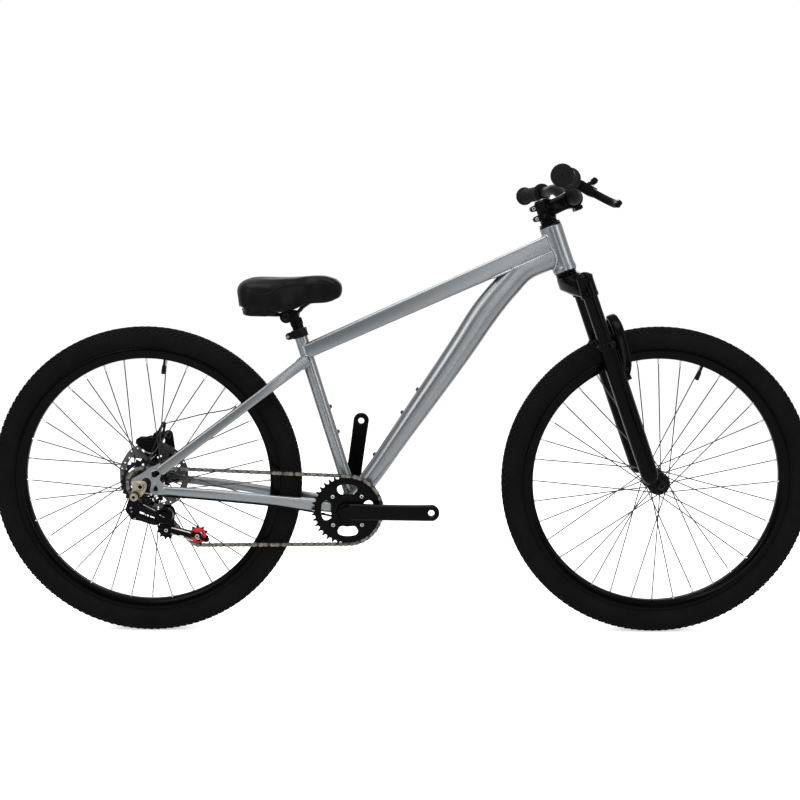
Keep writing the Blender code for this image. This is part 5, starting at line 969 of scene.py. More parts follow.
def makeWheels():
    for hand, body, axle in (("front", "front_wheel", frontAxle), ("rear", "rear_wheel", rearAxle)):
        tyre(hand + "Tyre", body, axle, hand + "_tyre")
        rim(hand + "Rim", body, axle, hand + "_rim", wheels["valveAngle"][hand])
    frontSide = (0.034, 0.0125, 0.042)
    hub(
        "frontHub", "front_wheel", frontAxle, "front_hub", 0.0497, 0.0048, 0.0255, 0.0135, frontSide,
        frontSide,
    )
    driveSide, brakeSide = (0.021, 0.0155, 0.0505), (0.033, 0.0182, 0.0535)
    hub("rearHub", "rear_wheel", rearAxle, "rear_hub", 0.0672, 0.0053, 0.0285, 0.016, driveSide, brakeSide)


discSizes = {
    "radius": 0.08, "thickness": 0.0018, "at": 0.0515, "bore": 0.0185, "trackInside": 0.0655, "slots": 30,
}


def brakeRotor():
    track, windows = discSizes["trackInside"], []
    for index in range(6):
        at = pi / 3 * index
        windows.append([
            (0.03 * cos(at), 0.03 * sin(at)), (0.047 * cos(at + 0.1), 0.047 * sin(at + 0.1)),
            *arc((0, 0), track, at + 0.36, at + 0.96, 6), (0.049 * cos(at + 0.86), 0.049 * sin(at + 0.86)),
            (0.03 * cos(at + 0.66), 0.03 * sin(at + 0.66)),
        ])
    for index in range(discSizes["slots"]):
        at = 2 * pi * index / discSizes["slots"]
        middle = track + 0.0035 + 0.0032 * (index % 3)
        spot = (middle * cos(at), middle * sin(at))
        windows.append(circle(0.0018, 8, spot))
    scallops = []
    for index in range(96):
        turn = 2 * pi * index / 96
        reach = discSizes["radius"] - 0.0012 * (0.5 + 0.5 * cos(turn * 12))
        scallops.append((reach * cos(turn), reach * sin(turn)))
    at = sideways(rearAxle + left * discSizes["at"])
    shapes = [plate(
        [scallops, circle(discSizes["bore"], 40), *windows], discSizes["thickness"], at, chamfer=0.0002,
    )]
    for index in range(6):
        turn = pi / 3 * index + 0.12
        spot = at @ shifted(0.0235 * cos(turn), 0.0235 * sin(turn), -discSizes["thickness"] / 2)
        shapes.append(socketBolt(spot @ halfTurn, 0.0036, 0.0018, 1))
    build(
        "brakeRotor", "rear_wheel", shapes, ["discSteel", "brightSteel"], ["brake_rotor"], sharp=30,
    )


makeWheels()
brakeRotor()
print("wheels made")


# Welds and bottle bosses
beads = {
    "radius": 0.0034, "pitch": 0.0052, "sunk": 0.0006, "stayRadius": 0.0019, "longRadius": 0.0028,
    "longPitch": 0.0046,
}


def tubeSeam(stations, corner, centre, axis, radius, atEnd=False):
    # A bead where a tube's section, carried along its run, meets a round tube
    place, width, height = stations[-1 if atEnd else 0]
    other = stations[-2 if atEnd else 1][0]
    run = (Vector(place) - Vector(other)).normalized()
    section = loopOf((place, width, height), run, left, corner, 40)
    seam = [
        onCylinder(point - run * wellOutside, run, centre, axis, radius - beads["sunk"]) for point in section
    ]
    return weld(seam, beads["radius"], pitch=beads["pitch"])


def frameWelds():
    seatR, headR, shellR = tubes["seatRadius"], tubes["headRadius"], tubes["shellRadius"]
    seams = [
        tubeSeam(topStations, tubes["topCorner"], headMiddle, steerUp, headR, True),
        tubeSeam(topStations, tubes["topCorner"], seatFoot, seatUp, seatR),
        tubeSeam(downLine, tubes["downCorner"], headMiddle, steerUp, headR, True),
        tubeSeam(downLine, tubes["downCorner"], bracket, left, shellR),
    ]
    seatLineStations = [(seatTop, 2 * seatR, 2 * seatR), (seatFoot + seatUp * 0.03, 2 * seatR, 2 * seatR)]
    seams.append(tubeSeam(seatLineStations, None, bracket, left, shellR, True))
    for way in (1, -1):
        stay = smoothStations(chainstayStations(way), 7)
        seams.append(tubeSeam(stay, 0.36, bracket, left, shellR))
        seat = smoothStations(seatstayStations(way), 7)
        # The stay runs past the side of the seat tube
        run = seatstayLine()[1].normalized()
        middle = Vector(seat[-1][0]) - run * 0.012
        side = [
            middle + run * (0.02 * cos(turn)) + run.cross(left) * (0.0125 * sin(turn)) - left * way * 0.0008
            for turn in [2 * pi * step / 24 for step in range(24)]
        ]
        seams.append(weld(side, beads["stayRadius"], pitch=beads["pitch"]))
        # The long seam between the top tube's lower edge and the down tube
        line = []
        for step in range(17):
            share = 0.735 + 0.25 * step / 16
            point = topStart.lerp(topEnd, share)
            run = (topEnd - topStart).normalized()
            below = left.cross(run).normalized()
            below = below if below.z < 0 else -below
            half = (tubes["topSeatHeight"] + (tubes["topHeadHeight"] - tubes["topSeatHeight"]) * share) / 2
            line.append(point + below * (half - 0.001) + left * way * (tubes["topWidth"] / 2 + 0.0008))
        seams.append(weld(line, beads["longRadius"], pitch=beads["longPitch"], closed=False))
    build("frameWelds", "frame", seams, ["weldSilver"], (), sharp=60)


bosses = {
    "downTube": [(0.0395, 0.549), (0.0045, 0.498), (-0.0575, 0.403)],
    "seatTube": [(-0.1595, 0.513), (-0.1445, 0.456)], "baseRadius": 0.0058, "headRadius": 0.004,
}


def boss(place):
    base, head = bosses["baseRadius"], bosses["headRadius"]
    return [
        tower([(base, -0.004, 0), (base, 0.0008, 0), (base - 0.0012, 0.002, 0)], place, 24, 0),
        socketBolt(place @ shifted(0, 0, 0.0018), head, 0.003, 1),
    ]


def nearestOn(line, point):
    # The nearest place on a line of stations, with the direction of the line there
    best = min(range(len(line)), key=lambda index: (Vector(line[index][0]) - point).length)
    low, high = max(best - 1, 0), min(best + 1, len(line) - 1)
    run = (Vector(line[high][0]) - Vector(line[low][0])).normalized()
    start = Vector(line[low][0])
    return start + run * (point - start).dot(run), run, line[best][2]


def bottleBosses():
    shapes = []
    for x, z in bosses["downTube"]:
        middle, run, tall = nearestOn(downLine, Vector((x, 0, z)))
        away = left.cross(run).normalized()
        away = away if away.z > 0 else -away
        shapes += boss(upright(middle + away * (tall / 2 - 0.0002), away))
    for x, z in bosses["seatTube"]:
        along = (Vector((x, 0, z)) - seatFoot).dot(seatUp)
        shapes += boss(upright(
            seatFoot + seatUp * along + seatAhead * (tubes["seatRadius"] - 0.0002), seatAhead,
        ))
    build("bottleBosses", "frame", shapes, ["silverPaint", "blackMetal"], ())


# Dropouts, hanger, axles and cups. Places are (ahead, up) from the axle
dropouts = {
    "thickness": 0.006, "slot": 0.0053,
    "hole": [
        (0.024, 0.0195), (0.0318, 0.0182), (0.0415, 0.0258), (0.0412, 0.0305), (0.0352, 0.0355),
        (0.0228, 0.0315),
    ],
    "recess": [(0.024, -0.014), (0.038, -0.014), (0.0395, -0.004), (0.0312, 0.005), (0.0228, -0.004)],
}


def dropoutEdge():
    slot = dropouts["slot"]
    return [
        (-0.021, 0.015), (-0.0115, 0.0208), (0.0, 0.027), (0.008, 0.0328), (0.016, 0.039), (0.023, 0.0424),
        (0.03, 0.045), (0.04, 0.05), (0.047, 0.0425), (0.052, 0.034), (0.0445, 0.026), (0.0405, 0.017),
        (0.0415, 0.011), (0.046, 0.006), (0.0515, 0.0027), (0.058, 0.001), (0.056, -0.02), (0.038, -0.0198),
        (0.02, -0.019), (0.002, -0.0162), (-0.014, -0.013), (-0.0165, -0.0095), (-0.017, -slot),
        *arc((0.008, 0), slot, -pi / 2, pi / 2, 14), (-0.021, slot),
    ]


def smaller(loop, amount):
    middle = Vector((sum(x for x, _ in loop) / len(loop), sum(y for _, y in loop) / len(loop)))
    return [tuple(Vector(point) + (middle - Vector(point)).normalized() * amount) for point in loop]


def dropout(hand, way):
    centre = sideways(rearAxle + left * way * dropoutAt)
    outside = -way  # local Z runs towards the chain side
    face = dropouts["thickness"] / 2
    edge, hole, recess = dropoutEdge(), dropouts["hole"], dropouts["recess"]
    core = centre @ shifted(0, 0, -outside * 0.001)
    skin = centre @ shifted(0, 0, outside * (face - 0.001))
    shapes = [
        plate([edge, hole], dropouts["thickness"] - 0.002, core, 0.0014, 0, 0.0005),
        plate([edge, hole, recess], 0.002, skin, 0.0014, 0, 0.0005),
        # The dark plate inside the recess is painted shade
        plate([smaller(recess, 0.0036)], 0.0016, skin @ shifted(0, 0, -outside * 0.0004), 0.0012, 1, 0.0003),
    ]
    for x, y, radius in ((0.044, 0.0385, 0.0024), (0.05, -0.0045, 0.0022), (0.0515, -0.015, 0.0022)):
        spot = centre @ shifted(x, y, outside * face) @ flipped(outside)
        shapes.append(socketBolt(spot, radius, 0.0012, 2))
    for loop in (hole, recess):
        lip = evenly([Vector((x, y, outside * face)) for x, y in smaller(loop, -0.001)], 0.0015, closed=True)
        shapes.append(swept(lip + lip[:1], 0.001, up, 8, 0, centre))
    if outside > 0:
        # A thin dark plate on the outer face round the axle slot's end is painted shade
        shadedOpening = [
            (0.001, 0.013), (0.0075, 0.0182), (0.015, 0.0186), (0.0208, 0.014), (0.0222, 0.005),
            (0.0196, -0.004), (0.0192, -0.012), (0.0205, -0.016), (0.007, -0.0162), (0.005, -0.002),
        ]
        shapes.append(plate([shadedOpening], 0.0008, centre @ shifted(0, 0, face), 0.002, 1, 0.0002))
        ringBolt = centre @ shifted(0.0124, 0.0078, face + 0.0004)
        shapes.append(turned(
            [
                (0.0001, 0.0002), (0.0022, 0.0002), (0.0026, 0.0016), (0.0058, 0.0018), (0.0062, 0.001),
                (0.007, 0.001), (0.0074, 0.0018), (0.0088, 0.0014), (0.009, 0.0), (0.0001, 0.0),
            ],
            ringBolt, 36, look=3,
        ))
    # A raised lip along the lower edge
    lip = [
        Vector((x, y + 0.0016, outside * face))
        for x, y in ((0.05, -0.0195), (0.02, -0.0185), (-0.011, -0.013))
    ]
    shapes.append(swept(evenly(lip, 0.006), 0.0011, up, 12, 0, centre))
    build(
        f"dropout{hand}", "frame", shapes, ["silverPaint", "mattBlack", "brightSteel", "blackMetal"],
        [f"dropout_{hand.lower()}"], sharp=30,
    )


def axleNut(centre, face, way, radius, shaft):
    place = centre @ shifted(0, 0, way * face) @ flipped(way)
    cap = tower(
        [
            (shaft, -0.004, 0), (radius * 1.2, 0, 0), (radius * 1.2, 0.0012, 0), (radius * 1.05, 0.0018, 0),
            (radius, 0.0022, 0), (radius * 0.96, 0.0056, 0), (radius * 0.84, 0.007, 0), (shaft, 0.0072, 0),
            (shaft * 0.84, 0.0068, 4), (shaft * 0.84, 0.003, 4),
        ],
        place, 32, 0,
    )
    # The second tower is a dark plug in the square recess: painted shade
    return [
        cap,
        tower([(shaft * 0.83, 0.0032, 4), (shaft * 0.82, 0.0058, 4), (shaft * 0.6, 0.006, 4)], place, 32, 1),
    ]


def axles():
    rear = sideways(rearAxle)
    shapes = [rod((0, 0, -0.0745), (0, 0, 0.0745), 0.0048, 24, place=rear),
              *axleNut(rear, 0.0771, 1, 0.0085, 0.005), *axleNut(rear, 0.0741, -1, 0.0085, 0.005)]
    build("rearAxle", "frame", shapes, ["hangerBrass", "mattBlack"], ["rear_axle"])
    front = sideways(frontAxle)
    shapes = [rod((0, 0, -0.059), (0, 0, 0.059), 0.0043, 24, place=front),
              *axleNut(front, 0.0586, 1, 0.0075, 0.0045), *axleNut(front, 0.0586, -1, 0.0075, 0.0045)]
    build("frontAxle", "fork_lowers", shapes, ["blackMetal", "mattBlack"], ["front_axle"])


def hanger():
    edge = [
        (-0.022, 0.0105), (-0.012, 0.0122), (0.004, 0.0122), (0.0102, 0.0095), (0.0127, 0.0045),
        (0.0122, -0.003), (0.0095, -0.01), (0.005, -0.0175), (0.0006, -0.0222), (-0.006, -0.0255),
        (-0.012, -0.0257), (-0.0172, -0.0238), (-0.0208, -0.0195), (-0.0218, -0.015), (-0.0205, -0.01),
        (-0.0186, -0.006),
    ]
    centre = sideways(rearAxle - left * (dropoutAt + 0.0048))
    shapes = [plate([edge, circle(0.0055, 28)], 0.003, centre, 0.001, 0, 0.0004)]
    shapes.append(socketBolt(centre @ shifted(-0.0165, 0.0055, 0.0015), 0.0024, 0.001, 1))
    build(
        "hanger", "frame", shapes, ["hangerBrass", "brightSteel"], ["derailleur_hanger"],
        sharp=30,
    )


def bracketCups():
    for hand, way in hands:
        profile = [
            (0.0089, 0.0043), (0.012, 0.0043), (0.0124, 0.0036), (0.0165, 0.0036), (0.017, 0.0042),
            (0.0184, 0.0042), (0.019, 0.0036), (0.0196, 0.0003), (0.0171, 0.0003), (0.0171, -0.014),
            (0.0089, -0.014),
        ]
        place = sideways(bracket + left * way * 0.0365) @ flipped(-way)
        build(f"bracketCup{hand}", "frame", [turned(profile, place, 48, ring=True)], ["blackMetal"],
              [f"bottom_bracket_cup_{hand.lower()}"])


def seatClamp():
    half, bore, outside = 0.0095, 0.0148, 0.018
    # The collar lies low enough for its lip to sit on the tube's end
    centre = seatLine @ shifted(0, 0, -(half - 0.0043))
    profile = [
        (bore, half - 0.004), (0.0137, half - 0.004), (0.0137, half - 0.0005), (0.0142, half),
        (outside - 0.0012, half), (outside - 0.0004, half - 0.0004), (outside, half - 0.0014),
        (outside, half - 0.004), (outside - 0.0005, half - 0.0046), (outside - 0.0005, -half + 0.0032),
        (outside, -half + 0.0026), (outside, -half + 0.0006), (outside - 0.0008, -half), (bore, -half),
    ]
    shapes = [turned(profile, centre, 56, ring=True)]
    for way in (1, -1):
        ear = centre @ shifted(-0.0236, way * 0.0044, 0) @ quarterTurn
        outline = [
            (0.009, -0.0078), (0.009, 0.0078), (-0.004, 0.0078), (-0.0082, 0.004), (-0.0082, -0.004),
            (-0.004, -0.0078),
        ]
        shapes.append(plate([outline], 0.007, ear, 0.0016, 0, 0.0006))
    bolt = centre @ shifted(-0.0268, 0, 0) @ quarterTurn
    shapes.append(rod((0, 0, -0.011), (0, 0, 0.011), 0.003, 20, 1, place=bolt))
    shapes.append(socketBolt(bolt @ shifted(0, 0, 0.0078), 0.0036, 0.003, 1, 0))
    shapes.append(tower(
        [(0.0044, 0, 6), (0.0044, 0.0034, 6), (0.003, 0.004, 0), (0.0016, 0.0044, 0)],
        bolt @ shifted(0, 0, -0.0078) @ halfTurn, 24, 1,
    ))
    build("seatClamp", "frame", shapes, ["blackMetal", "brightSteel"], ["seat_clamp"])


def headset():
    for name, node, way in (
        ("headsetUpperCup", "headset_upper_cup", 1), ("headsetLowerCup", "headset_lower_cup", -1),
    ):
        profile = [
            (0.015, 0.0049), (0.0218, 0.0049), (0.0226, 0.0044), (0.0236, 0.003), (0.024, 0.0022),
            (0.0242, 0.001), (0.0241, 0.0003), (0.0202, 0.0003), (0.0199, -0.012), (0.015, -0.012),
        ]
        place = steering @ shifted(0, 0, way * headHalf) @ flipped(way)
        build(name, "frame", [turned(profile, place, 56, ring=True)], ["blackMetal"], [node])


frameWelds()
bottleBosses()
dropout("Left", 1)
dropout("Right", -1)
axles()
hanger()
bracketCups()
seatClamp()
headset()
print("welds, dropouts and fittings made")


# Chain and toothed wheels
drive = {
    "pitch": 0.0127, "line": 0.046, "ring": 38, "cog": 18, "pulley": 11, "guard": 26, "guardIn": 0.0068,
    "roller": 0.0038, "thickness": 0.0019, "toothHeight": 0.0034, "plateEnd": 0.0041, "plateWaist": 0.0031,
    "plateThick": 0.0009, "outerAt": 0.003, "innerAt": 0.0019, "rollerHalf": 0.00145, "pinHalf": 0.0037,
    "pinRadius": 0.0017,
}


def flat(point):
    return Vector((point.x, point.z))


guideAt = Vector((-0.52129, 0.24307))
tensionAt = Vector((-0.45253, 0.22974))
chainPlane = sideways(Vector((0, -drive["line"], 0)))


def onPlane(point, turn=0.0, depth=0.0):
    # A place in the chain's plane, turned, and so far outside it on the chain side
    return chainPlane @ shifted(point[0], point[1], depth) @ Matrix.Rotation(turn, 4, "Z")


def pitchRadius(teeth):
    return drive["pitch"] / (2 * sin(pi / teeth))


def tangent(first, second):
    # The straight run from one wheel to the next. Sense 1 is anticlockwise
    (centre, radius, sense), (nextCentre, nextRadius, nextSense) = first, second
    span = nextCentre - centre
    offset = nextSense * nextRadius - sense * radius
    heading = atan2(span.y, span.x) - atan2(offset, sqrt(span.length_squared - offset**2))
    aside = Vector((-sin(heading), cos(heading)))
    return centre - aside * sense * radius, nextCentre - aside * nextSense * nextRadius


def chainSpans():
    wheelsOnChain = [
        (flat(bracket), pitchRadius(drive["ring"]), 1), (flat(rearAxle), pitchRadius(drive["cog"]), 1),
        (guideAt, pitchRadius(drive["pulley"]), -1), (tensionAt, pitchRadius(drive["pulley"]), 1),
    ]
    runs = [tangent(wheelsOnChain[i], wheelsOnChain[(i + 1) % 4]) for i in range(4)]
    spans = []
    for i, (leave, meet) in enumerate(runs):
        centre, radius, sense = wheelsOnChain[(i + 1) % 4]
        away = runs[(i + 1) % 4][0]
        start = atan2(*(meet - centre).yx)
        sweep = (sense * (atan2(*(away - centre).yx) - start)) % (2 * pi)
        spans.append((leave, meet, (meet - leave).length))
        spans.append((centre, (radius, start, sense), radius * sweep))
    return spans


def alongSpans(spans, distance):
    distance %= sum(span[2] for span in spans)
    for start, end, length in spans:
        if distance <= length:
            if isinstance(end, tuple):
                radius, turn, sense = end
                turn += sense * distance / radius
                return start + Vector((cos(turn), sin(turn))) * radius
            return start.lerp(end, distance / length)
        distance -= length
    return spans[0][0]


def chainPins():
    spans = chainSpans()
    count = 2 * round(sum(span[2] for span in spans) / drive["pitch"] / 2)
    places, distance = [], 0.0
    for _ in range(count):
        here = alongSpans(spans, distance)
        places.append(here)
        step = drive["pitch"]
        for _ in range(4):
            step += drive["pitch"] - (alongSpans(spans, distance + step) - here).length
        distance += step
    return places


def phaseOn(centre, pins, teeth):
    pin = min(pins, key=lambda point: abs((point - centre).length - pitchRadius(teeth)))
    return atan2(pin.y - centre.y, pin.x - centre.x)


def chain(pins):
    half, nose, waist = drive["pitch"] / 2, drive["plateEnd"], drive["plateWaist"]
    link = [
        *arc((half, 0), nose, -1.9, 1.9, 6), (0, waist), *arc((-half, 0), nose, pi - 1.9, pi + 1.9, 6),
        (0, -waist),
    ]
    shapes = []
    for index, here in enumerate(pins):
        after = pins[(index + 1) % len(pins)]
        middle, run = (here + after) / 2, after - here
        outer = index % 2 == 0
        for way in (1, -1):
            depth = way * drive["outerAt" if outer else "innerAt"]
            place = onPlane(middle, atan2(run.y, run.x), depth)
            shapes.append(plate([link], drive["plateThick"], place, look=1 if outer else 0))
        for radius, long, sides, look in (("roller", "rollerHalf", 10, 0), ("pinRadius", "pinHalf", 8, 1)):
            end = (0, 0, drive[long])
            shapes.append(rod((0, 0, -drive[long]), end, drive[radius], sides, look, place=onPlane(here)))
    build("chain", "frame", shapes, ["chainDark", "chainSteel"], ["chain"])


def toothEdge(teeth, phase, tall=drive["toothHeight"]):
    # Round gaps with a roller over each, and teeth between them that end in a small flat
    pitch, radius = 2 * pi / teeth, pitchRadius(teeth)
    points = []
    for index in range(teeth):
        gap = phase + index * pitch
        points += [
            (
                radius * cos(gap) + 0.0042 * cos(gap + pi + lean),
                radius * sin(gap) + 0.0042 * sin(gap + pi + lean),
            )
            for lean in (0.95, 0.5, 0, -0.5, -0.95)
        ]
        for reach, width in (
            (radius + tall * 0.85, -0.0015), (radius + tall, 0), (radius + tall * 0.85, 0.0015),
        ):
            turn = gap + pitch / 2 + width / reach
            points.append((reach * cos(turn), reach * sin(turn)))
    return points


def ringWindow(inside, outside, middle, half, soft=0.002, steps=8):
    # A window between two radii with round corners
    outer, inner = half - soft / (outside - soft), half - soft / (inside + soft)

    def corner(reach, turn, start):
        centre = (reach * cos(turn), reach * sin(turn))
        return arc(centre, soft, start, start + pi / 2, 4)

    return (
        arc((0, 0), outside, middle - outer, middle + outer, steps)[1:-1]
        + corner(outside - soft, middle + outer, middle + outer)
        + corner(inside + soft, middle + inner, middle + inner + pi / 2)
        + arc((0, 0), inside, middle + inner, middle - inner, steps)[1:-1]
        + corner(inside + soft, middle - inner, middle - inner + pi)
        + corner(outside - soft, middle - outer, middle - outer - pi / 2)
    )


def rearSprocket(pins):
    centre = flat(rearAxle)
    phase = phaseOn(centre, pins, drive["cog"])
    place = onPlane(centre)
    windows = [ringWindow(0.0252, 0.0302, 2 * pi * k / 6, 0.36, 0.0014, 5) for k in range(6)]
    shapes = [plate(
        [toothEdge(drive["cog"], phase), circle(0.0225, 40), *windows], drive["thickness"], place, look=0,
        chamfer=0.0003,
    )]
    guardRadius, teeth = pitchRadius(drive["guard"]), drive["guard"]
    edge = []
    for index in range(teeth):
        for share, reach in ((0.0, 0.0), (0.25, -0.003), (0.5, 0.0), (0.75, 0.003)):
            turn = 2 * pi * (index + share) / teeth
            edge.append(((guardRadius + reach) * cos(turn), (guardRadius + reach) * sin(turn)))
    guardWindows = [ringWindow(0.0285, 0.044, 2 * pi * k / 5, 0.45, 0.003, 8) for k in range(5)]
    shapes.append(plate(
        [edge, circle(0.0225, 40), *guardWindows], 0.0016, onPlane(centre, 0, -drive["guardIn"]), look=1,
        chamfer=0.0003,
    ))
    carrier = [
        (0.0159, 0.0035), (0.0205, 0.0035), (0.0215, 0.003), (0.0224, 0.0014), (0.0232, 0.001),
        (0.0232, -0.0102), (0.0226, -0.0108), (0.0159, -0.0108),
    ]
    shapes.append(turned(carrier, place, 48, ring=True, look=1))
    for k in range(8):
        notch = onPlane(centre, 2 * pi * k / 8)
        shapes.append(rod((0.0194, 0, 0.003), (0.0194, 0, 0.004), 0.0014, 10, 2, place=notch))
    build(
        "rearSprocket", "rear_sprocket", shapes, ["chainDark", "blackMetal", "brightSteel"],
        ["rear_sprocket"], sharp=30,
    )


cranks = {
    "rightTurn": 0.5, "leftTurn": 82, "ringBore": 0.0225, "windowIn": 0.037, "windowOut": 0.0585,
    "windowHalf": 0.46, "boltCircle": 0.045, "spiderAt": 0.05025, "eyeAt": 0.185, "thick": 0.0136,
    "eyeRadius": 0.0178,
    # Along the arm: place, distance from the middle of the bicycle, half the height
    "line": [(-0.006, 0.0622, 0.0176), (0.02, 0.0626, 0.0182), (0.034, 0.0642, 0.018), (0.05, 0.0665, 0.0176),
             (0.07, 0.0692, 0.0173), (0.095, 0.0722, 0.0171), (0.12, 0.0746, 0.017), (0.15, 0.0768, 0.0171),
             (0.175, 0.0777, 0.0174)],
}


def chainring(pins):
    centre = flat(bracket)
    teeth, turn = drive["ring"], radians(cranks["rightTurn"])
    edge = toothEdge(teeth, phaseOn(centre, pins, teeth))
    windows = [
        ringWindow(
            cranks["windowIn"], cranks["windowOut"], turn + k * pi / 2, cranks["windowHalf"], 0.0088, 12,
        )
        for k in range(4)
    ]
    shapes = [plate(
        [edge, circle(cranks["ringBore"], 48), *windows], drive["thickness"], onPlane(centre), 0, 0, 0.0003,
    )]
    # A thicker web inside the teeth, and a pressed line near its edge
    body = [circle(pitchRadius(teeth) - 0.007, 96), circle(cranks["ringBore"], 48), *windows]
    shapes.append(plate(body, 0.0034, onPlane(centre), 0, 0, 0.0006))
    rim = pitchRadius(teeth) - 0.0098
    groove = [
        (rim, 0.0016), (rim, 0.0022), (rim - 0.0012, 0.0025), (rim - 0.0024, 0.0022), (rim - 0.0024, 0.0016),
    ]
    shapes.append(turned(groove, onPlane(centre), 96, ring=True, look=0))
    build("chainring", "cranks", shapes, ["glossBlack"], ["chainring"], sharp=30)


def crankArm(hand, way):
    turn = radians(cranks["rightTurn"] if hand == "Right" else cranks["leftTurn"])
    place = sideways(bracket, turn)
    line, eye = cranks["line"], cranks["eyeAt"]
    edge = [(x, y) for x, _, y in line] + arc((eye, 0), cranks["eyeRadius"], radians(80), radians(-80), 21)
    edge += [(x, -y) for x, _, y in reversed(line)] + arc((0, 0), 0.0185, radians(-110), radians(-250), 15)
    arm = plate([edge, circle(0.0071, 28, (eye, 0))], cranks["thick"], Matrix.Identity(4), 0, 0, 0.0028)
    for x, _, _ in line[1:]:
        bmesh.ops.bisect_plane(
            arm, geom=arm.verts[:] + arm.edges[:] + arm.faces[:], plane_co=(x, 0, 0), plane_no=(1, 0, 0),
            dist=0.00001,
        )
    for vert in arm.verts:
        # The arm leans outward along its line
        x = min(max(vert.co.x, line[0][0]), eye)
        index = max(i for i in range(len(line)) if line[i][0] <= x)
        low = line[index]
        high = line[index + 1] if index + 1 < len(line) else (eye + 0.001, low[1], 0)
        share = (x - low[0]) / (high[0] - low[0])
        vert.co.z = vert.co.z - way * (low[1] + (high[1] - low[1]) * share)
    shapes = [settled(arm, place)]
    flip = flipped(-way)
    boss = [
        (0.0001, 0.0518), (0.015, 0.0518), (0.019, 0.0524), (0.019, 0.0672), (0.0184, 0.0684),
        (0.0168, 0.0692), (0.0118, 0.0695), (0.0112, 0.0691), (0.0108, 0.0672), (0.0001, 0.0672),
    ]
    shapes.append(turned(boss, place @ flip, 48))
    shapes.append(socketBolt(place @ flip @ shifted(0, 0, 0.067), 0.0096, 0.0016, 1))
    inside = [(0.0071, 0.073), (0.0078, 0.0727), (0.0078, 0.0829), (0.0071, 0.0826)]
    shapes.append(turned(inside, place @ shifted(cranks["eyeAt"], 0, 0) @ flip, 32, ring=True, look=1))
    if way < 0:
        # The spider and its bolts
        outline = []
        for k in range(4):
            middle = pi / 4 + k * pi / 2
            tip = (cranks["boltCircle"] * cos(middle), cranks["boltCircle"] * sin(middle))
            outline += arc(tip, 0.0072, middle - pi / 2, middle + pi / 2, 9)
            outline += arc((0, 0), 0.0335, middle + 0.36, middle + pi / 2 - 0.36, 9)
        at = place @ shifted(0, 0, cranks["spiderAt"])
        shapes.append(plate([outline], 0.0036, at, 0, 0, 0.0007))
        shapes.append(turned(
            [
                (0.0001, 0.0015), (0.0235, 0.0015), (0.0222, 0.004), (0.0205, 0.008), (0.0198, 0.0118),
                (0.0001, 0.0118),
            ],
            at, 48,
        ))
        for k in range(4):
            middle = pi / 4 + k * pi / 2
            spot = at @ shifted(
                cranks["boltCircle"] * cos(middle), cranks["boltCircle"] * sin(middle), 0.0016,
            )
            shapes.append(socketBolt(spot, 0.004, 0.0018, 2, 1))
            shapes.append(rod((0, 0, -0.009), (0, 0, -0.001), 0.0046, 20, 1, place=spot))
    build(
        f"crankArm{hand}", "cranks", shapes, ["glossBlack", "blackMetal", "brightSteel"],
        [f"crank_arm_{hand.lower()}"], sharp=32,
    )


def spindle():
    place = sideways(bracket)
    shapes = [rod((0, 0, -0.066), (0, 0, 0.066), 0.0084, 32, place=place)]
    for way in (1, -1):
        flip = flipped(way)
        shapes.append(turned(
            [(0.0084, 0.0412), (0.012, 0.0412), (0.0132, 0.0418), (0.0132, 0.0512), (0.0084, 0.0512)],
            place @ flip, 32, ring=True, look=1,
        ))
    build("spindle", "cranks", shapes, ["brightSteel", "blackMetal"], ["crank_spindle"])


# Tensioner. Places are (ahead, up) from the rear axle
tensioner = {
    "bolt": (-0.0135, -0.0215), "knuckle": (-0.02, -0.05), "housing": (0.0498, -0.0652),
    "body": [
        (-0.008, -0.041), (0.01, -0.047), (0.036, -0.0555), (0.04, -0.084), (0.03, -0.0865), (0.01, -0.0805),
        (-0.004, -0.0755), (-0.02, -0.0745), (-0.027, -0.066), (-0.028, -0.052), (-0.02, -0.042),
    ],
    "slots": [
        ((0.001, -0.059), 0.003, 0.0032), ((0.012, -0.064), 0.0022, 0.0028),
        ((0.0232, -0.068), 0.004, 0.0022),
    ],
    "lean": -0.34,
}


def besideAxle(across, point=(0, 0), turn=0.0):
    # A place beside the rear axle, so far to the left of the bicycle's middle
    return sideways(Vector((rearAxle.x + point[0], across, rearAxle.z + point[1])), turn)


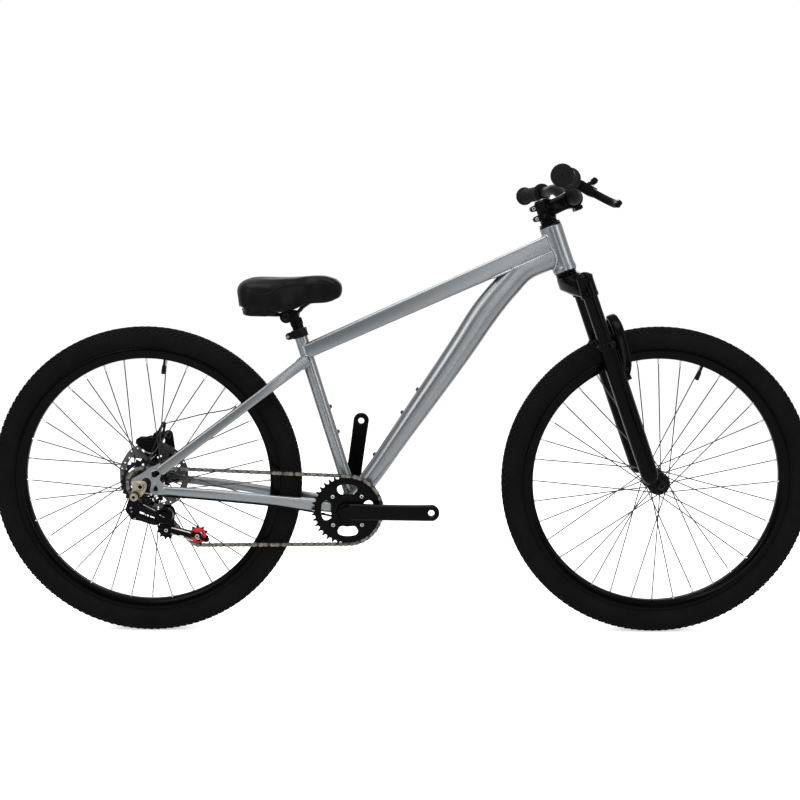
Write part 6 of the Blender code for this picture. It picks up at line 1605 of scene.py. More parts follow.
def tensionerBody():
    lean = tensioner["lean"]
    slots = []
    for (x, y), long, tall in tensioner["slots"]:
        along = Vector((cos(lean), sin(lean))) * long
        slots.append(capsule(Vector((x, y)) - along, Vector((x, y)) + along, tall, tall * 0.98, 6))
    shapes = [
        plate(
            [capsule(tensioner["bolt"], tensioner["knuckle"], 0.0098, 0.013, 18)], 0.012, besideAxle(-0.0806),
            0, 0, 0.0016,
        ),
        plate([tensioner["body"], *slots], 0.01, besideAxle(-0.0776), 0.005, 0, 0.0014),
    ]
    # Ribs that stand out from the body
    for shift, long, tall in ((0.0088, 0.03, 0.0022), (-0.0085, 0.029, 0.0026)):
        place = besideAxle(-0.0836, (0.006, -0.064), lean)
        bar = capsule((-long, shift), (long, shift), tall, tall * 0.96, 8)
        shapes.append(plate([bar], 0.003, place, 0, 0, 0.0009))
    housing = [
        (0.0001, -0.0015), (0.0168, -0.0015), (0.0182, 0.001), (0.0184, 0.004), (0.0184, 0.018),
        (0.0179, 0.02), (0.0166, 0.0216), (0.015, 0.0222), (0.0144, 0.0216), (0.0138, 0.0222), (0.01, 0.0228),
        (0.0094, 0.0222), (0.0088, 0.0228), (0.0001, 0.023),
    ]
    shapes.append(turned(housing, besideAxle(-0.06, tensioner["housing"]), 48))
    shapes.append(socketBolt(besideAxle(-0.0828, tensioner["housing"]), 0.0052, 0.0016, 0))
    # A bright bar across the housing's face as a painted highlight, the mounting bolt and small screws
    shapes.append(plate(
        [capsule((-0.009, 0.003), (0.001, -0.003), 0.0006, 0.00058, 5)], 0.0008,
        besideAxle(-0.0832, tensioner["housing"]), 0, 1, 0.0002,
    ))
    mount = besideAxle(-0.0866, tensioner["bolt"])
    shapes.append(tower(
        [(0.0086, -0.001, 0), (0.009, 0.0006, 0), (0.009, 0.0014, 0), (0.007, 0.0016, 0)], mount, 36, 2,
    ))
    shapes.append(socketBolt(mount @ shifted(0, 0, 0.0014), 0.0066, 0.0024, 2, 0))
    for point, radius in (
        ((-0.013, -0.0705), 0.0023), ((-0.0208, -0.0455), 0.0022), ((-0.0195, -0.054), 0.0016),
    ):
        shapes.append(socketBolt(besideAxle(-0.085, point), radius, 0.0022, 1))
    # Barrel for the cable, under the dropout
    low, high = Vector((0.003, -0.035)), Vector((0.033, -0.0275))
    for first, last, radius, look in (
        (0.0, 0.55, 0.0044, 0), (0.55, 0.78, 0.0036, 0), (0.78, 0.86, 0.004, 1), (0.86, 1, 0.003, 0),
    ):
        start, end = low.lerp(high, first), low.lerp(high, last)
        shapes.append(rod(
            (start.x, start.y, 0), (end.x, end.y, 0), radius, 20, look, place=besideAxle(-0.0795),
        ))
    for x in (0.006, 0.0085, 0.011, 0.0135, 0.016):
        spot = low.lerp(high, (x - low.x) / (high.x - low.x))
        run = (high - low).normalized() * 0.0004
        shapes.append(rod(
            (spot.x - run.x, spot.y - run.y, 0), (spot.x + run.x, spot.y + run.y, 0), 0.0048, 20, 0,
            place=besideAxle(-0.0795),
        ))
    shapes.append(rod((0.004, -0.0395, 0), (0.033, -0.056, 0), 0.0011, 10, 1, place=besideAxle(-0.078)))
    shapes.append(rod((0.002, -0.044, 0), (0.036, -0.06, 0), 0.0024, 14, 0, place=besideAxle(-0.076)))
    build(
        "tensionerBody", "frame", shapes, ["glossBlack", "brightSteel", "hangerBrass"], ["tensioner_body"],
        sharp=30,
    )


def tensionerCage():
    pivot, guide, tension = Vector((0.052, -0.062)), guideAt - flat(rearAxle), tensionAt - flat(rearAxle)
    oval = capsule(
        pivot.lerp(guide, 0.74) + Vector((-0.003, 0.0006)), pivot.lerp(guide, 0.74) + Vector((0.002, 0.0006)),
        0.0019, 0.0018, 7,
    )
    lobe = capsule(pivot, guide, 0.0175, 0.015, 22)
    shapes = [plate([lobe, oval], 0.003, besideAxle(-0.0545), 0, 0, 0.0008)]
    shapes.append(plate(
        [capsule(pivot.lerp(guide, 0.3), pivot.lerp(guide, 0.55), 0.0085, 0.008, 14)], 0.0016,
        besideAxle(-0.0565), 0, 0, 0.0006,
    ))
    tail = tension + Vector((0.0205, -0.011))
    for at in (0.0538, 0.0382):
        place = besideAxle(-at)
        shapes.append(plate([capsule(guide, tension, 0.008, 0.0044, 16)], 0.0018, place, 0, 0, 0.0004))
        shapes.append(plate([capsule(tension, tail, 0.0044, 0.0032, 12)], 0.0018, place, 0, 0, 0.0004))
    # A bright link and a spring rod beside the arm
    shapes.append(rod(
        (guide.x + 0.012, guide.y + 0.006, 0), (tension.x - 0.014, tension.y + 0.0075, 0), 0.0013, 12, 1,
        place=besideAxle(-0.056),
    ))
    shapes.append(rod(
        (guide.x + 0.01, guide.y - 0.0075, 0), (tension.x - 0.01, tension.y - 0.0105, 0), 0.0012, 12, 1,
        place=besideAxle(-0.055),
    ))
    for centre, radius in ((guide, 0.004), (tension, 0.0046)):
        shapes.append(rod(
            (centre.x, centre.y, 0.0373), (centre.x, centre.y, 0.0563), 0.0033, 20, 1, place=besideAxle(0),
        ))
        shapes.append(socketBolt(besideAxle(-0.0558, centre), radius, 0.0024, 1, 0))
    shapes.append(rod(
        (pivot.x, pivot.y, 0.053), (pivot.x, pivot.y, 0.06), 0.0046, 24, 1, place=besideAxle(0),
    ))
    build(
        "tensionerCage", "tensioner_cage", shapes, ["glossBlack", "brightSteel"], ["tensioner_cage"],
        sharp=30,
    )


def pulley(name, node, centre, pins, face):
    teeth = drive["pulley"]
    place = onPlane(centre)
    edge = toothEdge(teeth, phaseOn(centre, pins, teeth), 0.0008)
    shapes = [plate([edge, circle(0.01, 28)], drive["thickness"], place, 0, 1, 0.0003)]
    # A thicker face with curved cut-outs, and a dark hub
    windows = [ringWindow(0.0088, 0.014, 0.6 + 2 * pi * k / 3, 0.36, 0.0015, 6) for k in range(3)]
    shapes.append(plate([circle(0.0174, 60), circle(0.007, 28), *windows], 0.0034, place, 0, 0, 0.0005))
    hub = [
        (0.0037, 0.0034), (0.0064, 0.0034), (0.0072, 0.0028), (0.0074, 0.0018), (0.0074, -0.0018),
        (0.0072, -0.0028), (0.0064, -0.0034), (0.0037, -0.0034),
    ]
    shapes.append(turned(hub, place, 32, ring=True, look=1))
    build(name, node, shapes, [face, "mattBlack"], [node], sharp=30)


pins = chainPins()
chain(pins)
rearSprocket(pins)
chainring(pins)
crankArm("Right", -1)
crankArm("Left", 1)
spindle()
tensionerBody()
tensionerCage()
pulley("guidePulley", "guide_pulley", guideAt, pins, "mattBlack")
pulley("tensionPulley", "tension_pulley", tensionAt, pins, "redPlastic")
print("drive and tensioner made")


# Rear brake and cables. Outlines are (ahead, up) from the rear axle
caliper = {
    "body": [
        (-0.03, 0.068), (-0.0386, 0.076), (-0.0372, 0.085), (-0.031, 0.0885), (-0.018, 0.088),
        (-0.007, 0.0914), (0.0, 0.088), (0.0128, 0.0906), (0.02, 0.095), (0.0225, 0.086), (0.0165, 0.07),
        (0.012, 0.058), (0.004, 0.052), (-0.011, 0.053),
    ],
    "cheek": [
        (-0.024, 0.072), (-0.025, 0.081), (-0.016, 0.0835), (0.004, 0.084), (0.014, 0.085), (0.009, 0.066),
        (0.002, 0.059), (-0.012, 0.061),
    ],
    "mount": [
        (-0.022, 0.0596), (-0.0235, 0.0457), (-0.025, 0.0286), (-0.024, 0.021), (-0.011, 0.02),
        (0.006, 0.0215), (0.0175, 0.013), (0.0205, -0.002), (0.0255, -0.0175), (0.054, -0.0185),
        (0.0555, -0.001), (0.045, 0.008), (0.0415, 0.018), (0.051, 0.033), (0.043, 0.048), (0.044, 0.062),
        (0.04, 0.08), (0.018, 0.07), (0.0, 0.056),
    ],
    "ear": (0.0335, 0.0935), "outerAt": 0.062, "innerAt": 0.0448, "mountAt": 0.0596,
}


def brakeCaliper():
    body, cheek = caliper["body"], caliper["cheek"]
    shapes = [
        plate([body], 0.015, besideAxle(caliper["outerAt"]), 0.0022, 0, 0.0018),
        plate([body], 0.0078, besideAxle(caliper["innerAt"]), 0.0022, 0, 0.0016),
        plate([cheek], 0.005, besideAxle(0.04), 0.002, 0, 0.0014),
        plate([cheek], 0.005, besideAxle(0.07), 0.002, 0, 0.0014),
        plate([[(-0.023, 0.0835), (0.013, 0.085), (0.013, 0.09), (-0.017, 0.0878)]], 0.015,
              besideAxle(0.052), 0.0008, 0, 0.0005),
    ]
    slots = [
        capsule((0.029, 0.08), (0.0232, 0.068), 0.0026, 0.00255, 7),
        capsule((0.0185, 0.06), (0.014, 0.053), 0.002, 0.0019, 7), circle(0.003, 16, (-0.013, 0.035)),
        capsule((0.008, 0.04), (0.016, 0.044), 0.0022, 0.0021, 7),
        capsule((0.029, 0.0), (0.04, -0.004), 0.004, 0.0035, 8),
    ]
    shapes.append(plate([caliper["mount"], *slots], 0.006, besideAxle(caliper["mountAt"]), 0.003, 0, 0.001))
    arm = capsule(caliper["ear"], (0.0405, 0.056), 0.0106, 0.008, 20)
    shapes.append(plate([arm], 0.007, besideAxle(0.06), 0, 0, 0.0012))
    for way in (1, -1):
        flip = flipped(way)
        for point, at, radius in (
            (caliper["ear"], 0.06, 0.0056), ((-0.03, 0.079), 0.06, 0.0046), ((0.04, 0.052), 0.06, 0.0046),
        ):
            spot = besideAxle(at, point) @ shifted(0, 0, way * 0.0036) @ flip
            if point[0] < 0:
                spot = besideAxle(0.041 if way > 0 else 0.069, point) @ flip
            shapes.append(socketBolt(spot, radius, 0.0034, 1))
        shapes.append(turned(
            [(0.0058, 0), (0.0088, 0), (0.0088, 0.0012), (0.0058, 0.0012)],
            besideAxle(0.06, caliper["ear"]) @ shifted(0, 0, way * 0.0035) @ flip, 32, ring=True, look=1,
        ))
    # Ribs across the cheeks and a bright wire spring
    for first, last in (
        ((-0.02, 0.079), (-0.006, 0.064)), ((-0.01, 0.0815), (0.002, 0.066)), ((0.0, 0.0825), (0.008, 0.07)),
    ):
        shapes.append(rod((*first, 0), (*last, 0), 0.0013, 10, 0, place=besideAxle(0.0378)))
    wire = [(-0.0245, 0.0665, 0), (-0.015, 0.056, 0), (-0.006, 0.053, 0), (0.003, 0.0535, 0)]
    shapes.append(swept(smoothLine(wire, 6), 0.0008, up, 8, 2, besideAxle(0.042)))
    wire = [(-0.016, 0.026, 0), (-0.005, 0.038, 0), (0.006, 0.048, 0)]
    shapes.append(swept(smoothLine(wire, 5), 0.0008, up, 8, 2, besideAxle(0.054)))
    drum = [
        (0.0001, 0.06), (0.0128, 0.06), (0.0128, 0.07), (0.0118, 0.0712), (0.0118, 0.0738), (0.0108, 0.0745),
        (0.0001, 0.0745),
    ]
    shapes.append(turned(drum, besideAxle(0, (0.01, 0.088)) @ halfTurn, 40))
    for k in range(10):
        turn = 2 * pi * k / 10
        spot = (0.01 + 0.0124 * cos(turn), 0.088 + 0.0124 * sin(turn), 0)
        shapes.append(rod(
            (spot[0], spot[1], -0.061), (spot[0], spot[1], -0.07), 0.0012, 8, 0, place=besideAxle(0),
        ))
    build(
        "brakeCaliper", "frame", shapes, ["mattBlack", "blackMetal", "brightSteel"], ["brake_caliper"],
        sharp=30,
    )


def caliperArm():
    pivot = (0.01, 0.088)
    tip = (pivot[0] + 0.01, pivot[1] + 0.028)
    middle = Vector(pivot).lerp(Vector(tip), 0.5)
    slot = capsule(middle - Vector((0.0014, 0.004)), middle + Vector((0.0014, 0.004)), 0.0016, 0.0015, 6)
    place = besideAxle(0.0768)
    shapes = [plate([capsule(pivot, tip, 0.0095, 0.0052, 18), slot], 0.004, place, 0, 0, 0.0008)]
    shapes.append(socketBolt(besideAxle(0.0788, pivot) @ halfTurn, 0.005, 0.003, 1))
    shapes.append(rod((*tip, 0.0035), (*tip, -0.004), 0.004, 20, 0, place=place))
    shapes.append(socketBolt(besideAxle(0.0735, tip), 0.0034, 0.0018, 1))
    build(
        "caliperArm", "caliper_arm", shapes, ["mattBlack", "blackMetal"], ["caliper_arm"],
        sharp=30,
    )


cables = {"brakeRadius": 0.0013, "stayRadius": 0.0023, "ferrule": 0.0033}


def ferrule(start, end, radius, look=1):
    run = Vector(end) - Vector(start)
    aside = run.cross(Vector((0.3, 0.5, 0.8))).normalized()
    length = run.length
    profile = [
        (0.0001, 0), (radius * 0.9, 0), (radius, length * 0.08), (radius, length * 0.55),
        (radius * 0.86, length * 0.6), (radius * 0.86, length * 0.94), (radius * 0.7, length),
        (0.0001, length),
    ]
    return turned(profile, placed(Vector(start), aside, run.cross(aside)), 20, look=look)


def brakeCable():
    tip = rearAxle + Vector((0.02, 0.0765, 0.116))
    foot, span = seatstayLine()
    port = foot + span * 0.44 + Vector((-0.007, 0.056, 0.014))
    points = [
        tip + Vector((0.0057, 0, 0.002)), tip + Vector((0.04, -0.002, 0.01)),
        tip + Vector((0.085, -0.006, 0.022)), port + Vector((-0.03, 0.001, -0.006)), port,
        port + Vector((0.022, -0.0045, 0.0125)),
    ]
    line = smoothLine(points, 8)
    shapes = [swept(line, cables["brakeRadius"], up, 12, 0)]
    shapes.append(ferrule(line[0], line[2], 0.0026))
    shapes.append(ferrule(line[-1], line[-4], 0.0027))
    build("brakeCable", "frame", shapes, ["cableJacket", "brightSteel"], ["brake_cable"])


def stayCable():
    bolt, low = Vector((-0.011, -0.017)), Vector((-0.014, -0.037))
    outlet = bolt.lerp(low, 0.45)
    front = outlet.x + 0.01085
    stations = chainstayStations(-1)
    points = [
        rearAxle + Vector((front, -0.0801, outlet.y)), rearAxle + Vector((front + 0.006, -0.0801, outlet.y)),
        rearAxle + Vector((0.022, -0.0755, -0.0246)), rearAxle + Vector((0.05, -0.0698, -0.0226)),
    ]
    for index in (3, 2, 1):
        point, _, tall = stations[index]
        points.append(Vector(point) - up * (tall / 2 + 0.0026))
    points += [bracket + Vector((-0.01, -0.025, -0.0237)), bracket + Vector((0.01, -0.025, -0.0231))]
    line = smoothLine(points, 10)
    shapes = [swept(line, cables["stayRadius"], up, 14, 0)]
    count = len(line) - 1
    for share in (0.3, 0.985):
        index = max(1, min(count - 3, round(count * share)))
        shapes.append(ferrule(line[index], line[index + 3], cables["ferrule"]))
    for share in (0.42, 0.62, 0.8):
        index = round(count * share)
        run = (line[index + 1] - line[index - 1]).normalized() * 0.003
        shapes.append(rod(line[index] - run, line[index] + run, 0.0031, 16, 0))
    build("stayCable", "frame", shapes, ["cableJacket", "brightSteel"], ["stay_cable"])


brakeCaliper()
caliperArm()
brakeCable()
stayCable()
print("brake and cables made")


# Seat. Places are (ahead, left, up) from the top of the post
seat = {
    "postRadius": 0.0127, "neckRadius": 0.0106, "inserted": 0.21, "postRise": 0.0105,
    "clampAt": (-0.0165, 0.0035), "clampRadius": 0.0142, "clampHalf": 0.029, "railRadius": 0.0035,
    "rail": [
        (-0.096, 0.024, 0.029), (-0.082, 0.0235, 0.016), (-0.06, 0.022, 0.008), (-0.002, 0.022, 0.009),
        (0.018, 0.02, 0.024), (0.04, 0.014, 0.0385), (0.046, 0.0, 0.04),
    ],
}
seatFrame = Matrix.Translation(postTop)


def seatPost():
    r, neck, rise = seat["postRadius"], seat["neckRadius"], seat["postRise"]
    profile = [
        (0.0001, -seat["inserted"]), (r - 0.0008, -seat["inserted"]), (r, -seat["inserted"] + 0.001),
        (r, -0.015), (r - 0.0008, -0.011), (neck, -0.007), (neck, rise - 0.006),
        (neck - 0.0012, rise - 0.0022), (neck - 0.0044, rise), (0.0001, rise + 0.0004),
    ]
    place = placed(postTop, seatAhead, left)
    build("seatPost", "seat", [turned(profile, place, 44)], ["glossBlack"], ["seatpost"])


def saddleClamp():
    x, z = seat["clampAt"]
    centre = sideways(postTop)
    shapes = []
    for way in (1, -1):
        flip = flipped(way)
        at = centre @ shifted(0, 0, way * (seat["clampHalf"] - 0.003))
        outline = capsule((x, z), (x + 0.0145, z + 0.003), seat["clampRadius"], 0.0098, 20)
        shapes.append(plate([outline], 0.006, at, 0, 0, 0.0012))
        shapes.append(plate(
            [circle(0.0118, 36, (x, z))], 0.0022, at @ shifted(0, 0, way * 0.0038), 0, 0, 0.0006,
        ))
        nut = centre @ shifted(x, z, way * (seat["clampHalf"] + 0.0016)) @ flip
        shapes.append(socketBolt(nut, 0.0064, 0.0028, 1))
        shapes.append(turned(
            [(0.0066, 0.0), (0.009, 0.0), (0.0086, 0.0008), (0.0066, 0.0008)], nut, 32, ring=True, look=1,
        ))
    shapes.append(rod((x, z, -0.027), (x, z, 0.027), 0.0104, 28, 0, place=centre))
    shapes.append(turned(
        [
            (0.0107, -0.017), (0.0134, -0.017), (0.014, -0.016), (0.014, -0.003), (0.0134, -0.002),
            (0.0107, -0.002),
        ],
        placed(postTop, seatAhead, left), 40, ring=True,
    ))
    build(
        "saddleClamp", "seat", shapes, ["mattBlack", "blackMetal"], ["saddle_clamp"], sharp=30,
    )


def saddleRails():
    half = seat["rail"]
    line = [(x, y, z) for x, y, z in half] + [(x, -y, z) for x, y, z in reversed(half[:-1])]
    shapes = [swept(smoothLine(line, 8), seat["railRadius"], up, 16, 0, seatFrame)]
    build("saddleRails", "seat", shapes, ["blackMetal"], ["saddle_rails"])


# The saddle's stations from nose to rear: ahead, half its width, top, shoulder, skirt, underside
saddle = {
    "stations": [
        (0.109, 0.01, 0.069, 0.061, 0.051, 0.053), (0.1055, 0.02, 0.078, 0.066, 0.044, 0.048),
        (0.095, 0.025, 0.0855, 0.072, 0.039, 0.044), (0.077, 0.0275, 0.0885, 0.074, 0.036, 0.042),
        (0.048, 0.03, 0.0878, 0.074, 0.035, 0.041), (0.0285, 0.037, 0.0862, 0.072, 0.032, 0.04),
        (0.0085, 0.049, 0.0848, 0.07, 0.0205, 0.038), (-0.018, 0.063, 0.084, 0.066, 0.0125, 0.036),
        (-0.044, 0.074, 0.0846, 0.062, 0.012, 0.035), (-0.07, 0.0795, 0.0852, 0.06, 0.0135, 0.035),
        (-0.095, 0.078, 0.0846, 0.06, 0.016, 0.035), (-0.111, 0.069, 0.08, 0.058, 0.019, 0.035),
        (-0.1205, 0.052, 0.0725, 0.055, 0.023, 0.034), (-0.125, 0.03, 0.065, 0.052, 0.03, 0.035),
    ],
    "voxel": 0.005, "pressure": 4.0, "cap": 0.006, "frames": 20, "smoothings": 3,
    "seam": [
        (-0.094, 0.06), (-0.082, 0.0585), (-0.068, 0.053), (-0.05, 0.055), (-0.032, 0.066), (-0.017, 0.0712),
        (0.01, 0.0725), (0.04, 0.0745), (0.067, 0.075), (0.085, 0.07),
    ],
    "seamRadius": 0.0011,
}


def saddleSection(half, top, shoulder, skirt, under):
    # Inside of the right skirt, up its outside, over the crown and the same on the left
    inner = max(half * 0.5, half - 0.017)
    right = [
        (-inner * 0.35, under), (-inner * 0.8, under - 0.001), (-inner, under - 0.004),
        (-inner - 0.001, (under + skirt) / 2), (-(inner + half) / 2, skirt), (-half + 0.0028, skirt + 0.0018),
    ]
    right += [
        (-half + 0.0016 * (1 - share) - 0.0016 * sin(pi * share), skirt + (shoulder - skirt) * share)
        for share in (0.22, 0.42, 0.62, 0.82, 1)
    ]
    for step in range(1, 8):
        turn = pi / 2 * step / 8
        right.append((-half * cos(turn) ** 0.85, shoulder + (top - shoulder) * sin(turn) ** 0.9))
    return right + [(0.0, top)] + [(-y, z) for y, z in reversed(right)]


def saddleForm():
    shape = bmesh.new()
    sections = [(x, saddleSection(*rest)) for x, *rest in saddle["stations"]]
    ring = bmesh.ops.create_circle(shape, segments=len(sections[0][1]), radius=1)["verts"]
    order = {index: vert for index, vert in enumerate(ring)}
    firstEdges = edges = shape.edges[:]
    for index, (x, section) in enumerate(sections):
        if index:
            before = list(order.values())
            edges, fresh = extruded(shape, edges)
            order = {
                k: next(edge.other_vert(vert) for edge in vert.link_edges if edge.other_vert(vert) in fresh)
                for k, vert in enumerate(before)
            }
        for k, vert in order.items():
            vert.co = (x, *section[k])
    bmesh.ops.edgeloop_fill(shape, edges=firstEdges)
    bmesh.ops.edgeloop_fill(shape, edges=edges)
    return settled(shape, seatFrame)


def swollen(piece):
    # Foam under its cover: pressure inside a cloth, with a limit on how far it moves
    still = [vert.co.copy() for vert in piece.data.vertices]
    cloth = piece.modifiers.new("cover", "CLOTH")
    settings = cloth.settings
    settings.quality, settings.mass = 5, 0.3
    settings.tension_stiffness = settings.compression_stiffness = 15
    settings.bending_stiffness = 1.0
    settings.use_pressure, settings.uniform_pressure_force = True, saddle["pressure"]
    settings.effector_weights.gravity = 0
    cloth.collision_settings.use_collision = False
    for moment in range(1, saddle["frames"] + 1):
        scene.frame_set(moment)
    bpy.context.view_layer.update()
    result = piece.evaluated_get(bpy.context.evaluated_depsgraph_get()).data
    moved = [vert.co.copy() for vert in result.vertices]
    piece.modifiers.remove(cloth)
    cap = saddle["cap"]
    for vert, start, end in zip(piece.data.vertices, still, moved):
        step = end - start
        vert.co = start + (step * (cap / step.length) if step.length > cap else step)
    scene.frame_set(1)


def saddleCover():
    mesh = bpy.data.meshes.new("saddleCover")
    form = saddleForm()
    form.to_mesh(mesh)
    form.free()
    piece = bpy.data.objects.new("saddleCover", mesh)
    scene.collection.objects.link(piece)
    remesh = piece.modifiers.new("even", "REMESH")
    remesh.mode = "VOXEL"
    remesh.voxel_size = saddle["voxel"]
    bpy.context.view_layer.update()
    even = bpy.data.meshes.new_from_object(piece.evaluated_get(bpy.context.evaluated_depsgraph_get()))
    piece.modifiers.remove(remesh)
    piece.data = even
    bpy.data.meshes.remove(mesh)
    even.name = "saddleCover"
    swollen(piece)
    smooth = bmesh.new()
    smooth.from_mesh(even)
    for _ in range(saddle["smoothings"]):
        bmesh.ops.smooth_vert(
            smooth, verts=smooth.verts, factor=0.5, use_axis_x=True, use_axis_y=True, use_axis_z=True,
        )
    bmesh.ops.recalc_face_normals(smooth, faces=smooth.faces)
    smooth.to_mesh(even)
    smooth.free()
    even.materials.clear()
    even.materials.append(finishes["saddleVinyl"])
    even.shade_smooth()
    soft = piece.modifiers.new("smoothing", "SUBSURF")
    soft.levels = soft.render_levels = 1
    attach(piece, "seat")
    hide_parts("saddle")
    return piece


def saddleSeams(piece):
    # The seam follows the cover's surface, found from the side
    tree = BVHTree.FromObject(piece, bpy.context.evaluated_depsgraph_get())
    shapes = []
    for way in (1, -1):
        line = []
        for x, z in smoothPairs(saddle["seam"], 6):
            start = postTop + Vector((x, way * 0.2, z))
            hit = tree.ray_cast(start, Vector((0, -way, 0)))[0]
            if hit is not None:
                line.append(hit)
        shapes.append(swept(evenly(line, 0.003), saddle["seamRadius"], up, 8, 0))
    # Lower panel round the rear, hugging the skirt
    rear = [(-0.034, 0.066, 0.0165), (-0.052, 0.071, 0.016), (-0.07, 0.073, 0.016), (-0.086, 0.0705, 0.0162),
            (-0.097, 0.061, 0.017), (-0.104, 0.045, 0.018), (-0.107, 0.0235, 0.0185), (-0.108, 0.0, 0.0188)]
    line = rear + [(x, -y, z) for x, y, z in reversed(rear[:-1])]
    stations = [((x, y, z), 0.0085, 0.0185) for x, y, z in line]
    stations[0] = (stations[0][0], 0.003, 0.008)
    stations[-1] = (stations[-1][0], 0.003, 0.008)
    panel = smoothStations(stations, 5)
    shapes.append(lofted(
        [(Vector(p), a, b) for p, a, b in panel], across=Vector((0.001, 0.001, 1)).cross(ahead), corner=0.42,
        sides=20, place=seatFrame,
    ))
    build("saddleSeams", "seat", shapes, ["saddleVinyl"], (), sharp=50)


def smoothPairs(points, steps):
    return [(point.x, point.z) for point in smoothLine([(x, 0, z) for x, z in points], steps)]


seatPost()
saddleClamp()
saddleRails()
saddleSeams(saddleCover())
print("seat made")


# Stem, handlebar, grips and lever. Places are from the middle of the head tube, up the steering axis
cockpit = {
    "stemRadius": 0.0191, "barAt": (0.063, 0, 0.0915), "clampRadius": 0.0213, "clampHalf": 0.022,
    "barRadius": 0.0159, "boltSpread": 0.0115, "earAt": -0.0235, "gripRadius": 0.0167, "gripEnd": 0.0221,
    "gripLength": 0.126,
}
stemMiddle = (stemFoot + stemTop) / 2


def onSteering(point, turn=0.0):
    # Local x ahead, y up the steerer, z towards the chain side
    return steering @ Matrix.Translation(point) @ quarterTurn @ Matrix.Rotation(turn, 4, "Z")


def steererAndCover():
    shapes = [rod((0, 0, raceHeight - 0.02), (0, 0, stemTop - 0.002), 0.0141, 32, place=steering)]
    build("steerer", "steering", shapes, ["blackMetal"], ["steerer"])
    low, high = headHalf + 0.0053, stemFoot - 0.0003
    profile = [
        (0.0146, low), (0.0232, low), (0.0238, low + 0.0006), (0.0236, low + 0.0022), (0.0214, low + 0.0036),
        (0.019, low + 0.0042), (0.0182, low + 0.005), (0.0184, low + 0.0056), (0.0184, low + 0.0068),
        (0.0176, low + 0.0072), (0.0184, low + 0.0078), (0.0184, high - 0.0006), (0.0178, high),
        (0.0146, high),
    ]
    build(
        "headsetCover", "steering", [turned(profile, steering, 48, ring=True)], ["glossBlack"],
        ["headset_cover"],
    )


def stemArc(centre, radius, start, end, count):
    return [(centre[0] + x, centre[2] + y) for x, y in arc((0, 0), radius, start, end, count)]


def stem():
    r, bar = cockpit["stemRadius"], Vector(cockpit["barAt"])
    body = [
        (0.0144, stemFoot), (r - 0.0012, stemFoot), (r, stemFoot + 0.0012), (r, stemFoot + 0.0105),
        (r - 0.0007, stemFoot + 0.012), (r - 0.0007, stemMiddle + 0.006), (r, stemMiddle + 0.008),
        (r, stemTop - 0.0014), (r - 0.0014, stemTop), (0.0144, stemTop),
    ]
    shapes = [turned(body, steering, 56, ring=True)]
    stations = [
        ((0.008, 0, stemMiddle + 0.001), 0.03, 0.036), ((0.024, 0, stemMiddle + 0.0016), 0.0295, 0.0345),
        ((bar.x - 0.022, 0, (bar.z + stemMiddle) / 2 + 0.001), 0.033, 0.034),
        ((bar.x - 0.01, 0, bar.z), 0.04, 0.038),
    ]
    shapes.append(lofted(smoothStations(stations, 4), across=left, corner=0.3, sides=32, place=steering))
    half, outside = cockpit["clampHalf"], cockpit["clampRadius"]
    rear = stemArc(bar, outside, radians(76), radians(284), 28)
    rear += stemArc(bar, 0.016, radians(284), radians(76), 24)
    shapes.append(plate([rear], 2 * half, onSteering((0, 0, 0)), 0, 0, 0.0012))
    # Pinch ears at the back with their bolts
    for way in (1, -1):
        z = stemMiddle + way * cockpit["boltSpread"]
        for side in (1, -1):
            ear = capsule((-0.012, z), (cockpit["earAt"] - 0.0018, z), 0.0074, 0.0062, 12)
            shapes.append(plate([ear], 0.0088, onSteering((0, side * 0.0056, 0)), 0, 0, 0.0011))
        bolt = onSteering((cockpit["earAt"], 0, z))
        shapes.append(rod((0, 0, -0.009), (0, 0, 0.009), 0.0026, 16, 1, place=bolt))
        shapes.append(socketBolt(bolt @ shifted(0, 0, 0.0096), 0.0036, 0.0012, 1, 0))
    cap = [
        (0.0001, stemTop - 0.0004), (0.0172, stemTop - 0.0004), (0.0173, stemTop + 0.002),
        (0.0162, stemTop + 0.0032), (0.006, stemTop + 0.0036), (0.0052, stemTop + 0.0026),
        (0.0001, stemTop + 0.0026),
    ]
    shapes.append(turned(cap, steering, 40))
    shapes.append(socketBolt(steering @ shifted(0, 0, stemTop + 0.0024), 0.0044, 0.0022, 1))
    build("stem", "steering", shapes, ["glossBlack", "brightSteel"], ["stem"], sharp=30)


def faceplate():
    bar, half = Vector(cockpit["barAt"]), cockpit["clampHalf"]
    front = stemArc(bar, cockpit["clampRadius"] - 0.0004, radians(-68), radians(68), 24)
    front += stemArc(bar, 0.016, radians(68), radians(-68), 20)
    shapes = [plate([front], 2 * half, onSteering((0, 0, 0)), 0, 0, 0.0012)]
    for y in (0.0145, -0.0145):
        for way in (1, -1):
            centre = Vector((bar.x, y, bar.z + way * 0.0225))
            bolt = steering @ Matrix.Translation(centre - ahead * 0.004) @ Matrix.Rotation(pi / 2, 4, "Y")
            shapes.append(rod((0, 0, 0), (0, 0, 0.015), 0.0056, 24, 0, place=bolt))
            shapes.append(socketBolt(bolt @ shifted(0, 0, 0.015), 0.0042, 0.0032, 1))
    build(
        "stemFaceplate", "steering", shapes, ["glossBlack", "blackMetal"], ["stem_faceplate"],
        sharp=30,
    )


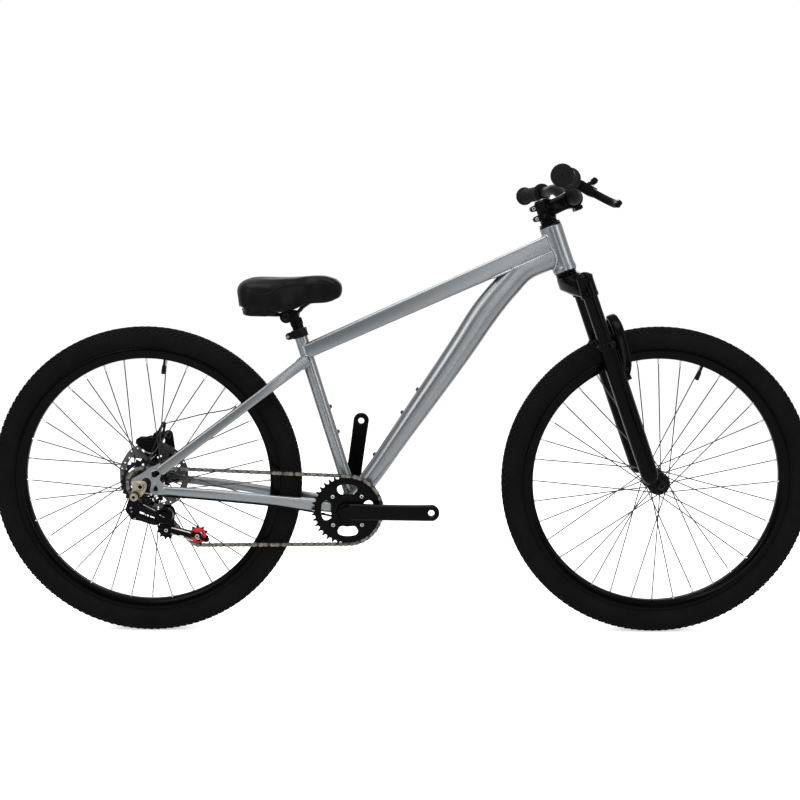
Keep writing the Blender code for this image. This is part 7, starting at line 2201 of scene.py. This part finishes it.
def barStations():
    x0, _, h = cockpit["barAt"]
    thick = cockpit["barRadius"]
    half = [
        ((x0, 0.032, h), thick), ((x0 - 0.0015, 0.048, h + 0.002), 0.0156),
        ((x0 - 0.005, 0.066, h + 0.01), 0.0146), ((x0 - 0.01, 0.094, h + 0.026), 0.0126),
        ((x0 - 0.0145, 0.116, h + 0.0335), 0.0117), ((x0 - 0.018, 0.14, h + 0.0355), 0.0112),
        ((x0 - 0.025, 0.227, h + 0.037), 0.0111), ((x0 - 0.0555, 0.349, h + 0.046), 0.0111),
    ]
    line = [(point, 2 * r, 2 * r) for point, r in reversed(half)]
    return mirroredLine([*line, ((x0, 0, h), 2 * thick, 2 * thick)])


def handlebar():
    stations = smoothStations(barStations(), 5)
    build("handlebar", "steering", [lofted(stations, across=ahead, sides=28, place=steering)], ["mattBlack"],
          ["handlebar"])


def gripFrame(way):
    end, before = [Vector(point) for point, _, _ in barStations()[::way][:2]]
    run = (end - before).normalized()
    x = (ahead - run * run.x).normalized()
    return steering @ placed(end + run * 0.006, x, run.cross(x))


def grip(hand, way):
    r, end, length = cockpit["gripRadius"], cockpit["gripEnd"], cockpit["gripLength"]
    profile = [
        (0.0001, -0.0018), (0.0016, -0.0018), (0.002, -0.0004), (0.0036, 0.0002), (0.0052, -0.0003),
        (0.015, 0.0), (end - 0.0022, -0.0002), (end - 0.0006, -0.0011), (end, -0.0028), (end, -0.0052),
        (end - 0.001, -0.0078), (end - 0.0034, -0.0108), (r, -0.015),
    ]
    ribs = 22
    low, high = 0.018, length - 0.019
    for index in range(ribs):
        start = low + (high - low) * index / ribs
        step = (high - low) / ribs
        profile += [
            (r, -start), (r + 0.0005, -start - step * 0.22), (r + 0.0005, -start - step * 0.68),
            (r, -start - step * 0.9),
        ]
    profile += [
        (r, -length + 0.017), (r + 0.0022, -length + 0.012), (end - 0.0012, -length + 0.0085),
        (end - 0.0004, -length + 0.006), (end - 0.0004, -length + 0.0016), (end - 0.002, -length),
        (0.0114, -length),
    ]
    place = gripFrame(way)
    shapes = [turned(profile, place, 48)]
    band = [
        (end - 0.0006, -length + 0.0072), (end + 0.0001, -length + 0.0068), (end + 0.0001, -length + 0.006),
        (end - 0.0006, -length + 0.0056),
    ]
    shapes.append(turned(band, place, 48, ring=True, look=1))
    build(
        f"grip{hand}", "steering", shapes, ["gripRubber", "charcoalPlastic"], [f"grip_{hand.lower()}"],
        sharp=28,
    )


leverX, leverZ = Vector((0.87535, -0.06635, -0.47892)), Vector((0.4766, -0.0482, 0.8778))
bracketFrame = placed(Vector((0.33744, -0.198, 0.99634)), leverX, leverZ.cross(leverX))
bladeFrame = placed(Vector((0.37746, -0.20404, 0.97428)), leverX, leverZ.cross(leverX))


def leverBracket():
    ring = bracketFrame @ quarterTurn
    clamp = [
        (0.0112, -0.0085), (0.0146, -0.0085), (0.0156, -0.0075), (0.0156, 0.0075), (0.0146, 0.0085),
        (0.0112, 0.0085),
    ]
    shapes = [turned(clamp, ring, 40, ring=True)]
    neck = [
        ((0.008, 0.001, 0.001), 0.016, 0.0165), ((0.022, 0, 0.0004), 0.017, 0.018),
        ((0.036, -0.001, 0.0), 0.022, 0.019), ((0.048, -0.002, -0.0006), 0.026, 0.018),
        ((0.058, -0.0035, -0.001), 0.026, 0.0135),
    ]
    shapes.append(lofted(smoothStations(neck, 4), across=left, corner=0.24, sides=28, place=bracketFrame))
    # Cover plate with a light edge, the pivot screw and the reach screw
    cover = plate(
        [[(0.012, -0.0085), (0.05, -0.012), (0.058, -0.01), (0.058, 0.006), (0.05, 0.0095), (0.014, 0.0075)]],
        0.0016, bracketFrame @ shifted(0, 0, 0.0098), 0.003, 1, 0.0005,
    )
    shapes.append(cover)
    shapes.append(socketBolt(bracketFrame @ shifted(0.046, -0.003, 0.0106), 0.004, 0.0018, 2))
    shapes.append(socketBolt(bracketFrame @ shifted(0.026, 0.001, 0.0106), 0.0024, 0.0012, 1))
    # Barrel for the cable
    start, end = Vector((0.038, 0.002, 0.005)), Vector((0.0465, 0.008, 0.0275))
    run = (end - start).normalized()
    x = run.cross(up).normalized()
    place = bracketFrame @ placed(start, x, run.cross(x))
    length = (end - start).length
    barrel = [
        (0.0001, 0), (0.0064, 0), (0.0066, length * 0.34), (0.0052, length * 0.38), (0.005, length * 0.52),
        (0.0058, length * 0.55), (0.0058, length * 0.92), (0.005, length), (0.003, length),
        (0.0026, length - 0.004), (0.0001, length - 0.004),
    ]
    shapes.append(turned(barrel, place, 28, look=0))
    shapes.append(turned(
        [
            (0.0031, length - 0.0022), (0.005, length - 0.0004), (0.0048, length + 0.0006),
            (0.0029, length + 0.0004),
        ],
        place, 24, ring=True, look=3,
    ))
    for k in range(10):
        turn = 2 * pi * k / 10
        at = Vector((0.006 * cos(turn), 0.006 * sin(turn), 0))
        shapes.append(rod(
            at + Vector((0, 0, length * 0.6)), at + Vector((0, 0, length * 0.88)), 0.0008, 6, 0, place=place,
        ))
    # Hinge and bolt of the clamp
    shapes.append(rod((-0.015, 0, -0.007), (-0.015, 0, 0.007), 0.0044, 18, 0, place=bracketFrame))
    shapes.append(socketBolt(bracketFrame @ shifted(-0.015, 0, 0.0068), 0.0034, 0.0022, 2))
    build(
        "leverBracket", "steering", shapes, ["mattBlack", "blackMetal", "brightSteel", "hangerBrass"],
        ["lever_bracket"], sharp=32,
    )


def brakeLever():
    path = [
        ((-0.004, 0.001, 0), 0.011, 0.015), ((0.006, -0.003, 0), 0.011, 0.0155),
        ((0.02, -0.009, -0.0005), 0.011, 0.0155), ((0.035, -0.019, -0.001), 0.011, 0.0155),
        ((0.047, -0.034, -0.0015), 0.0105, 0.0158), ((0.053, -0.054, -0.002), 0.0102, 0.016),
        ((0.055, -0.076, -0.0025), 0.0102, 0.016), ((0.056, -0.096, -0.003), 0.01, 0.0156),
        ((0.0562, -0.101, -0.003), 0.007, 0.011),
    ]
    shapes = [lofted(smoothStations(path, 4), across=left, corner=0.36, sides=24, place=bladeFrame)]
    shapes.append(rod((0, 0, -0.0076), (0, 0, 0.0076), 0.0034, 20, 1, place=bladeFrame))
    hole = bladeFrame @ shifted(0.055, -0.09, 0.005)
    shapes.append(turned(
        [(0.0018, 0.0), (0.0018, 0.0006), (0.003, 0.0006), (0.0032, 0.0)], hole, 20, ring=True, look=1,
    ))
    build(
        "brakeLever", "brake_lever", shapes, ["mattBlack", "blackMetal"], ["brake_lever"],
        sharp=38,
    )


steererAndCover()
stem()
faceplate()
handlebar()
grip("Left", 1)
grip("Right", -1)
leverBracket()
brakeLever()
print("cockpit made")


# Fork
fork = {"legAt": (0.025, 0.065), "stanchion": 0.0155, "socket": 0.019, "lower": 0.0192, "lowerTop": 0.169}


def legPlace(way, height=0.0):
    return steering @ shifted(fork["legAt"][0], way * fork["legAt"][1], height)


def forkCrown():
    half = [
        ((0.007, 0.027, raceHeight - 0.024), 0.047, 0.04), ((0.018, 0.049, raceHeight - 0.035), 0.041, 0.042),
        ((0.024, 0.063, raceHeight - 0.039), 0.034, 0.044),
    ]
    stations = mirroredLine([*reversed(half), ((0.001, 0, raceHeight - 0.02), 0.05, 0.036)])
    shapes = [lofted(smoothStations(stations, 5), across=ahead, corner=0.3, sides=36, place=steering)]
    race = [
        (0.0145, raceHeight - 0.03), (0.0232, raceHeight - 0.03), (0.0236, raceHeight - 0.01),
        (0.0222, raceHeight - 0.004), (0.0232, raceHeight - 0.003), (0.0232, raceHeight - 0.0006),
        (0.0222, raceHeight), (0.0145, raceHeight),
    ]
    shapes.append(turned(race, steering, 48, ring=True))
    for way in (1, -1):
        place = legPlace(way)
        r, top, low = fork["socket"], raceHeight - 0.014, raceHeight - 0.062
        socket = [
            (0.0156, low), (r - 0.001, low), (r, low + 0.0012), (r, low + 0.008), (r - 0.0005, low + 0.009),
            (r - 0.0005, top - 0.008), (r, top - 0.007), (r, top - 0.0014), (r - 0.0016, top), (0.0156, top),
        ]
        shapes.append(turned(socket, place, 44, ring=True))
        cap = [
            (0.0001, top - 0.002), (0.015, top - 0.002), (0.0152, top + 0.0012), (0.0136, top + 0.0026),
            (0.0104, top + 0.003), (0.0098, top + 0.005), (0.0088, top + 0.0058), (0.0001, top + 0.0058),
        ]
        shapes.append(turned(cap, place, 36, look=0))
        shapes.append(socketBolt(place @ shifted(0, 0, top + 0.0056), 0.0052, 0.0018, 1))
        for k in range(6):
            turn = 2 * pi * (k + 0.5) / 6
            spot = place @ shifted(0.0124 * cos(turn), 0.0124 * sin(turn), top + 0.0022)
            shapes.append(rod((0, 0, 0), (0, 0, 0.0014), 0.0013, 8, 1, place=spot))
    build(
        "forkCrown", "steering", shapes, ["glossBlack", "blackMetal"], ["fork_crown"],
        sharp=32,
    )


def stanchions():
    for hand, way in hands:
        profile = [
            (0.0001, raceHeight - 0.279), (fork["stanchion"] - 0.0004, raceHeight - 0.279),
            (fork["stanchion"], raceHeight - 0.278), (fork["stanchion"], raceHeight - 0.017),
            (0.0001, raceHeight - 0.017),
        ]
        build(
            f"stanchion{hand}", "steering", [turned(profile, legPlace(way), 44)], ["glossBlack"],
            [f"stanchion_{hand.lower()}"],
        )


def forkLowers():
    r, top, foot = fork["lower"], raceHeight - fork["lowerTop"], axleHeight + 0.024
    shapes = []
    for way in (1, -1):
        place = legPlace(way)
        leg = [
            (0.0159, top), (r + 0.0004, top), (r + 0.002, top - 0.0012), (r + 0.0022, top - 0.005),
            (r + 0.0022, top - 0.0088), (r + 0.0008, top - 0.0104), (r, top - 0.013),
            (r + 0.0002, (top + foot) / 2), (r, foot + 0.016), (r - 0.001, foot + 0.005),
            (r - 0.004, foot - 0.004), (r - 0.0092, foot - 0.009), (0.0001, foot - 0.01),
        ]
        shapes.append(turned(leg + [(0.0001, top - 0.202), (0.0159, top - 0.199)], place, 48, ring=True))
        # Dropout plate with its boss round the axle
        tab = capsule((0.042, axleHeight), (0.0265, foot + 0.02), 0.015, 0.016, 18)
        middle = onSteering((0, way * 0.0543, 0))
        shapes.append(plate([tab, circle(0.0047, 24, (0.042, axleHeight))], 0.008, middle, 0, 0, 0.0016))
        boss = [(0.0048, 0.0036), (0.0098, 0.0036), (0.0106, 0.0041), (0.0118, 0.0041), (0.0118, 0.0032)]
        face = onSteering((0.042, way * 0.0543, axleHeight))
        shapes.append(turned(boss + [(0.0048, 0.0032)], face @ flipped(-way), 36, ring=True, look=1))
        blend = [
            ((0.0262, way * 0.06, foot + 0.03), 0.026, 0.03), ((0.03, way * 0.058, foot + 0.008), 0.02, 0.03),
            ((0.036, way * 0.0553, axleHeight + 0.01), 0.009, 0.026),
        ]
        shapes.append(lofted(smoothStations(blend, 4), across=left, corner=0.4, sides=24, place=steering))
        # Thin raised line down the leg, and the wiper's ring
        spine = [
            (fork["legAt"][0] + r + 0.0002, way * fork["legAt"][1], top - 0.02),
            (fork["legAt"][0] + r + 0.0002, way * fork["legAt"][1], foot + 0.03),
        ]
        shapes.append(swept(evenly(spine, 0.03), 0.0009, left, 8, 0, steering))
        shapes.append(turned(
            [(0.0157, top + 0.0034), (0.0176, top + 0.003), (0.0186, top + 0.0004), (0.0157, top + 0.0004)],
            place, 44, ring=True, look=2,
        ))
    arch = [
        ((0.034, 0.059, top - 0.104), 0.008, 0.006), ((0.04, 0.057, top - 0.086), 0.02, 0.01),
        ((0.055, 0.053, top - 0.05), 0.026, 0.0105), ((0.063, 0.039, top + 0.012), 0.024, 0.0105),
        ((0.064, 0.021, top + 0.036), 0.022, 0.01), ((0.063, 0, top + 0.046), 0.02, 0.01),
    ]
    line = mirroredLine(arch)
    shapes.append(lofted(smoothStations(line, 5), across=ahead, corner=0.36, sides=28, place=steering))
    shapes.append(swept(
        smoothLine([(x + a / 2 - 0.001, y, z) for (x, y, z), a, _ in line], 5), 0.0012, ahead, 8, 0, steering,
    ))
    for way in (1, -1):
        for height in (-0.07, -0.088):
            web = steering @ shifted(0.045, way * 0.056, top + height)
            shapes.append(rod((-0.012, 0, 0), (0.01, 0, 0.002), 0.006, 16, 0, place=web))
    build(
        "forkLowers", "fork_lowers", shapes, ["glossBlack", "blackMetal", "mattBlack"], ["fork_lowers"],
        sharp=34,
    )


forkCrown()
stanchions()
forkLowers()
print("fork made")
